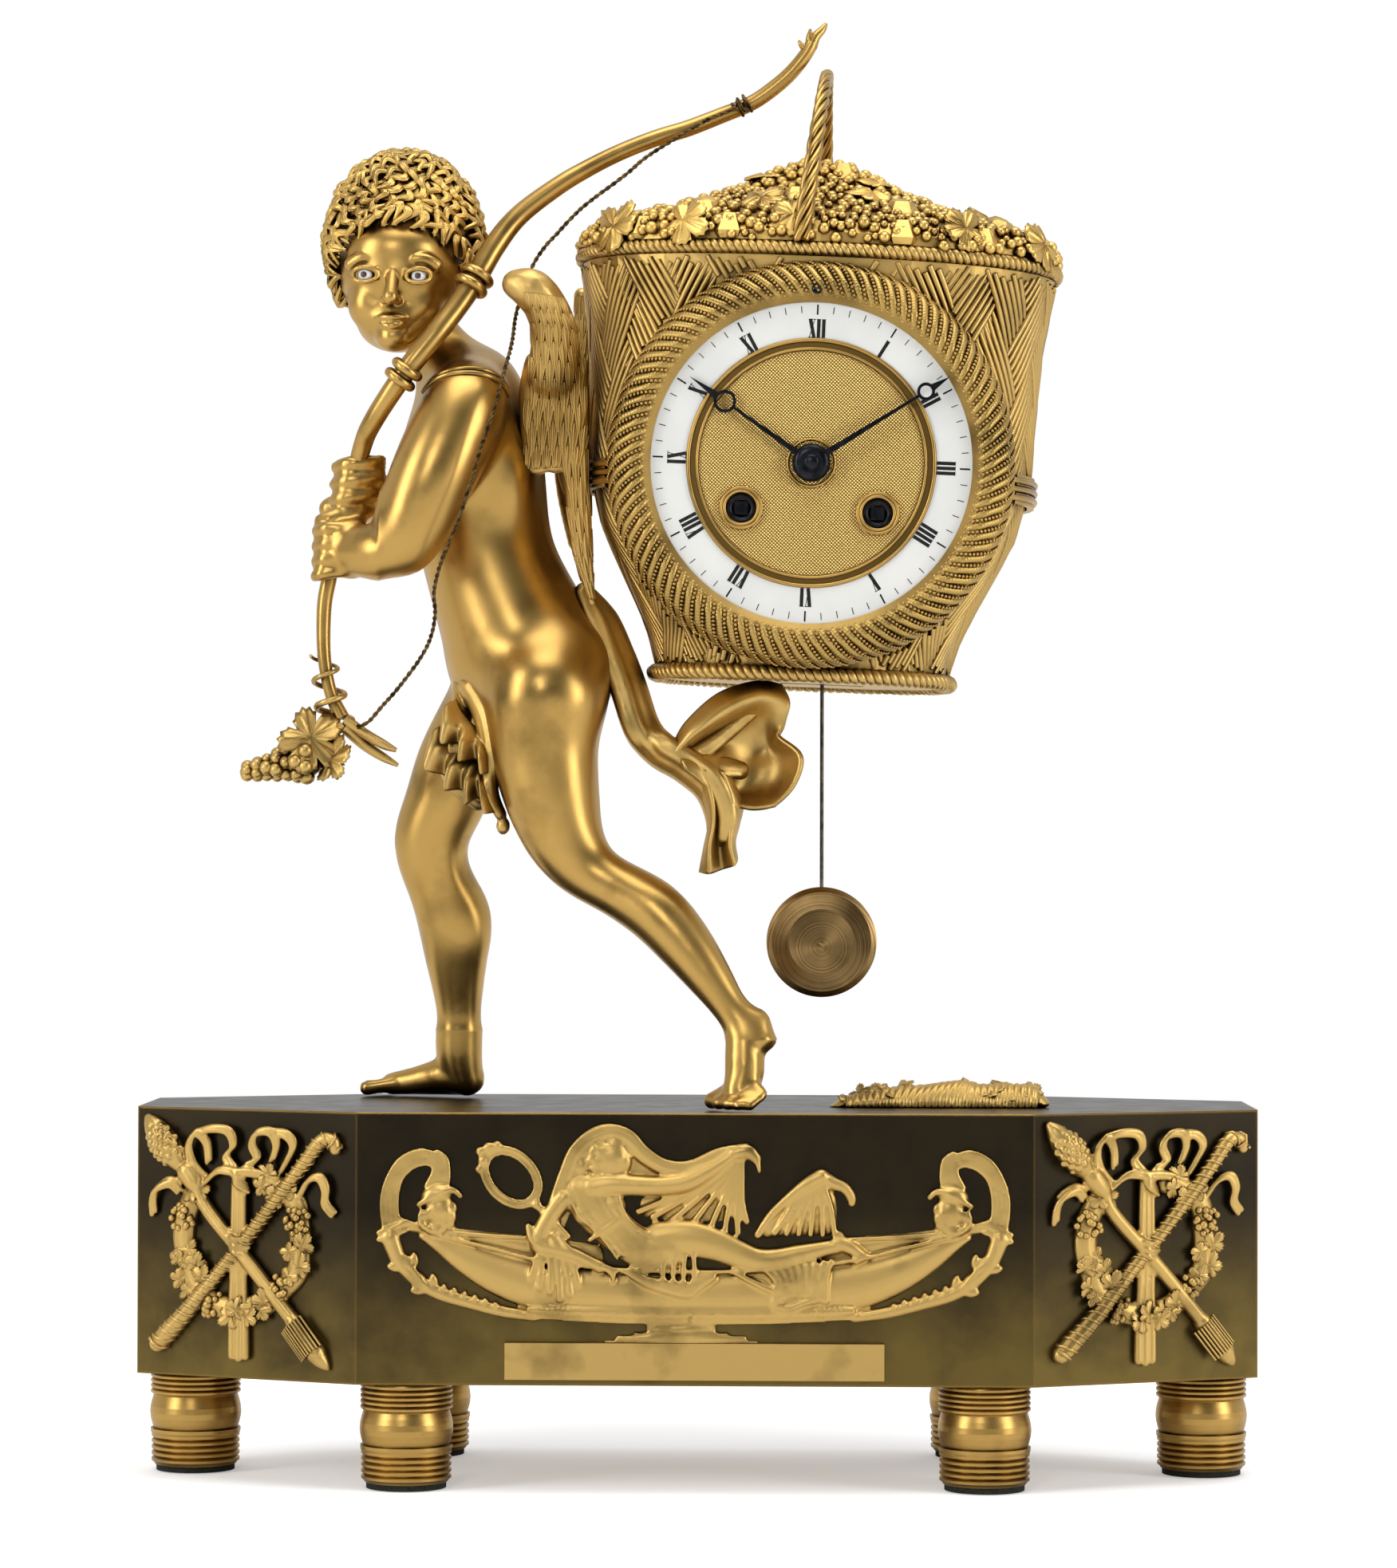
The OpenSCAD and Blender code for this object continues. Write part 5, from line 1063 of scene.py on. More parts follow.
fruits = [(0.42, -2.2, 6.4), (0.5, -1.1, 6.6), (0.3, -2.75, 5), (0.62, -1.75, 5.6), (0.36, -0.5, 6), (0.45, 0.6, 6.2),
          (0.5, 2.4, 6), (0.25, 1.6, 5.4), (0.72, 0.4, 4.6)]
for share, angle, r in fruits:
    where, out_way = on_heap(share, angle, -1.8)
    add_ball(heap, where, (r * 1.25, r * 0.9, r * 0.72), out_way)
    taken.append((where, r * 1.05))
leaf_spots = [(0.16, -2.52, 9.5), (0.2, -2.1, 8), (0.52, -1.9, 8), (0.24, -1.0, 8), (0.62, -1.2, 7.5),
              (0.3, -1.65, 7.5), (0.18, -0.45, 8.5), (0.48, -0.2, 8), (0.2, 0.4, 9), (0.55, 1.1, 8), (0.2, 1.1, 9),
              (0.22, 1.9, 9), (0.5, 2.0, 8), (0.18, 2.6, 9), (0.45, 2.9, 8), (0.75, -2.6, 6.5), (0.8, 1.6, 6.5),
              (0.72, -0.9, 6.5)]
for share, angle, r in leaf_spots:
    taken.append((on_heap(share, angle, 1.2)[0], r * 0.5))
for k in range(9000):
    share, angle = rng.random() ** 0.8, rng.uniform(0, 2 * pi)
    r = rng.uniform(1.25, 2.05)
    where, out_way = on_heap(share, angle, rng.uniform(-0.2, 1.3))
    if any((where - q).length < 0.82 * (r + q_r) for q, q_r in taken):
        continue
    taken.append((where, r))
    add_ball(heap, where, (r, r, r), out_way)


def vine_leaf(size, rng):
    """A five-lobed leaf, veined and a little cupped, that lies on its own XY plane."""
    mesh = bmesh.new()
    spokes, rings = 50, 5
    middle = mesh.verts.new((0, 0, 0))
    rows = []
    for ring in range(1, rings + 1):
        t = ring / rings
        row = []
        for k in range(spokes):
            a = 2 * pi * k / spokes
            lobe = abs(cos(2.5 * a)) ** 0.55
            edge = 0.56 + 0.44 * lobe + 0.05 * cos(25 * a)
            stretch = 1 + 0.18 * cos(a)
            vein = exp(-(sin(2.5 * a) / 0.25) ** 2)
            z = 0.13 * vein * (1 - 0.5 * t) - 0.05 * t - 0.16 * t * t * (0.6 + 0.4 * cos(3 * a + size))
            row.append(mesh.verts.new(Vector((cos(a) * edge * stretch * t, sin(a) * edge * t, z)) * size))
        rows.append(row)
    for k in range(spokes):
        mesh.faces.new((middle, rows[0][k], rows[0][(k + 1) % spokes]))
        for low, high in zip(rows, rows[1:]):
            mesh.faces.new((low[k], high[k], high[(k + 1) % spokes], low[(k + 1) % spokes]))
    bmesh.ops.recalc_face_normals(mesh, faces=mesh.faces)
    bmesh.ops.solidify(mesh, geom=mesh.faces, thickness=0.07 * size)
    bmesh.ops.rotate(mesh, verts=mesh.verts, cent=(0, 0, 0), matrix=Matrix.Rotation(rng.uniform(0, 6.28), 3, "Z"))
    return mesh


def lay_leaf(mesh, size, place, rng):
    """Adds one leaf to a mesh at a place."""
    pour(mesh, as_mesh(vine_leaf(size, rng), "leaf"), place @ Matrix.Scale(MM, 4))


for share, angle, r in leaf_spots:
    where, out_way = on_heap(share, angle, 2.4)
    lay_leaf(heap, r, standing(where, out_way), rng)
finish_piece("basket_heap_fruit", heap, "case", matte_hair, "gilt")
dress("basket_heap", matte_hair)

# Handle. Five gilt strands laid round each other, from the front of the rim over to the back.
arch = []
for k in range(91):
    a = radians(2 * k)
    arch.append(LEAN @ (Vector(((-6 if a < pi / 2 else 2.5) * (1 - sin(a)), -51 * cos(a),
                                RIM_W + 58 * sin(a))) * MM))
thin = [1 - 0.3 * sin(radians(2 * k)) for k in range(91)]
fine_arch, fine_thin = [], []
for k in range(90):
    for s in range(3):
        fine_arch.append(arch[k].lerp(arch[k + 1], s / 3))
        fine_thin.append(thin[k] + (thin[k + 1] - thin[k]) * s / 3)
handle = finish_piece("basket_handle_strands", strand_mesh(
    twisted(fine_arch, 4, 6.5, 1.75 * MM, fine_thin) + [[(p, t) for p, t in zip(fine_arch[::3], fine_thin[::3])]],
    1.25 * MM, 8), "case", burnished, "gilt")
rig.replaces(handle, "basket_handle")

# Bezel. A gilt ring chased like plaited straw: ninety slanting ridges of fine corrugated straw, with
# a row of small beads in each groove, and a small square-ended stop in a hole above the dial.
bezel_line = resampled([Vector((r, y, 0)) for r, y in [
    (50.6, -55.8), (52.2, -56.7), (54.6, -56.9), (57.4, -55.3), (59.7, -53.2), (61.1, -50.2), (61.5, -47.6)]], 0.3)
rows_n, beads_n, row_slant = 90, 15, radians(9.6)
STOP_U, STOP_W = -0.6, 52.4


def on_bezel(turn, share, lift):
    """A place on the bezel's rounded front; share goes from its inner edge at 0 to its outer at 1."""
    k = share * (len(bezel_line) - 2)
    here, ahead = bezel_line[int(k)], bezel_line[int(k) + 1]
    spot = here.lerp(ahead, k - int(k))
    along = (ahead - here).normalized()
    phi = turn + row_slant * (0.5 - share)
    r, y = spot.x + along.y * lift, spot.y - along.x * lift
    return LEAN @ (Vector((r * sin(phi), y, r * cos(phi))) * MM)


straws, beads = [], bmesh.new()
for k in range(rows_n):
    turn = 2 * pi * k / rows_n
    ridge = []
    for step in range(len(bezel_line) - 1):
        share = step / (len(bezel_line) - 1)
        ridge.append((on_bezel(turn + pi / rows_n, share, -1.12), 1 + 0.055 * cos(2 * pi * step / 3)))
    straws.append(ridge)
    for step in range(beads_n):
        spot = on_bezel(turn, 0.03 + 0.94 * step / (beads_n - 1), 0.22)
        pour(beads, unit_balls[2].copy(), Matrix.Translation(spot) @ Matrix.Scale(0.52 * MM, 4))
# Its dark second colour is painted shade, laid into the grooves between the straws.
straw_gilt = gilding("straw_gilding_with_painted_shade", "BC9C5A", "30240F", 0.55, 0.06, 0.4)
finish_piece("bezel_straw", strand_mesh(straws, 1.5 * MM, 10), "case", straw_gilt, "burnished")
finish_piece("bezel_beads", beads, "case", burnished, "burnished")
dress("bezel", straw_gilt)
finish_piece("bezel_stop", turned([(0, -56.9), (1.05, -56.9), (1.1, -57.15), (1.55, -57.15), (1.6, -56.2)],
                                  LEAN @ Matrix.Translation(Vector((STOP_U, 0, STOP_W)) * MM), 32), "case", blued,
                                  "blued_steel")
stop_end = bmesh.new()
stop_square = bmesh.ops.create_cube(stop_end, size=1)["verts"]
bmesh.ops.scale(stop_end, verts=stop_square, vec=(0.95 * MM, 0.5 * MM, 0.95 * MM))
bmesh.ops.bevel(stop_end, geom=stop_end.edges, offset=0.1 * MM, affect="EDGES", segments=2, profile=0.5, material=-1)
bmesh.ops.transform(stop_end, verts=stop_end.verts, matrix=LEAN @ Matrix.Translation(Vector((STOP_U, -56.9,
                                                                                             STOP_W)) * MM))
finish_piece("bezel_stop_end", stop_end, "case", steel, "blued_steel")

# Bow. Two horns of smooth gilt bronze joined at the collars, forked at the tip, with a tendril, a
# vine leaf and a bunch of grapes at its lower end.


def swept(chain, step=1.2):
    """A line for strand_mesh through (x, y, z, radius) in millimetres over the plinth's top."""
    points, sizes, line = [Vector(p[:3]) for p in chain], [Vector((p[3], 0, 0)) for p in chain], []
    for i in range(len(chain) - 1):
        count = max(2, round((points[i + 1] - points[i]).length / step))
        for k in range(count + (i == len(chain) - 2)):
            line.append((over_plinth(spline_at(points, i, k / count)), max(0.05, spline_at(sizes, i, k / count).x)))
    return line


bow_line = swept([
    (34.8, -16, 330, 2), (33.4, -16, 327, 2.1), (28.6, -16, 320.8, 2.3), (22.8, -16, 315.6, 2.4), (16, -16, 311, 2.4),
    (7, -16, 307.3, 2.5), (-3.7, -17, 303, 2.6), (-13, -18, 300, 2.6), (-23, -19, 296, 2.6), (-33, -20, 291, 2.7),
    (-43.5, -22, 284.5, 2.9), (-55.5, -24, 275, 3.2), (-63, -27, 265, 3.5), (-69, -30, 254, 3.6),
    (-75, -33, 244.5, 3.5), (-81.5, -36, 235.5, 3.4), (-90, -37, 224.5, 3.3), (-99.5, -32, 211, 3.1),
    (-103.5, -26, 203.5, 2.9), (-107, -20.5, 191, 2.7), (-110.5, -21, 177, 2.6), (-112.5, -22, 171.5, 2.5),
    (-114, -22, 163, 2.4), (-115.5, -22, 154, 2.3), (-115.5, -22, 139.5, 2.1), (-113.5, -22, 128, 2),
    (-110, -22, 120, 2.4)])
bow_piece = finish_piece("bow_horns", strand_mesh([bow_line], MM, 20), "case", burnished, "gilt")
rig.replaces(bow_piece, "bow")
finish_piece("bow_tip", strand_mesh([
    swept([(34.6, -16, 328.5, 1.9), (35.8, -15.8, 331.5, 1.6), (38, -15.4, 334, 1.2), (39.2, -15.2, 336, 0.5)], 0.5),
    swept([(34.6, -16, 328.5, 1.7), (34, -16.2, 331, 1.2), (34.3, -16.5, 334, 0.4)], 0.5),
    swept([(34, -16, 327.6, 1.4), (31.8, -16.6, 328.6, 1), (30.6, -17, 330.4, 0.35)], 0.5)], MM, 10),
    "case", burnished, "gilt")
dress("bow_collars", burnished)
knot = strand_mesh(twisted([(Vector((13, -19.4, 309.6 + TOP)) + Vector((0.2 * cos(a * 0.2), 0, 0))) * MM + (Vector(
    (0.35, 0.02, 0.16)) * MM * a) for a in range(-6, 7)], 1, 5, 2.9 * MM), 0.5 * MM, 6)
finish_piece("bow_string_binding", knot, "case", browned_wire, "wire")
tendril = [swept([(-112 - 4 * s + (5.1 - 1.4 * s) * cos(5 * pi * s), -22 + (5.1 - 1.4 * s) * sin(5 * pi * s),
                   119 + 20 * s, 1.25 - 0.7 * s) for s in [k / 30 for k in range(31)]], 0.8),
           swept([(-109, -22, 119, 2), (-103, -22.5, 115, 1.7), (-97, -23, 111.6, 1.5), (-93, -23, 109.8, 0.7)]),
           swept([(-109, -22, 117, 2), (-103, -21, 111.5, 1.7), (-97, -21, 107.6, 1.4), (-92.6, -21, 105.2, 0.6)]),
           swept([(-110, -22, 118, 2.3), (-114, -22.5, 114.6, 2), (-119, -22.5, 110.5, 1.6), (-126, -22, 106, 1.1),
                  (-139, -22, 103, 0.6)])]
tendril_piece = finish_piece("bow_tendril_vine", strand_mesh(tendril, MM, 8), "case", matte_gilt, "gilt")
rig.replaces(tendril_piece, "bow_tendril")
bunch = bmesh.new()
rng = random.Random(5)
for row in range(7):
    for k in range(7 - row // 2):
        spread = 7.4 - 0.95 * row
        turn = 2 * pi * k / (7 - row // 2) + 0.5 * row
        r = rng.uniform(2, 2.6) * (1 - 0.03 * row)
        where = (-120.5 - 3.1 * row, -22 + spread * cos(turn), 107 - 0.6 * row + 0.75 * spread * sin(turn))
        form(bunch, where, r, fine=2)
    form(bunch, (-121 - 3.1 * row, -22, 106.6 - 0.6 * row), 5.6 - 0.62 * row, fine=2)
for spot, size, tilt in [((-119, -28.4, 113.5), 11, (78, 0, 15)), ((-113, -27, 106.5), 8, (70, 10, -50)),
                         ((-121, -17, 112), 8.5, (-75, 0, 30))]:
    lay_leaf(bunch, size, Matrix.Translation(over_plinth(spot)) @ turned_by(tilt), rng)
cluster = finish_piece("grape_bunch", bunch, "case", matte_gilt, "gilt")
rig.replaces(cluster, "grape_cluster")

# Wings. Each is a casting with a burnished scroll at the top and rows of chased feathers, whose
# strokes run from the arch to the tips on both faces.


def feather_stroke(skin_tree, flat_y, panel, face, start, mid, strand):
    """One chased stroke down a face of a wing, from a share start of its panel's length."""
    left, right, rows, across = panel
    line = []
    for s in range(7):
        t = min(1, max(0, start + 1.5 * s / 6 / rows))
        share = mid + strand * 0.2 / across * (1 - (s / 6) ** 3)
        at = t * (len(left) - 1)
        i = min(int(at), len(left) - 2)
        lx, rx = (Vector(e[i]).lerp(Vector(e[i + 1]), at - i) for e in (left, right))
        p = lx.lerp(rx, share)
        outside = Vector((p.x, face * 90 + flat_y, p.y + TOP)) * MM
        hit = skin_tree.ray_cast(outside, Vector((0, -face, 0)))[0]
        if hit is None:
            continue
        arch = sin(pi * (s + 1) / 8)
        lift = 0.35 * arch - 0.12 + (0.12 if strand == 0 else 0)
        line.append((hit + Vector((0, face * lift * MM, 0)), (0.5 + 0.35 * arch) * (1.1 if strand == 0 else 0.9)))
    return line


def wing(name, chains, flat_y, panels, node, rng):
    """A wing from its chains of balls; a panel is a left edge and a right edge, rows and feathers across."""
    mesh = bmesh.new()
    for chain, thin in chains:
        limb(mesh, [(x, flat_y + (y - flat_y) * (thin if thin < 1 else 1), z, r, r * thin, r)
                    for x, y, z, r in chain], per=5)
    skin = cast(mesh, name, 0.6, 8)
    skin_tree = BVHTree.FromPolygons([v.co for v in skin.vertices], [p.vertices for p in skin.polygons])
    strokes = []
    for panel in panels:
        rows, across = panel[2:]
        for face, row, k in itertools.product((-1, 1), range(rows), range(across)):
            mid = (k + 0.5 + 0.5 * (row % 2)) / across
            if mid > 1:
                continue
            start = (row + rng.uniform(-0.1, 0.1)) / rows
            for strand in range(-2, 3):
                line = feather_stroke(skin_tree, flat_y, panel, face, start, mid, strand)
                if len(line) > 3:
                    strokes.append(line)
    piece = finish_piece(name, skin, "case", matte_gilt, "gilt")
    finish_piece(name + "_feathers", strand_mesh(strokes, 0.62 * MM, 6), "case", matte_gilt, "gilt")
    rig.replaces(piece, node)


rng = random.Random(3)
wing("near_wing_casting", [
    ([(-55.7, -36, 252.3, 4.6), (-51, -36, 250.6, 6.6), (-47, -33, 246, 6.8), (-44.3, -28, 238, 7.4),
      (-45, -23, 227, 8.4)], 1),
    ([(-46, -23, 227, 9), (-49.8, -21, 220, 6.4), (-50.4, -20, 211, 5.4), (-50, -19, 200, 5.2)], 0.5),
    ([(-45, -23, 226, 8.4), (-44.6, -20, 212, 7), (-44.6, -20, 201, 5.6)], 0.5),
    ([(-40, -23, 229, 6), (-38.8, -20, 210, 5.2), (-37.8, -19, 196, 4.4), (-37.2, -19, 184, 4),
      (-36.1, -19, 172.4, 3.5), (-34.1, -19, 161.7, 2.1), (-32.8, -19, 155.5, 1.2)], 0.55)], -19, [
    ([(-53, 249), (-51.5, 240), (-52.5, 228), (-54.6, 214), (-55, 197)],
     [(-41, 248), (-37.4, 238), (-35.4, 226), (-35, 212), (-36, 198)], 9, 6),
    ([(-42.5, 204), (-41, 185), (-38.5, 170), (-34, 157)], [(-34, 204), (-33.4, 185), (-32.6, 170), (-32, 157)], 6,
     3)],
    "near_wing", rng)
wing("far_wing_casting", [
    ([(-55, 14, 214, 5.5), (-45, 20, 222, 6)], 1),
    ([(-38.3, 28, 256.5, 2.8), (-37.6, 28, 250, 3.1), (-37.2, 26, 242, 4), (-38, 24, 231, 5), (-40.5, 21, 222, 6.5)],
     1),
    ([(-42, 20, 228, 6.5), (-46, 19, 216, 6), (-48, 19, 206, 4.4)], 0.5),
    ([(-41.5, 20, 228, 7), (-40.5, 19, 203, 5.6), (-38.5, 19, 181, 4.2), (-36, 19, 164, 2)], 0.5),
    ([(-42, 17, 222, 6.5), (-41.5, 18, 196, 5), (-39.5, 17.5, 177, 3)], 0.5)], 19, [
    ([(-41, 256), (-42, 240), (-48, 222), (-51, 204)], [(-35, 256), (-33.5, 240), (-34.5, 222), (-35, 204)], 8, 4),
    ([(-46, 204), (-43.5, 185), (-38.5, 165)], [(-35.5, 204), (-34.8, 185), (-34.5, 165)], 5, 3)],
    "far_wing", rng)

# Strap. A flat band over both shoulders holds the basket; its two raised edges run from the collar
# over the near shoulder to the wing.
tree = BVHTree.FromPolygons([v.co for v in figure.data.vertices], [p.vertices for p in figure.data.polygons])
straps = []
for shift in (0, 3.4):
    line = []
    for k in range(40):
        t = k / 39
        a, b, c, d = Vector((-90, -32, 226)), Vector((-76, -44, 230)), Vector((-62, -40, 230)), Vector((-50, -26,
                                                                                                        224))
        p = a * (1 - t) ** 3 + b * 3 * t * (1 - t) ** 2 + c * 3 * t * t * (1 - t) + d * t ** 3
        near, normal = tree.find_nearest((p + Vector((0.3, 0, TOP - shift))) * MM)[:2]
        line.append((near + normal * 0.15 * MM, 1.0))
    straps.append(line)
finish_piece("shoulder_strap", strand_mesh(straps, 0.85 * MM, 8), "case", burnished, "burnished")

# Draperies. Cast scarves: one knotted at the hip in front, and one that blows back from the hips,
# carries the basket's foot and ends in a hanging tail. Their folds run along them.


def folded(mesh, chain, folds, depth=0.3, twist=0.0):
    """A limb with ridges along it, like cloth gathered into a swag; folds are the ridges' angles."""
    limb(mesh, [(x, y, z, r * 0.86) for x, y, z, r in chain], per=5)
    points = [Vector(p[:3]) for p in chain]
    frames = frames_along(points)
    for angle in folds:
        ridge = []
        for i, (p, side, across) in enumerate(frames):
            a = radians(angle + twist * i / (len(frames) - 1))
            r = chain[i][3]
            off = Vector((0, -1, 0)) * cos(a) + (across if abs(across.y) < abs(side.y) else side) * sin(a)
            ridge.append((*(p + off * r * 0.74), max(1, r * depth)))
        limb(mesh, ridge, per=3, fine=2)


def cloth(mesh, guides, thick, fine=6):
    """A sheet of cloth laid smoothly through guide lines, each a list of points, and given a thickness."""
    sheet = bmesh.new()
    guides = [[Vector(p) for p in line] for line in guides]

    def smooth(points):
        return [spline_at(points, i, k / fine) for i in range(len(points) - 1) for k in range(fine)] + [points[-1]]

    along = [smooth(line) for line in guides]
    rows = [[sheet.verts.new(over_plinth(p)) for p in smooth([line[k] for line in along])]
            for k in range(len(along[0]))]
    for r0, r1 in zip(rows, rows[1:]):
        for i in range(len(r0) - 1):
            sheet.faces.new((r0[i], r0[i + 1], r1[i + 1], r1[i]))
    bmesh.ops.recalc_face_normals(sheet, faces=sheet.faces)
    bmesh.ops.solidify(sheet, geom=sheet.faces, thickness=thick * MM)
    pour(mesh, as_mesh(sheet, "cloth"), Matrix())


hip = bmesh.new()
folded(hip, [(-73.5, -6, 131, 4), (-74, -10, 121, 4.5), (-77, -12, 111, 5.6), (-74.5, -12, 101, 5.2),
             (-68, -13, 94.5, 4)],
       (-60, -10, 45))
folded(hip, [(-72, -12, 130, 3.4), (-66.5, -17, 120, 3.8), (-64.5, -18, 108, 3.8), (-64, -18, 97, 3),
             (-61, -16, 90, 2.2)],
       (-50, 0, 50))
folded(hip, [(-75, -12, 120, 3.2), (-70, -17, 112, 3), (-66, -18, 108, 2.6)], (-40, 30))
form(hip, (-60.4, -15, 86.6), (2.2, 2.2, 2.8))
hip_piece = finish_piece("hip_drapery", cast(hip, "hip_drapery", 0.5, 4), "case", matte_gilt, "gilt")
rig.replaces(hip_piece, "hip_cloth")
ends = bmesh.new()
frill = [((-77, -14, 119), (-84, -17, 111)), ((-75.5, -15, 116), (-84.5, -21, 104)),
         ((-74, -15, 113), (-78.5, -17, 102)), ((-72, -16, 111), (-78.5, -22, 97.5)),
         ((-70, -16, 109), (-73, -18, 97.5)), ((-68.5, -17, 107), (-72, -23, 93)),
         ((-67, -17, 106), (-67.5, -19, 95)), ((-65.5, -17, 104), (-66, -23, 90.5)),
         ((-63.5, -16, 103), (-61.5, -18, 91))]
cloth(ends, [[a, Vector(a).lerp(Vector(b), 0.55) + Vector((-1.2, -2.4, 1.5)), b] for a, b in frill], 1.1)
frill = [((-75, -14, 126), (-79.5, -17, 119)), ((-73.5, -15, 123), (-79.5, -22, 112)),
         ((-71.5, -16, 120), (-74, -18, 112)), ((-69.5, -17, 118), (-74, -23.5, 106.5)),
         ((-67.5, -17, 116), (-68.5, -19, 107)), ((-65.5, -18, 114), (-67, -24, 102.5)),
         ((-64, -17, 112), (-62.5, -19, 104))]
cloth(ends, [[a, Vector(a).lerp(Vector(b), 0.55) + Vector((-1, -2.6, 1.5)), b] for a, b in frill], 1.1)
finish_piece("hip_drapery_ends", ends, "case", matte_gilt, "gilt")
back = bmesh.new()
folded(back, [(-36, -6, 160, 3.5), (-30.5, -7, 151, 6.2), (-26, -9, 140, 7), (-22, -10, 130, 7), (-17.5, -11, 117, 7),
              (-12, -12, 110.5, 7), (-4, -13, 105.5, 6.8), (4, -14, 99, 7), (7.5, -14, 90.5, 6.6),
              (7.2, -14, 83, 5.2)],
       (-72, -34, 4, 44), 0.36, 25)
folded(back, [(-8, -12, 108, 6.5), (1, -11, 112, 6), (8.5, -9, 118, 5.6), (15.5, -7, 124, 5.4), (20, -7, 127, 5)],
       (-60, -10, 40), 0.26, -20)
folded(back, [(-2, -12, 106, 6.2), (6, -12, 105, 5), (13, -10, 104, 3.6)], (-50, 0, 45), 0.26)
back_piece = finish_piece("back_drapery", cast(back, "back_drapery", 0.7, 3), "case", matte_gilt, "gilt")
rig.replaces(back_piece, "back_cloth")
tails = bmesh.new()
cloth(tails, [[(-8, -17, 112), (-4, -18, 119), (6, -16, 128), (18, -12, 132), (26, -9, 131)],
              [(-7, -21, 110), (0, -22, 116), (10, -19, 123), (20, -16, 127), (28.5, -13, 125)],
              [(-6, -20, 108), (2, -14, 112), (12, -10, 116), (20, -10, 120), (26.5, -12, 118)],
              [(-5, -22, 107), (3, -18, 108), (13, -9, 109), (21, -6, 112), (24.5, -12, 114.5)],
              [(-4, -23, 105), (4, -20, 104), (14, -10, 103), (24, -9, 106), (31.5, -17, 108.5)],
              [(-3, -23, 103.5), (4, -21, 100), (12, -12, 97.5), (22, -12, 98), (29.5, -18.5, 100)],
              [(-1, -22, 102), (4, -22, 98), (9, -19, 95), (16, -19, 92.6), (23.5, -20, 93)]], 1.3)
cloth(tails, [[(-2, -17, 104), (1.5, -18, 95), (3, -18, 88), (1.6, -17, 80), (0.2, -16, 72.4)],
              [(2, -22, 104), (4.5, -22, 95), (5, -21, 88), (3.6, -21, 80), (3.6, -20, 71.8)],
              [(5, -19, 104), (7.5, -18, 95), (7.4, -17, 88), (6.8, -17, 80), (7.6, -16, 73.2)],
              [(8, -22, 103), (10.5, -22, 95), (10.6, -21, 88), (10, -21, 81), (11.6, -20, 74.6)],
              [(11, -17, 101), (14, -17, 93.6), (13, -16, 87), (11.8, -16, 82), (12.2, -14, 77.6)],
              [(11, -10, 99), (13, -10, 92), (11, -10, 86), (9, -11, 82), (8, -10, 79)]], 1.3)
finish_piece("back_drapery_ends", tails, "case", matte_gilt, "gilt")


# Front relief. One thin gilt casting, chased by hand and pinned to the plinth: a draped figure lies
# in a boat-shaped lamp on a low foot, and a helmeted head looks inwards under each curled-up end. The
# plain plaque under it is gilt alike.


def raised(mesh, chain, per=4, fine=2, side=1):
    """Balls along a curve on a flat ground: (across, up, out, radius) in millimetres; a side of -1 mirrors it."""
    limb(mesh, [(side * p[0], -p[2], p[1] - TOP, *p[3:]) for p in chain], per, fine)


def swelling(mesh, across, up, out, radii, turn=0, fine=3):
    """One ellipsoid on a flat ground; radii go across, out and up, and it turns in its own plane."""
    form(mesh, (across, -out, up - TOP), radii, (0, turn, 0), fine)


def applied(mesh, name, voxel, smooth, place):
    """Joins raised forms into one thin casting with a flat back, and puts it on its panel."""
    skin = cast(mesh, name, voxel, smooth, 0.5)
    for vert in skin.vertices:
        vert.co.y = min(vert.co.y, 0.25 * MM)
    skin.transform(place)
    return skin


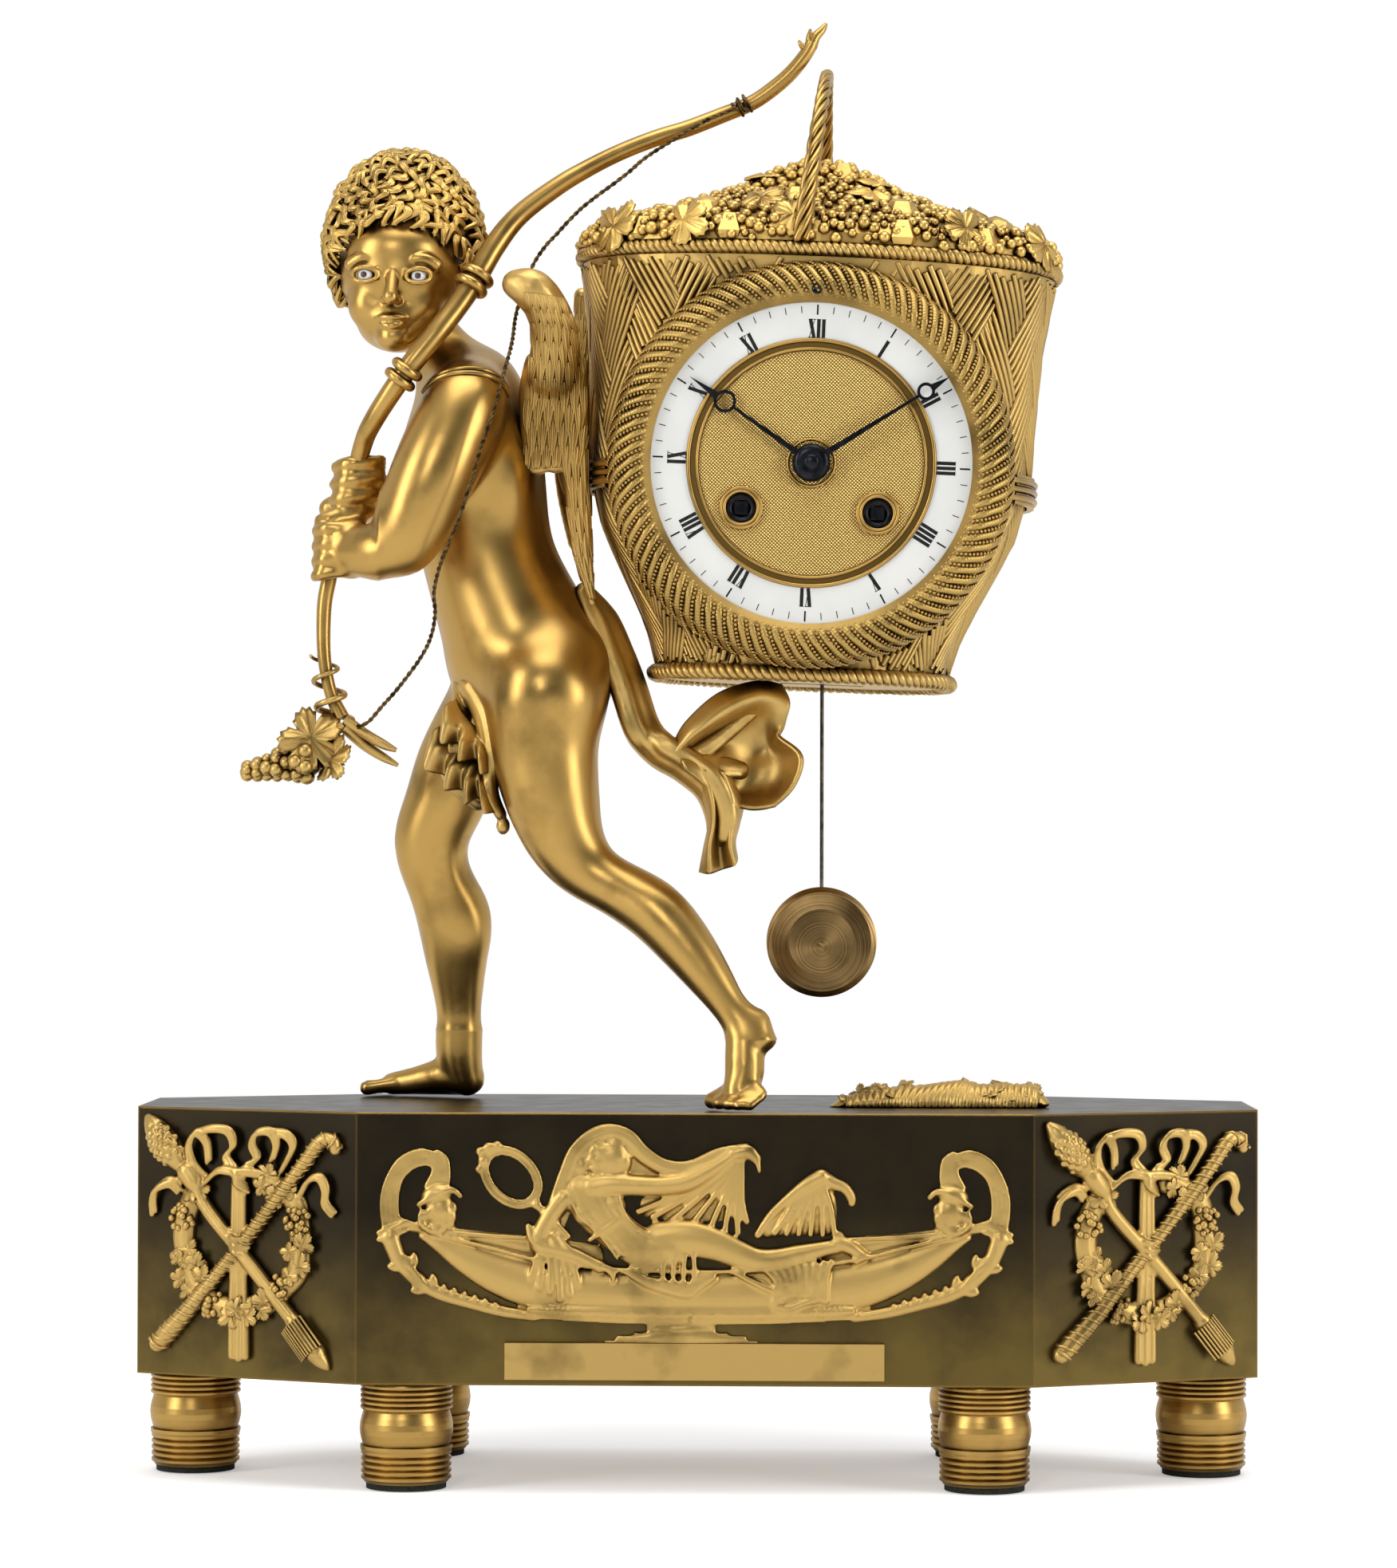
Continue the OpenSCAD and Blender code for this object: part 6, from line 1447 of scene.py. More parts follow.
relief = bmesh.new()
for side in (-1, 1):
    # The hull narrows and lifts to each end, and its dark-lined gunwale falls towards the middle.
    limb(relief, [(side * x, 0, z - TOP, 4, deep, tall) for x, z, tall, deep in [
        (0, -13.9, 7.7, 3.8), (14, -13.8, 7.7, 3.8), (28, -13.2, 7.6, 3.7), (40, -12, 7.6, 3.6),
        (50, -10.4, 7.4, 3.4), (58, -8, 6.9, 3.2), (65, -4.9, 6, 3), (71, -1.6, 4.6, 2.7), (76, 1.6, 2.8, 2.3),
        (79.4, 3.6, 1.2, 1.7)]], per=3, fine=3)
    raised(relief, [(79.4, 5, 2.1, 0.7), (70, 2.6, 2.7, 0.7), (60, 0.1, 3.1, 0.7), (49, -2.6, 3.3, 0.7),
                    (30, -5.2, 3.4, 0.7), (10, -6.3, 3.5, 0.7), (0, -6.4, 3.5, 0.7)], side=side)
    # Far side of the bowl, seen over the gunwale.
    limb(relief, [(side * x, 0, z - TOP, 3, 1.7, tall) for x, z, tall in [
        (88.6, 7.3, 2.2), (83, 6.4, 1.7), (77, 5.6, 1.5), (68, 3.9, 2.1), (58, 2.2, 2.7), (48, 0.6, 3.6),
        (30, -2, 4)]], per=4)
    raised(relief, [(88.8, 9, 1.6, 0.7), (80, 6.4, 1.9, 0.6), (72, 5, 1.9, 0.6), (60, 4.1, 1.9, 0.6),
                    (46, 3.5, 1.9, 0.6)], side=side)
    # Curled end: four round ribs side by side, held at the root by a double collar.
    for k in range(4):
        r = 1.5 * (k - 1.5)
        raised(relief, [(91.2 + r, 6.5, 1.4, 0.85), (91.9 + r, 14, 1.5, 0.85), (90.6 + r * 0.94, 20.5, 1.6, 0.85),
                        (87.4 + r * 0.72, 25.2 + r * 0.62, 1.7, 0.82), (83.2 + r * 0.28, 27.4 + r * 0.9, 1.7, 0.8),
                        (79.6 - r * 0.12, 27.2 + r * 0.82, 1.6, 0.74), (76.6 - r * 0.4, 25.4 + r * 0.62, 1.4, 0.66)],
                        per=5, side=side)
    for drop in (0, 2.1):
        raised(relief, [(87.3 - drop * 0.2, 7.8 - drop, 1.7, 0.95), (91.2, 6.2 - drop, 2.1, 1),
                        (95, 4.9 - drop, 1.7, 0.95)], side=side)
    # Stem with a leafy joint, and the keel that runs from it with a row of small bosses.
    raised(relief, [(91.6, 3.4, 1, 3), (90.4, 0, 1, 2.8), (88.8, -3.6, 1.1, 2.5), (86, -7, 1.1, 2.3),
                    (82, -10.6, 1.1, 2.2), (76, -13.6, 1.1, 2.2), (68, -16, 1.1, 2), (58, -18.6, 1.1, 1.9),
                    (48, -20.2, 1.1, 1.6)], side=side)
    for x, z, turn in [(90.4, -5.6, 20), (84.2, -3.2, -40), (83.4, -12.6, 30), (78.4, -9.4, -30), (87, -3, 0),
                       (82.5, -8.4, 0)]:
        swelling(relief, side * x, z, 1.6, (1.3, 1.6, 2.4), side * (turn + 50))
    raised(relief, [(89.6, -3.4, 2.4, 0.8), (85.4, -5.2, 2.7, 0.9), (81.2, -10.4, 2.6, 0.9), (78.6, -12, 2.2, 0.8)],
           side=side)
    for k in range(6):
        swelling(relief, side * (75.2 - 3.1 * k), -11.2 - 1.05 * k, 2, (0.8, 1.7, 1.1), side * 35, 2)
    # Helmeted head: neck, skull, plain brow, nose and chin, curls at ear and nape, visor and crest.
    swelling(relief, side * 76.6, 11.6, 0.6, (4.5, 3.7, 5.4))
    swelling(relief, side * 73.4, 9.8, 1.2, (1.9, 2, 2.2))
    swelling(relief, side * 72.6, 12.6, 1.4, (1.2, 1.5, 1.9), side * 12)
    swelling(relief, side * 73.4, 7.4, 1, (1.4, 1.7, 1.2))
    swelling(relief, side * 77.2, 6.6, 0.6, (3, 2.8, 3))
    swelling(relief, side * 74.6, 11.2, 3.2, (1.1, 1, 1.3))
    for k in range(15):
        a = radians(205 - 17 * k) if k < 8 else radians(300 - 19 * (k - 8))
        d = 4.6 if k < 8 else 3.1
        swelling(relief, side * (77.8 - d * cos(a)), 9.4 - 0.86 * d * sin(a), 2.2 + 0.3 * (k % 2), (1.2, 1.2, 1.2),
                 0, 2)
    swelling(relief, side * 77.6, 16.4, 1, (5, 3.4, 3.2), side * 14)
    raised(relief, [(70.6, 16, 1.6, 1), (72.6, 17.8, 2.8, 1), (76, 17.4, 3.6, 0.9), (80.6, 14.8, 3.1, 1),
                    (83, 13.4, 2, 1)], side=side)
    for k in range(7):
        t = k / 6
        raised(relief, [(75.8 + 5 * t, 18.6 + 0.3 * t, 1.6, 0.85),
                        (75.2 + 3.8 * t, 22.5 + 0.4 * sin(3 * t), 1.9, 0.75),
                        (75.4 + 2.2 * t, 26.4 + 1.4 * t, 1.6, 0.6)], per=3, side=side)
    raised(relief, [(74.8, 18, 1.6, 0.8), (74, 22, 1.8, 0.8), (74.8, 27.2, 1.6, 0.8), (77.6, 29.4, 1.4, 0.7)],
           side=side)
# Fluted band under the hull, its lower rim, the neck and the stepped oval foot.
for k in range(66):
    x = -50 + 1.5 * k
    edge = min(1, (52 - abs(x)) / 10)
    swelling(relief, x, -19.4 + 0.0006 * x * x, 2.5, (0.62, 1.5, 0.7 + 1.5 * edge), -24 if x > -2 else 24, 2)
raised(relief, [(-50, -20.3, 2, 0.6), (-30, -21.3, 2.2, 0.7), (0, -21.8, 2.3, 0.8), (30, -21.3, 2.2, 0.7),
                (48, -20.3, 2, 0.6)])
raised(relief, [(-50, -17.4, 2.9, 0.5), (-30, -17.6, 3.1, 0.5), (0, -17.8, 3.2, 0.5), (30, -17.6, 3.1, 0.5),
                (48, -17.4, 2.9, 0.5)])
raised(relief, [(-12, -23.4, 0.6, 3, 2.2, 1.9), (-4, -23.8, 0.9, 3, 2.6, 2), (4, -23.4, 0.6, 3, 2.2, 1.9)])
for up, half, out, r in [(-25.2, 14, 1.6, 0.7), (-26.4, 19, 1.2, 1), (-27.8, 22.6, 0.8, 0.9)]:
    raised(relief, [(-4 - half, up, out - 0.6, r * 0.8), (-4 - half * 0.5, up - 0.2, out + 0.8, r),
                    (-4, up - 0.3, out + 1.2, r), (-4 + half * 0.5, up - 0.2, out + 0.8, r),
                    (-4 + half, up, out - 0.6, r * 0.8)])
# Hand mirror: an open oval of two wires with a small scroll on top, and its handle.
for a_r, b_r, out, r in [(10.2, 7.4, 1.4, 0.95), (8.3, 5.6, 1.7, 0.6)]:
    raised(relief, [(-55.2 + a_r * cos(t) * 0.7 - b_r * sin(t) * 0.7, 21.6 - a_r * cos(t) * 0.7 - b_r * sin(t) * 0.7,
                     out, r) for t in [2 * pi * k / 16 for k in range(17)]])
for x, z, r in [(-63.8, 26.6, 1.6), (-64.6, 29.4, 1.5), (-62, 30.6, 1.7), (-59.4, 31.2, 1.5), (-65, 24, 1.3)]:
    swelling(relief, x, z, 1.4, (r, 1.6, r), 0, 2)
raised(relief, [(-47.4, 13.4, 1.6, 1.7), (-46, 11.8, 1.8, 1.1), (-44.6, 10.6, 1.9, 1.6), (-41, 7, 2.2, 1.2),
                (-38, 4, 2.4, 1)])
# Lying figure, in a thin dress: head in profile with a rolled hairstyle, turned to the raised arm.
swelling(relief, -24.9, 27, 1.2, (5.4, 3.6, 6.2), 8)
swelling(relief, -21.2, 26.4, 1.8, (2.2, 2.2, 3.4))
swelling(relief, -20, 26.6, 2.4, (0.9, 1.2, 1.3))
swelling(relief, -21.6, 22.4, 2, (1.6, 1.7, 1.4))
swelling(relief, -22.4, 27.8, 3.9, (1.2, 0.8, 0.7))
raised(relief, [(-26.6, 22.4, 1, 2.7), (-27.6, 18.4, 1, 3)])
rng = random.Random(21)
for k in range(34):
    a = rng.uniform(0.5, 3.9)
    d = rng.uniform(2.6, 6.2)
    swelling(relief, -26 + d * cos(a), 27.6 + 0.95 * d * sin(a), 4.2 - 0.32 * d, (1, 1, 1.25), rng.uniform(0, 180), 2)
swelling(relief, -34, 25, 1.4, (2, 1.8, 3))
# Veil: blown in an arch from the leaning elbow over the head to the raised hand.
for shift, out, r in [(0, 1.9, 1.25), (1.9, 2.3, 1), (3.7, 1.9, 0.9)]:
    raised(relief, [(-47.4 + shift, 3.6, out, r), (-43.4 + shift, 13, out, r), (-40 + shift, 22.6, out, r),
                    (-36.8 + shift * 0.9, 30 - shift * 0.4, out, r), (-31.6 + shift * 0.6, 35 - shift * 0.9, out, r),
                    (-25.6 + shift * 0.1, 36.8 - shift, out, r), (-19.4 - shift * 0.4, 34.9 - shift * 0.9, out, r),
                    (-14.6 - shift * 0.3, 29.8 - shift * 0.8, out, r), (-8.8, 26.2 - shift * 0.8, out, r),
                    (-1.6, 26 - shift * 0.8, out, r * 0.9), (7, 29.8 - shift * 0.7, out, r * 0.8),
                    (15.6, 31.4 - shift * 0.6, out, r * 0.8)], per=4)
limb(relief, [(x, 0.6, z - TOP, 3.2, 1.5, tall) for x, z, tall in [
    (-42, 8, 5), (-38, 17, 6), (-32, 24, 8), (-20, 25, 8), (-13, 24, 5), (-4, 21, 4)]], per=4)
# Raised arm and its hand, which holds the veil's hanging end.
raised(relief, [(-30.6, 18.6, 1.4, 4), (-25.4, 19.6, 2, 3.7), (-19.4, 19.4, 2.3, 3.3), (-11, 19.2, 2.4, 3),
                (-3, 20.2, 2.4, 3.1), (3, 23, 2.2, 2.7), (8.4, 26.4, 2, 2.1), (12, 28.9, 2, 2)])
raised(relief, [(12, 28.9, 2, 2.2), (15.6, 29.6, 2, 2.3), (18.4, 27.6, 2, 1.8)])
for k in range(4):
    raised(relief, [(13.4 + 1.2 * k, 30.9 - 0.6 * k, 2.6, 0.8), (17 + 0.6 * k, 30.6 - 1.5 * k, 3, 0.8),
                    (19.4, 27.6 - 1.3 * k, 2.4, 0.7)])
for x, z in [(-17, 11.4), (-12.6, 9.8), (-7, 8.6), (-1, 7.4), (4.6, 6), (9, 5), (13, 5.2), (15.6, 8.6)]:
    raised(relief, [(x, z, 1.3, 1.1), (x * 0.6 + 5, z * 0.55 + 10.4, 1.9, 0.95), (14.6, 27.2, 2.2, 0.7)])
limb(relief, [(x, 0.7, z - TOP, 3, 1.5, tall) for x, z, tall in [
    (-14, 13, 4), (-6, 13.4, 5), (2, 14, 6.4), (8, 15, 7.6), (12.4, 17, 8.4)]], per=4)
# Chest, waist and hips, with the dress drawn across them.
raised(relief, [(-33, 16.4, 1.2, 6.6, 3.4, 6.6), (-29, 11.6, 1.5, 7, 3.6, 6.8), (-24.4, 6.6, 1.4, 6.4, 3.3, 6),
                (-19.6, 2.6, 1.5, 6.6, 3.5, 6), (-14, -0.2, 1.7, 7.4, 3.7, 6.4), (-8, 0.4, 1.7, 7.6, 3.8, 6.2)],
                per=5, fine=3)
swelling(relief, -32.6, 10.8, 2.4, (4, 2.8, 3.8), 20)
swelling(relief, -24.4, 13.2, 2.4, (3.8, 2.7, 3.7), 20)
for k in range(7):
    t = k / 6
    raised(relief, [(-38.6 + 15 * t, 19.4 - 1.4 * t, 2.6 + 1.4 * sin(3 * t), 0.6),
                    (-35 + 13 * t, 11 + 2.4 * t, 4.5, 0.6), (-28.4 + 9.6 * t, 4.6 + 3.6 * t, 4.2, 0.6),
                    (-23 + 10 * t, -2.6 + 7 * t, 4.4, 0.55)])
raised(relief, [(-31.6, 3, 3.6, 0.8), (-26.6, 6.4, 4.6, 0.8), (-21.6, 10.2, 4, 0.8)])
# Legs: the near one lies straight along the rim with its foot crossed; the far one is drawn up.
raised(relief, [(-10, 2.6, 1.6, 6.6, 3.6, 6), (-2, 3.2, 1.8, 6.2, 3.7, 5.8), (6, 1.6, 1.9, 5.4, 3.5, 4.9),
                (13, -1.2, 2, 4.6, 3.2, 4.2), (18.6, -3, 2.1, 4.2, 3, 3.8), (24.6, -2.9, 2, 4, 2.9, 3.6),
                (31.6, -1.3, 1.9, 3.6, 2.7, 3.2), (38, 0.3, 1.8, 2.8, 2.3, 2.5), (43, 1.3, 1.8, 2.3, 2.1, 2.2)],
                per=5, fine=3)
raised(relief, [(43, 2.2, 1.9, 2.3), (46.6, 1, 2.1, 2.2), (50.4, -1.6, 2, 1.7)])
raised(relief, [(43.4, 4.6, 1.6, 1.4), (45, 1.6, 1.8, 1.6)])
for k in range(5):
    swelling(relief, 52.1 - 0.9 * k, -1.4 - 0.55 * k, 2.2, (0.85, 1.5, 0.7), 0, 2)
limb(relief, [(x, 0, z - TOP, 3, 2.4, tall) for x, z, tall in [
    (22, 6.4, 3), (27, 9.4, 5.4), (32, 11.6, 7.6), (37, 13.2, 9), (40, 12, 8)]], per=4)
raised(relief, [(19, 4.6, 1.8, 1.3), (23, 10.6, 2.2, 1.4), (28.6, 16, 2.4, 1.6), (34, 20, 2.5, 2.2),
                (38, 22.2, 2.4, 2.4)])
raised(relief, [(38, 22.4, 1.8, 2.2), (41.6, 20.2, 1.8, 2), (45, 18.8, 1.7, 1.7), (47, 16, 1.6, 1.5),
                (47.2, 14.2, 1.5, 1.2)])
for k in range(6):
    raised(relief, [(38.2 - 0.8 * k, 21, 3, 0.9), (41 - 2.8 * k, 12.6 - 0.6 * k, 2.7, 0.9),
                    (42 - 3.6 * k, 4.6 + 0.1 * k, 2.2, 0.9)])
# Leaning arm on the rim, and the cloth that hangs over the hull in three falls.
raised(relief, [(-39.4, 15.4, 1.4, 3), (-43.4, 10, 1.7, 3), (-46, 5, 1.9, 3), (-46.6, 1.4, 2.1, 2.9),
                (-42.6, 0.4, 2.6, 2.6), (-36.6, -1.2, 3, 2.2), (-31.6, -3.4, 3.2, 1.9), (-28.4, -5, 3.3, 2)])
for k in range(4):
    raised(relief, [(-28.6 + k * 0.8, -4.4 - 0.5 * k, 4, 0.75), (-25.6 + 0.4 * k, -5.2 - 0.9 * k, 4, 0.7),
                    (-23.8 - 0.2 * k, -6.6 - 0.9 * k, 3.8, 0.6)])
for k in range(4):
    raised(relief, [(-50 + 3 * k, 7 - k, 2.6, 1.1), (-48.6 + 3.6 * k, 2.6 - 0.7 * k, 4, 1),
                    (-44 + 3.6 * k, 0.6 - 1.2 * k, 4, 0.8)])
for low, low_z, out in [(-49, -8, 3), (-46.6, -11.4, 3.4), (-43.4, -12.6, 3.6), (-40.4, -14.8, 3.6),
                        (-37.4, -13.4, 3.4), (-35, -10, 3.2)]:
    raised(relief, [(0.7 * low - 13, -2.4, 3.4, 1), (0.9 * low - 4.2, 0.5 * low_z - 1.6, out + 0.2, 1),
                    (low, low_z, out, 1.15)])
for k in range(7):
    t = k / 6
    x0, x1 = -22 + 3 * t, 6.8 - 4 * t
    raised(relief, [(x0, -6 - 0.8 * t, 3.8, 0.8), (x0 + 8 - 2 * t, -8.6 - 5 * t * (1 - 0.1 * k), 4.1, 0.85),
                    (0.55 * x1 - 3, -10.4 - 3 * t, 4, 0.85), (x1 - 1, -8 + 0.6 * t, 3.9, 0.8)])
for k in range(4):
    raised(relief, [(-7.6 + 2.4 * k, -1.4 + 0.5 * (k % 2), 4.4, 0.8), (-9.6 + 3.2 * k, -6, 4.4, 0.9),
                    (-8.6 + 2.6 * k, -10.6, 3.9, 0.8)])
for k in range(9):
    t = k / 8
    raised(relief, [(22 + 19 * t, -6.4 + 3.4 * t, 3.6, 0.9), (24.6 + 15 * t, -9.8 + 1.2 * t, 3.9, 0.9),
                    (24 + 15.4 * t, -15.6 + 2.4 * sin(3 * t), 3.6, 1)])
raised(relief, [(24, -16.6, 3.4, 1), (28, -17.2, 3.6, 1.1), (33.4, -15.4, 3.6, 1.1), (38.4, -14.4, 3.4, 1)])
raised(relief, [(12, -6.6, 3.6, 0.8), (16, -8.6, 3.8, 0.9), (21, -11, 3.8, 1), (25, -12.6, 3.6, 1)])
# The casting stands four fifths as far out as its forms, so that it stays within its solid.
FRONT_Y, PANEL_Z, OUT_SHARE = -55, 73.5, 0.79
relief_skin = applied(relief, "front_relief", 0.55, 2, Matrix.Translation(Vector((0, FRONT_Y, PANEL_Z)) * MM))
for v in relief_skin.vertices:
    v.co.y = FRONT_Y * MM + (v.co.y - FRONT_Y * MM) * OUT_SHARE
relief_piece = finish_piece("front_relief_casting", relief_skin, "case", matte_gilt, "gilt")
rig.replaces(relief_piece, "front_relief")
dress("front_plaque", matte_gilt)

# Trophies. A gilt casting on each canted panel: a pine-topped staff and a crook laid crosswise over
# upright pipes, tied with ribbon and hung with a wreath of vine leaves and grapes.
trophy = bmesh.new()
raised(trophy, [(-19.4, 21.6, 1.6, 3.6), (-17, 18.6, 1.8, 3.3), (-15.4, 16, 1.8, 2.4), (-12.2, 10.2, 2, 2.3),
                (2, -5, 2.2, 2.3), (17.6, -22.4, 2, 2.4)])
raised(trophy, [(18, -23, 1.9, 3), (22, -28, 1.8, 3.3), (25.4, -32, 1.6, 3.4)])
raised(trophy, [(26.4, -33.4, 1.5, 2.8), (28, -35.2, 1.2, 1.8), (29.2, -36.6, 0.8, 0.7)])
raised(trophy, [(-22.6, 24.6, 1.6, 3.2), (-24.8, 27.2, 1.6, 4.2), (-28, 31, 1.6, 4.4), (-31, 34.6, 1.6, 3.4),
                (-33.6, 37.6, 1.2, 1.4)], per=5)
for ring in range(8):
    t = ring / 7
    size = 4.2 * sin(pi * (0.28 + 0.66 * t)) + 0.5
    for k in range(-2, 3):
        a = 0.62 * (k + 0.5 * (ring % 2))
        if abs(a) < 1.5:
            swelling(trophy, -24 - 8.6 * t + 0.75 * size * sin(a), 26.2 + 10.2 * t + 0.66 * size * sin(a),
                     1.5 + size * cos(a), (1.15, 1, 1.15), 0, 2)
# Upright pipes, which spread a little towards their foot, and the ribbon's bow and fluttering ends.
for k in (-1, 0, 1):
    raised(trophy, [(-1.2 + 1.5 * k, 22.6, 2, 1.05), (-1.2 + 1.7 * k, 10, 2, 1.15), (-1.4 + 2 * k, -10, 1.6, 1.3),
                    (-1.4 + 2.3 * k, -24, 1.4, 1.4), (-1.4 + 2.3 * k, -34.6 + 0.6 * abs(k), 1.3, 1.45)])
ribbon_runs = [
    [(-31.6, 8.6, 1.2), (-31.4, 12.6, 2), (-29.6, 16, 2.8), (-25, 17.6, 2.4), (-22.4, 15.6, 1.6)],
    [(-30, 16.6, 1.4), (-26, 18.8, 2), (-22, 17.8, 1.6)],
    [(-13, 19.4, 1.6), (-17.2, 24, 2.4), (-18.4, 29.6, 2.8), (-15.6, 33.6, 3), (-12.6, 30.6, 2), (-12, 25, 1.6)],
    [(-15.6, 33.6, 2.6), (-9.8, 35, 3.2), (-4.4, 34.2, 3), (-3, 30, 2.4), (-5.6, 26.6, 2.2), (-2.6, 22.8, 2.6)],
    [(1.4, 24, 2.6), (5.4, 26.2, 2.4), (3.8, 30.4, 2.8), (5.6, 34, 3.2), (10.4, 34.4, 3.2), (12, 30.6, 2.4),
     (10.4, 26, 2)],
    [(10.4, 34.4, 2.6), (15.4, 33.8, 2.8), (17.8, 30.6, 2.4), (15.6, 26, 2), (13, 22, 1.8)],
    [(19.6, 15.4, 1.6), (23, 20, 2.4), (27, 21.2, 2.8), (29, 17.6, 2.6), (28.6, 13.4, 2), (31, 10.2, 1.4)],
    [(-13, 18.4, 2), (-8, 22.2, 2.8), (-1.4, 22, 3.4), (6, 21.6, 2.6), (12, 19.4, 2)]]
for run in ribbon_runs:
    for shift in (-0.85, 0.85):
        raised(trophy, [(u + shift * 0.7, z + shift * 0.7, out, 0.95) for u, z, out in run], per=5)
for k in range(3):
    raised(trophy, [(-5.4 + 0.6 * k, 3.8 - 2 * k, 2.4, 0.9), (-1.4, 1.6 - 2.1 * k, 4.2, 0.9),
                    (3 - 0.4 * k, 1.8 - 2.6 * k, 2.6, 0.8)])
    raised(trophy, [(-4.4 + 0.8 * k, 23.6 - 1.2 * k, 2.4, 0.85), (-1.2, 21.4 - 1.6 * k, 3.8, 0.85),
                    (1.6 + 0.4 * k, 18.4 - 1.2 * k, 2.4, 0.8)])
wreath = [(-16.2, 16.6), (-20, 9.2), (-21.2, 1.1), (-19.4, -6), (-16.4, -13.4), (-9.9, -18.4), (-1.8, -20.2),
          (6.3, -18.4), (13.4, -13.2), (18.4, -7.4), (19.2, -1), (19, 6.1), (17.6, 13), (11.4, 18), (6.4, 19.6)]
raised(trophy, [(u, z, 0.6, 3.9, 2.4, 3.9) for u, z in wreath], per=3)
rope_core = [(-29.8, -31.4, 1.4, 3.2), (-26.4, -28, 1.7, 3.4), (-16.8, -18.4, 2, 3), (-7.6, -8, 1.8, 2.6),
             (1.7, 2.2, 1.9, 2.4), (10, 11.8, 2.2, 2.4), (16.7, 19.6, 2.4, 2.4), (22.4, 26.4, 2.2, 2.4),
             (25.4, 30.4, 2, 2.5), (28.2, 32.6, 1.9, 2.5), (31.2, 32, 1.8, 2.3), (31.8, 29.6, 1.7, 2)]
raised(trophy, [(u, z, out, r * 0.9) for u, z, out, r in rope_core], per=5)
trophy_skin = applied(trophy, "trophy", 0.42, 2, Matrix())

# The crisp part of the same casting: grooves of the crook, scales' tips, flutes, leaves and grapes.
trim = bmesh.new()
core = resampled([Vector((u, -out, z)) * MM for u, z, out, r in rope_core], 0.7 * MM)
swell = [1.25 - 0.32 * min(1, i / 45) for i in range(len(core))]
grooves = [[(p, 0.8 * share) for p, share in line] for line in twisted(core, 2, 17, 2.45 * MM, swell)]
trim.from_mesh(strand_mesh(grooves, 0.62 * MM, 6))
flutes = [[(Vector((17.6 + 0.75 * k + 7.2 * t, -1.9 - 3 * cos(0.28 * k) * (1 + 0.05 * t),
                    -23.4 + 0.66 * k - 8.6 * t)) * MM, 1.0)
           for t in (0, 0.5, 1)] for k in range(-4, 5)]
trim.from_mesh(strand_mesh(flutes, 0.42 * MM, 6))
rng = random.Random(31)
garland = resampled([Vector((u, 0, z)) for u, z in wreath], 0.5)


def flat_place(u, out, z, tilt, lean):
    """The place of a leaf on a flat ground, tipped by two angles in degrees."""
    return (Matrix.Translation(Vector((u, -out, z)) * MM) @ Matrix.Rotation(radians(tilt), 4, "X")
            @ Matrix.Rotation(radians(lean), 4, "Z") @ Matrix.Rotation(radians(90), 4, "X"))


bunches = (0.1, 0.36, 0.62, 0.83)
for share in (0.02, 0.2, 0.26, 0.3, 0.45, 0.5, 0.55, 0.7, 0.75, 0.93, 0.98):
    spot = garland[int(share * (len(garland) - 1))]
    for side in (-1, 1):
        u, z = spot.x + side * rng.uniform(1, 3) * (1 if abs(spot.x) > 12 else 0.4), spot.z + side * rng.uniform(0,
                                                                                                                 2.6)
        lay_leaf(trim, rng.uniform(3.3, 4.4), flat_place(u, rng.uniform(2.9, 3.6), z, rng.uniform(-22, 22),
                                                         rng.uniform(-22, 22)), rng)
for share in bunches:
    spot = garland[int(share * (len(garland) - 1))]
    for k in range(17):
        a, d = rng.uniform(0, 6.28), 4.4 * sqrt(rng.random())
        r = rng.uniform(1.05, 1.4)
        where = Vector((spot.x + d * cos(a), -3.4 + 0.16 * d * d / 2, spot.z + d * sin(a))) * MM
        pour(trim, grape_mesh.copy(), Matrix.Translation(where) @ Matrix.Scale(r * MM, 4))
trim_data = as_mesh(trim, "trophy_trim")
CANT_X, CANT_Y, CANT_TURN = 137, -40, 23.2
for side, end in ((-1, "left"), (1, "right")):
    place = (Matrix.Translation(Vector((side * CANT_X, CANT_Y, PANEL_Z)) * MM)
             @ Matrix.Rotation(radians(side * CANT_TURN), 4, "Z"))
    for name, data in (("casting", trophy_skin), ("wreath", trim_data)):
        own = data.copy()
        own.transform(place)
        piece = finish_piece("trophy_%s_%s" % (end, name), own, "case", matte_gilt, "gilt")
        if name == "casting":
            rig.replaces(piece, "trophy_" + end)

# Leaf mount. A small casting of overlapping curled leaves that lies on the plinth's top behind the
# figure, its edge cut upright into flutes.
mount = bmesh.new()
mount_top = [(43.6, 0.8), (47.3, 4), (52.3, 4.8), (57.2, 6), (62.1, 6.8), (67.1, 7), (72, 8), (78.6, 8.6),
             (83.5, 7.2), (90.1, 7.4), (95.9, 7.5), (103, 7.2), (106, 3)]
limb(mount, [(x, -16.4, h * 0.42, 3, 4.4, h * 0.5) for x, h in mount_top], per=4)
for k in range(29):
    x = 46.5 + 2.05 * k
    h = [h0 + (h1 - h0) * (x - x0) / (x1 - x0) for (x0, h0), (x1, h1) in zip(mount_top,
                                                                             mount_top[1:]) if x0 <= x <= x1][0]
    sway = 1.2 + 5 * sin(pi * min(1, max(0, (x - 56) / 30)))
    limb(mount, [(x, -21.6, 0.6, 0.95), (x + 0.3, -21.3, 0.38 * h, 1), (x + 0.4 * sway, -19, 0.78 * h, 1),
                 (x + 0.8 * sway, -15.6, 0.9 * h, 0.9), (x + sway, -12.6, 0.7 * h, 0.8)], per=3)
mount_piece = finish_piece("leaf_mount_casting", cast(mount, "leaf_mount", 0.4, 2, 0.5), "case", matte_gilt, "gilt")
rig.replaces(mount_piece, "leaf_mount")
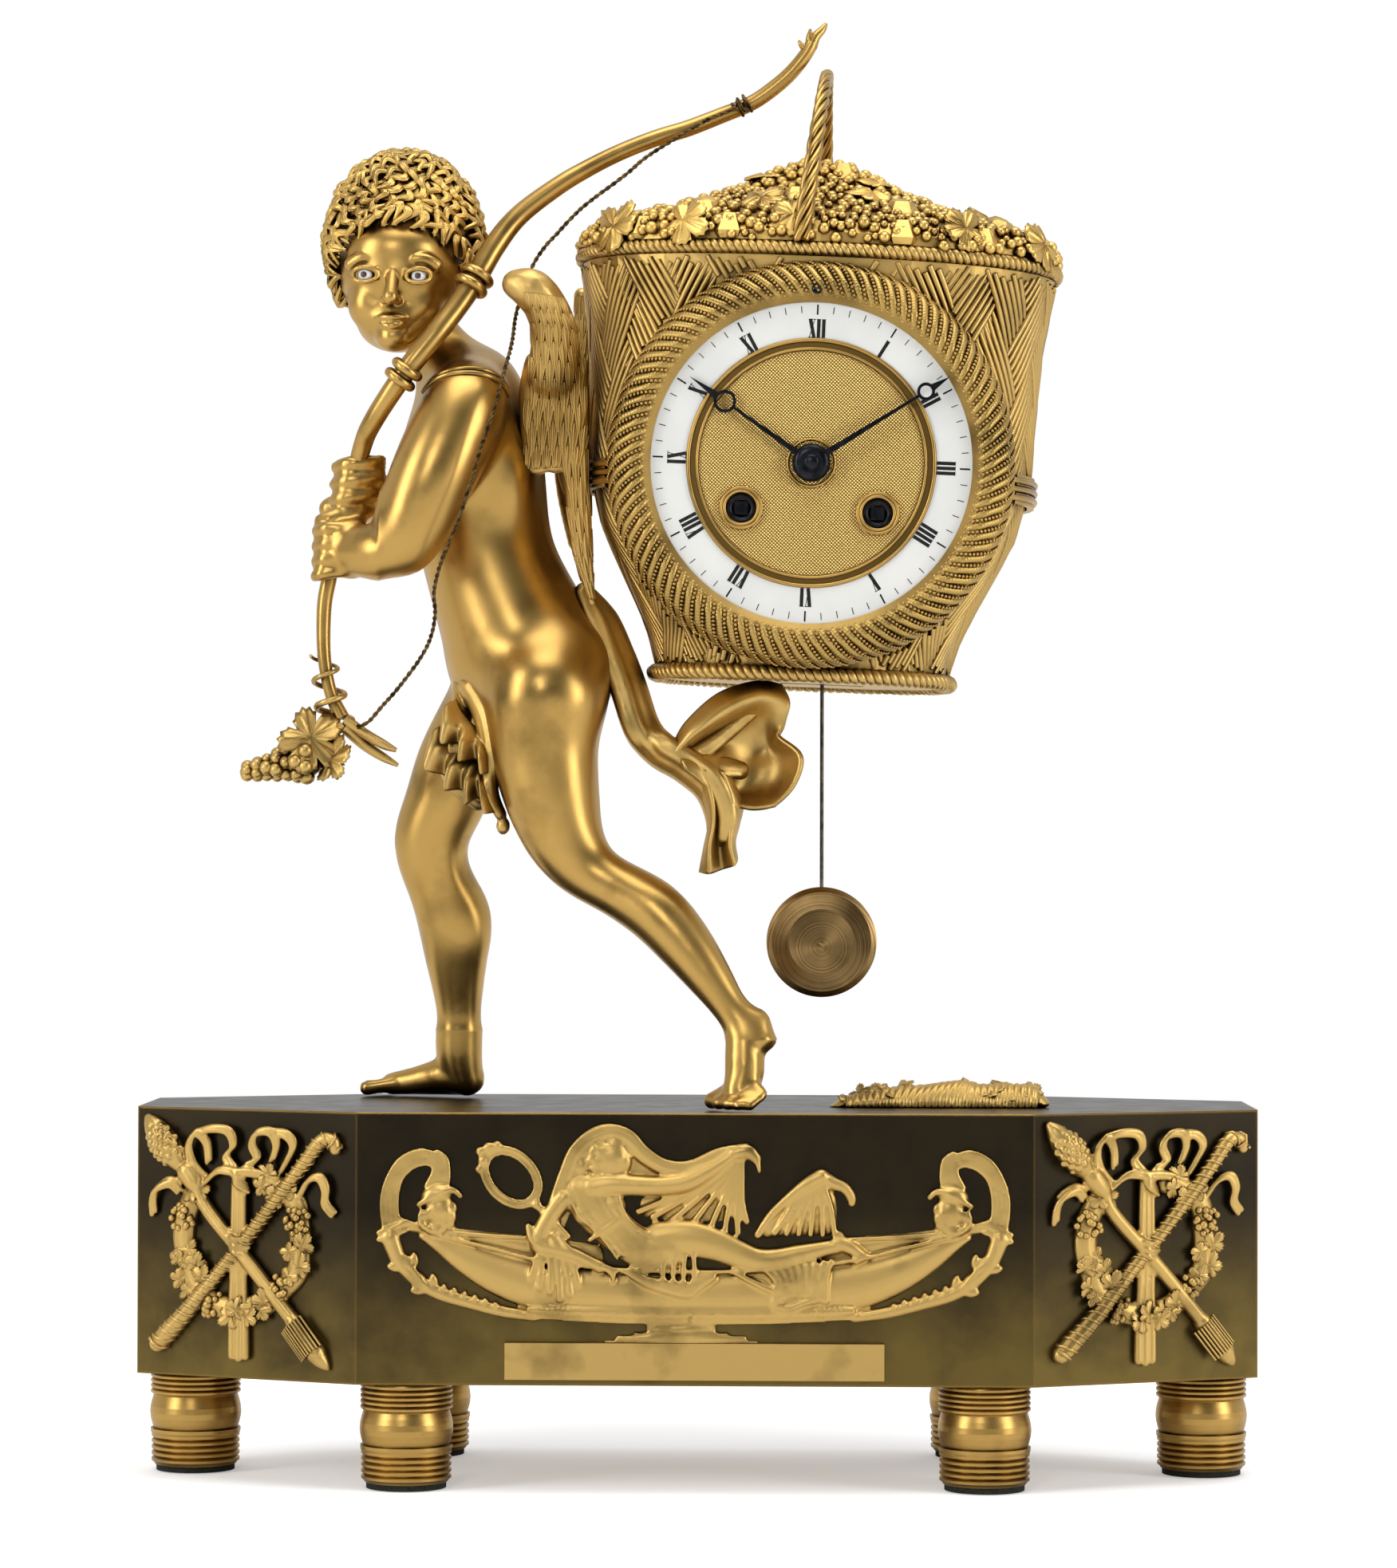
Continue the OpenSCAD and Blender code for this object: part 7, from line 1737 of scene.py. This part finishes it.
rng = random.Random(8)
sprig = bmesh.new()
for x, y, h, size in [(46.5, -19, 2.6, 3.4), (50, -17, 4.4, 3.8), (53.5, -20, 3.8, 3.6), (56, -16, 6, 3.8),
                      (60, -19.4, 5, 3.8), (63.5, -15.6, 6.8, 3.6), (85, -17, 6.9, 3.6), (90, -19.5, 5.6, 4),
                      (94.5, -16, 7.2, 4), (98.5, -19.6, 5.4, 3.8), (103, -17, 6.4, 3.8)]:
    place = (Matrix.Translation(Vector((x, y, TOP + h)) * MM) @ Matrix.Rotation(radians(rng.uniform(15, 50)), 4, "X")
             @ Matrix.Rotation(radians(rng.uniform(-25, 25)), 4, "Y"))
    lay_leaf(sprig, size, place, rng)
finish_piece("leaf_mount_leaves", sprig, "case", matte_gilt, "gilt")

# Eyes. White enamelled balls set into the head, each with a small brown iris fired on its front.
dress("figure_eyes", enamel)
# Brown enamel with darker flecks, under the same hard gloss as the white.
iris_enamel = mottled("fired_brown_enamel", 2500.0, 2.0, [(0.35, "2A120C"), (0.65, "54291A")],
                      {"Roughness": 0.15, "Coat Weight": 0.4})
irises = bmesh.new()
for x, y, z in EYES:
    toward = Vector((-0.16 if x < -95 else -0.06, -1, -0.02)).normalized()
    disc = bmesh.ops.create_cone(irises, cap_ends=True, segments=32, radius1=1 * MM, radius2=0.8 * MM,
                                 depth=0.4 * MM)["verts"]
    bmesh.ops.transform(irises, verts=disc, matrix=Matrix.Translation((Vector((x, y, z + TOP)) + toward * 2.2) * MM)
                        @ toward.to_track_quat("Z", "X").to_matrix().to_4x4())
finish_piece("eye_irises", irises, "case", iris_enamel, "enamel")

# Movement. A round clock movement of brushed brass plates and cut wheels, pillars turned between
# the plates, steel anchor and winding squares, and a bell turned from bell metal.


def brushed(name, light, deep, rough, along, spot=(0, 0, 0), pitch_mm=0.35):
    """Brass worked in one direction: straight along an axis, or in rings round an axis along Y."""
    material, tree, out = new_material(name)
    place = add(tree, "TexCoord")
    centred = add(tree, "Mapping", {"Vector": place.outputs["Object"], "Location": tuple(-s * MM for s in spot)})
    if along == "RINGS":
        plan = add(tree, "VectorMath", {0: centred.outputs["Vector"], 1: (1, 0, 1)}, operation="MULTIPLY")
        reach = add(tree, "VectorMath", {0: plan.outputs["Vector"]}, operation="LENGTH")
        lines = add(tree, "TexNoise", {"W": reach.outputs["Value"], "Scale": 1000 / pitch_mm, "Detail": 3.0},
                    noise_dimensions="1D")
    else:
        stretch = add(tree, "Mapping", {"Vector": centred.outputs["Vector"], "Scale": (0.02, 1, 1)})
        lines = add(tree, "TexNoise", {"Vector": stretch.outputs["Vector"], "Scale": 1000 / pitch_mm, "Detail": 3.0})
    stain = add(tree, "TexNoise", {"Vector": place.outputs["Object"], "Scale": 70.0, "Detail": 4.0})
    both = add(tree, "Math", {0: lines.outputs["Fac"], 1: stain.outputs["Fac"]}, operation="ADD")
    lay = {}
    if along == "RINGS":
        turned_way = add(tree, "VectorMath", {0: plan.outputs["Vector"], 1: (0, 1, 0)}, operation="CROSS_PRODUCT")
        lay = {"Anisotropic": 0.85, "Tangent": add(tree, "VectorMath", {0: turned_way.outputs["Vector"]},
                                                   operation="NORMALIZE").outputs["Vector"]}
    shade = ramp(tree, add(tree, "Math", {0: both.outputs["Value"], 1: 0.5}, operation="MULTIPLY").outputs["Value"],
                 [(0.36, deep), (0.62, light)])
    cut = add(tree, "Bump", {"Height": lines.outputs["Fac"], "Strength": 0.25, "Distance": 0.0001})
    metal = add(tree, "BsdfPrincipled", {"Base Color": shade, "Metallic": 1.0, "Roughness": rough,
                                                   "Normal": cut.outputs["Normal"], **lay})
    tree.links.new(metal.outputs["BSDF"], out.inputs["Surface"])
    return material


plate_brass = brushed("straight_grained_brass", "C9A562", "8F6E37", 0.32, "LINES")
wheel_brass = brushed("turned_brass", "D2AE68", "94733B", 0.28, "RINGS", DIAL_AT)
bell_metal = brushed("turned_bell_metal", "C2A877", "84704A", 0.26, "RINGS", DIAL_AT)
for node in ("plinth_base_plate", "dial_plate", "movement_frame", "rear_door"):
    dress(node, plate_brass)
for node in ("centre_arbor", "minute_wheel", "hour_wheel", "escape_wheel", "going_barrel", "strike_barrel",
             "count_wheel"):
    dress(node, wheel_brass)
dress("bell", bell_metal)
dress("rear_bezel", burnished)

# Pendulum. A steel rod and a brass bob turned as a lens, dull and brown with age, with turning
# rings round a plain middle.
bob_brass = brushed("aged_turned_brass", "9C7F52", "5E4A2E", 0.36, "RINGS", (38.5, 0, 163.4), 0.5)
dress("pendulum_bob", bob_brass)
dress("pendulum_rod", steel)

size = open("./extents.json", "w")
size.write('{"cad": %s, "visual": %s}\n' % (
    [list(cad_low), list(cad_high)], [list(c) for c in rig.bounds()]))
size.close()
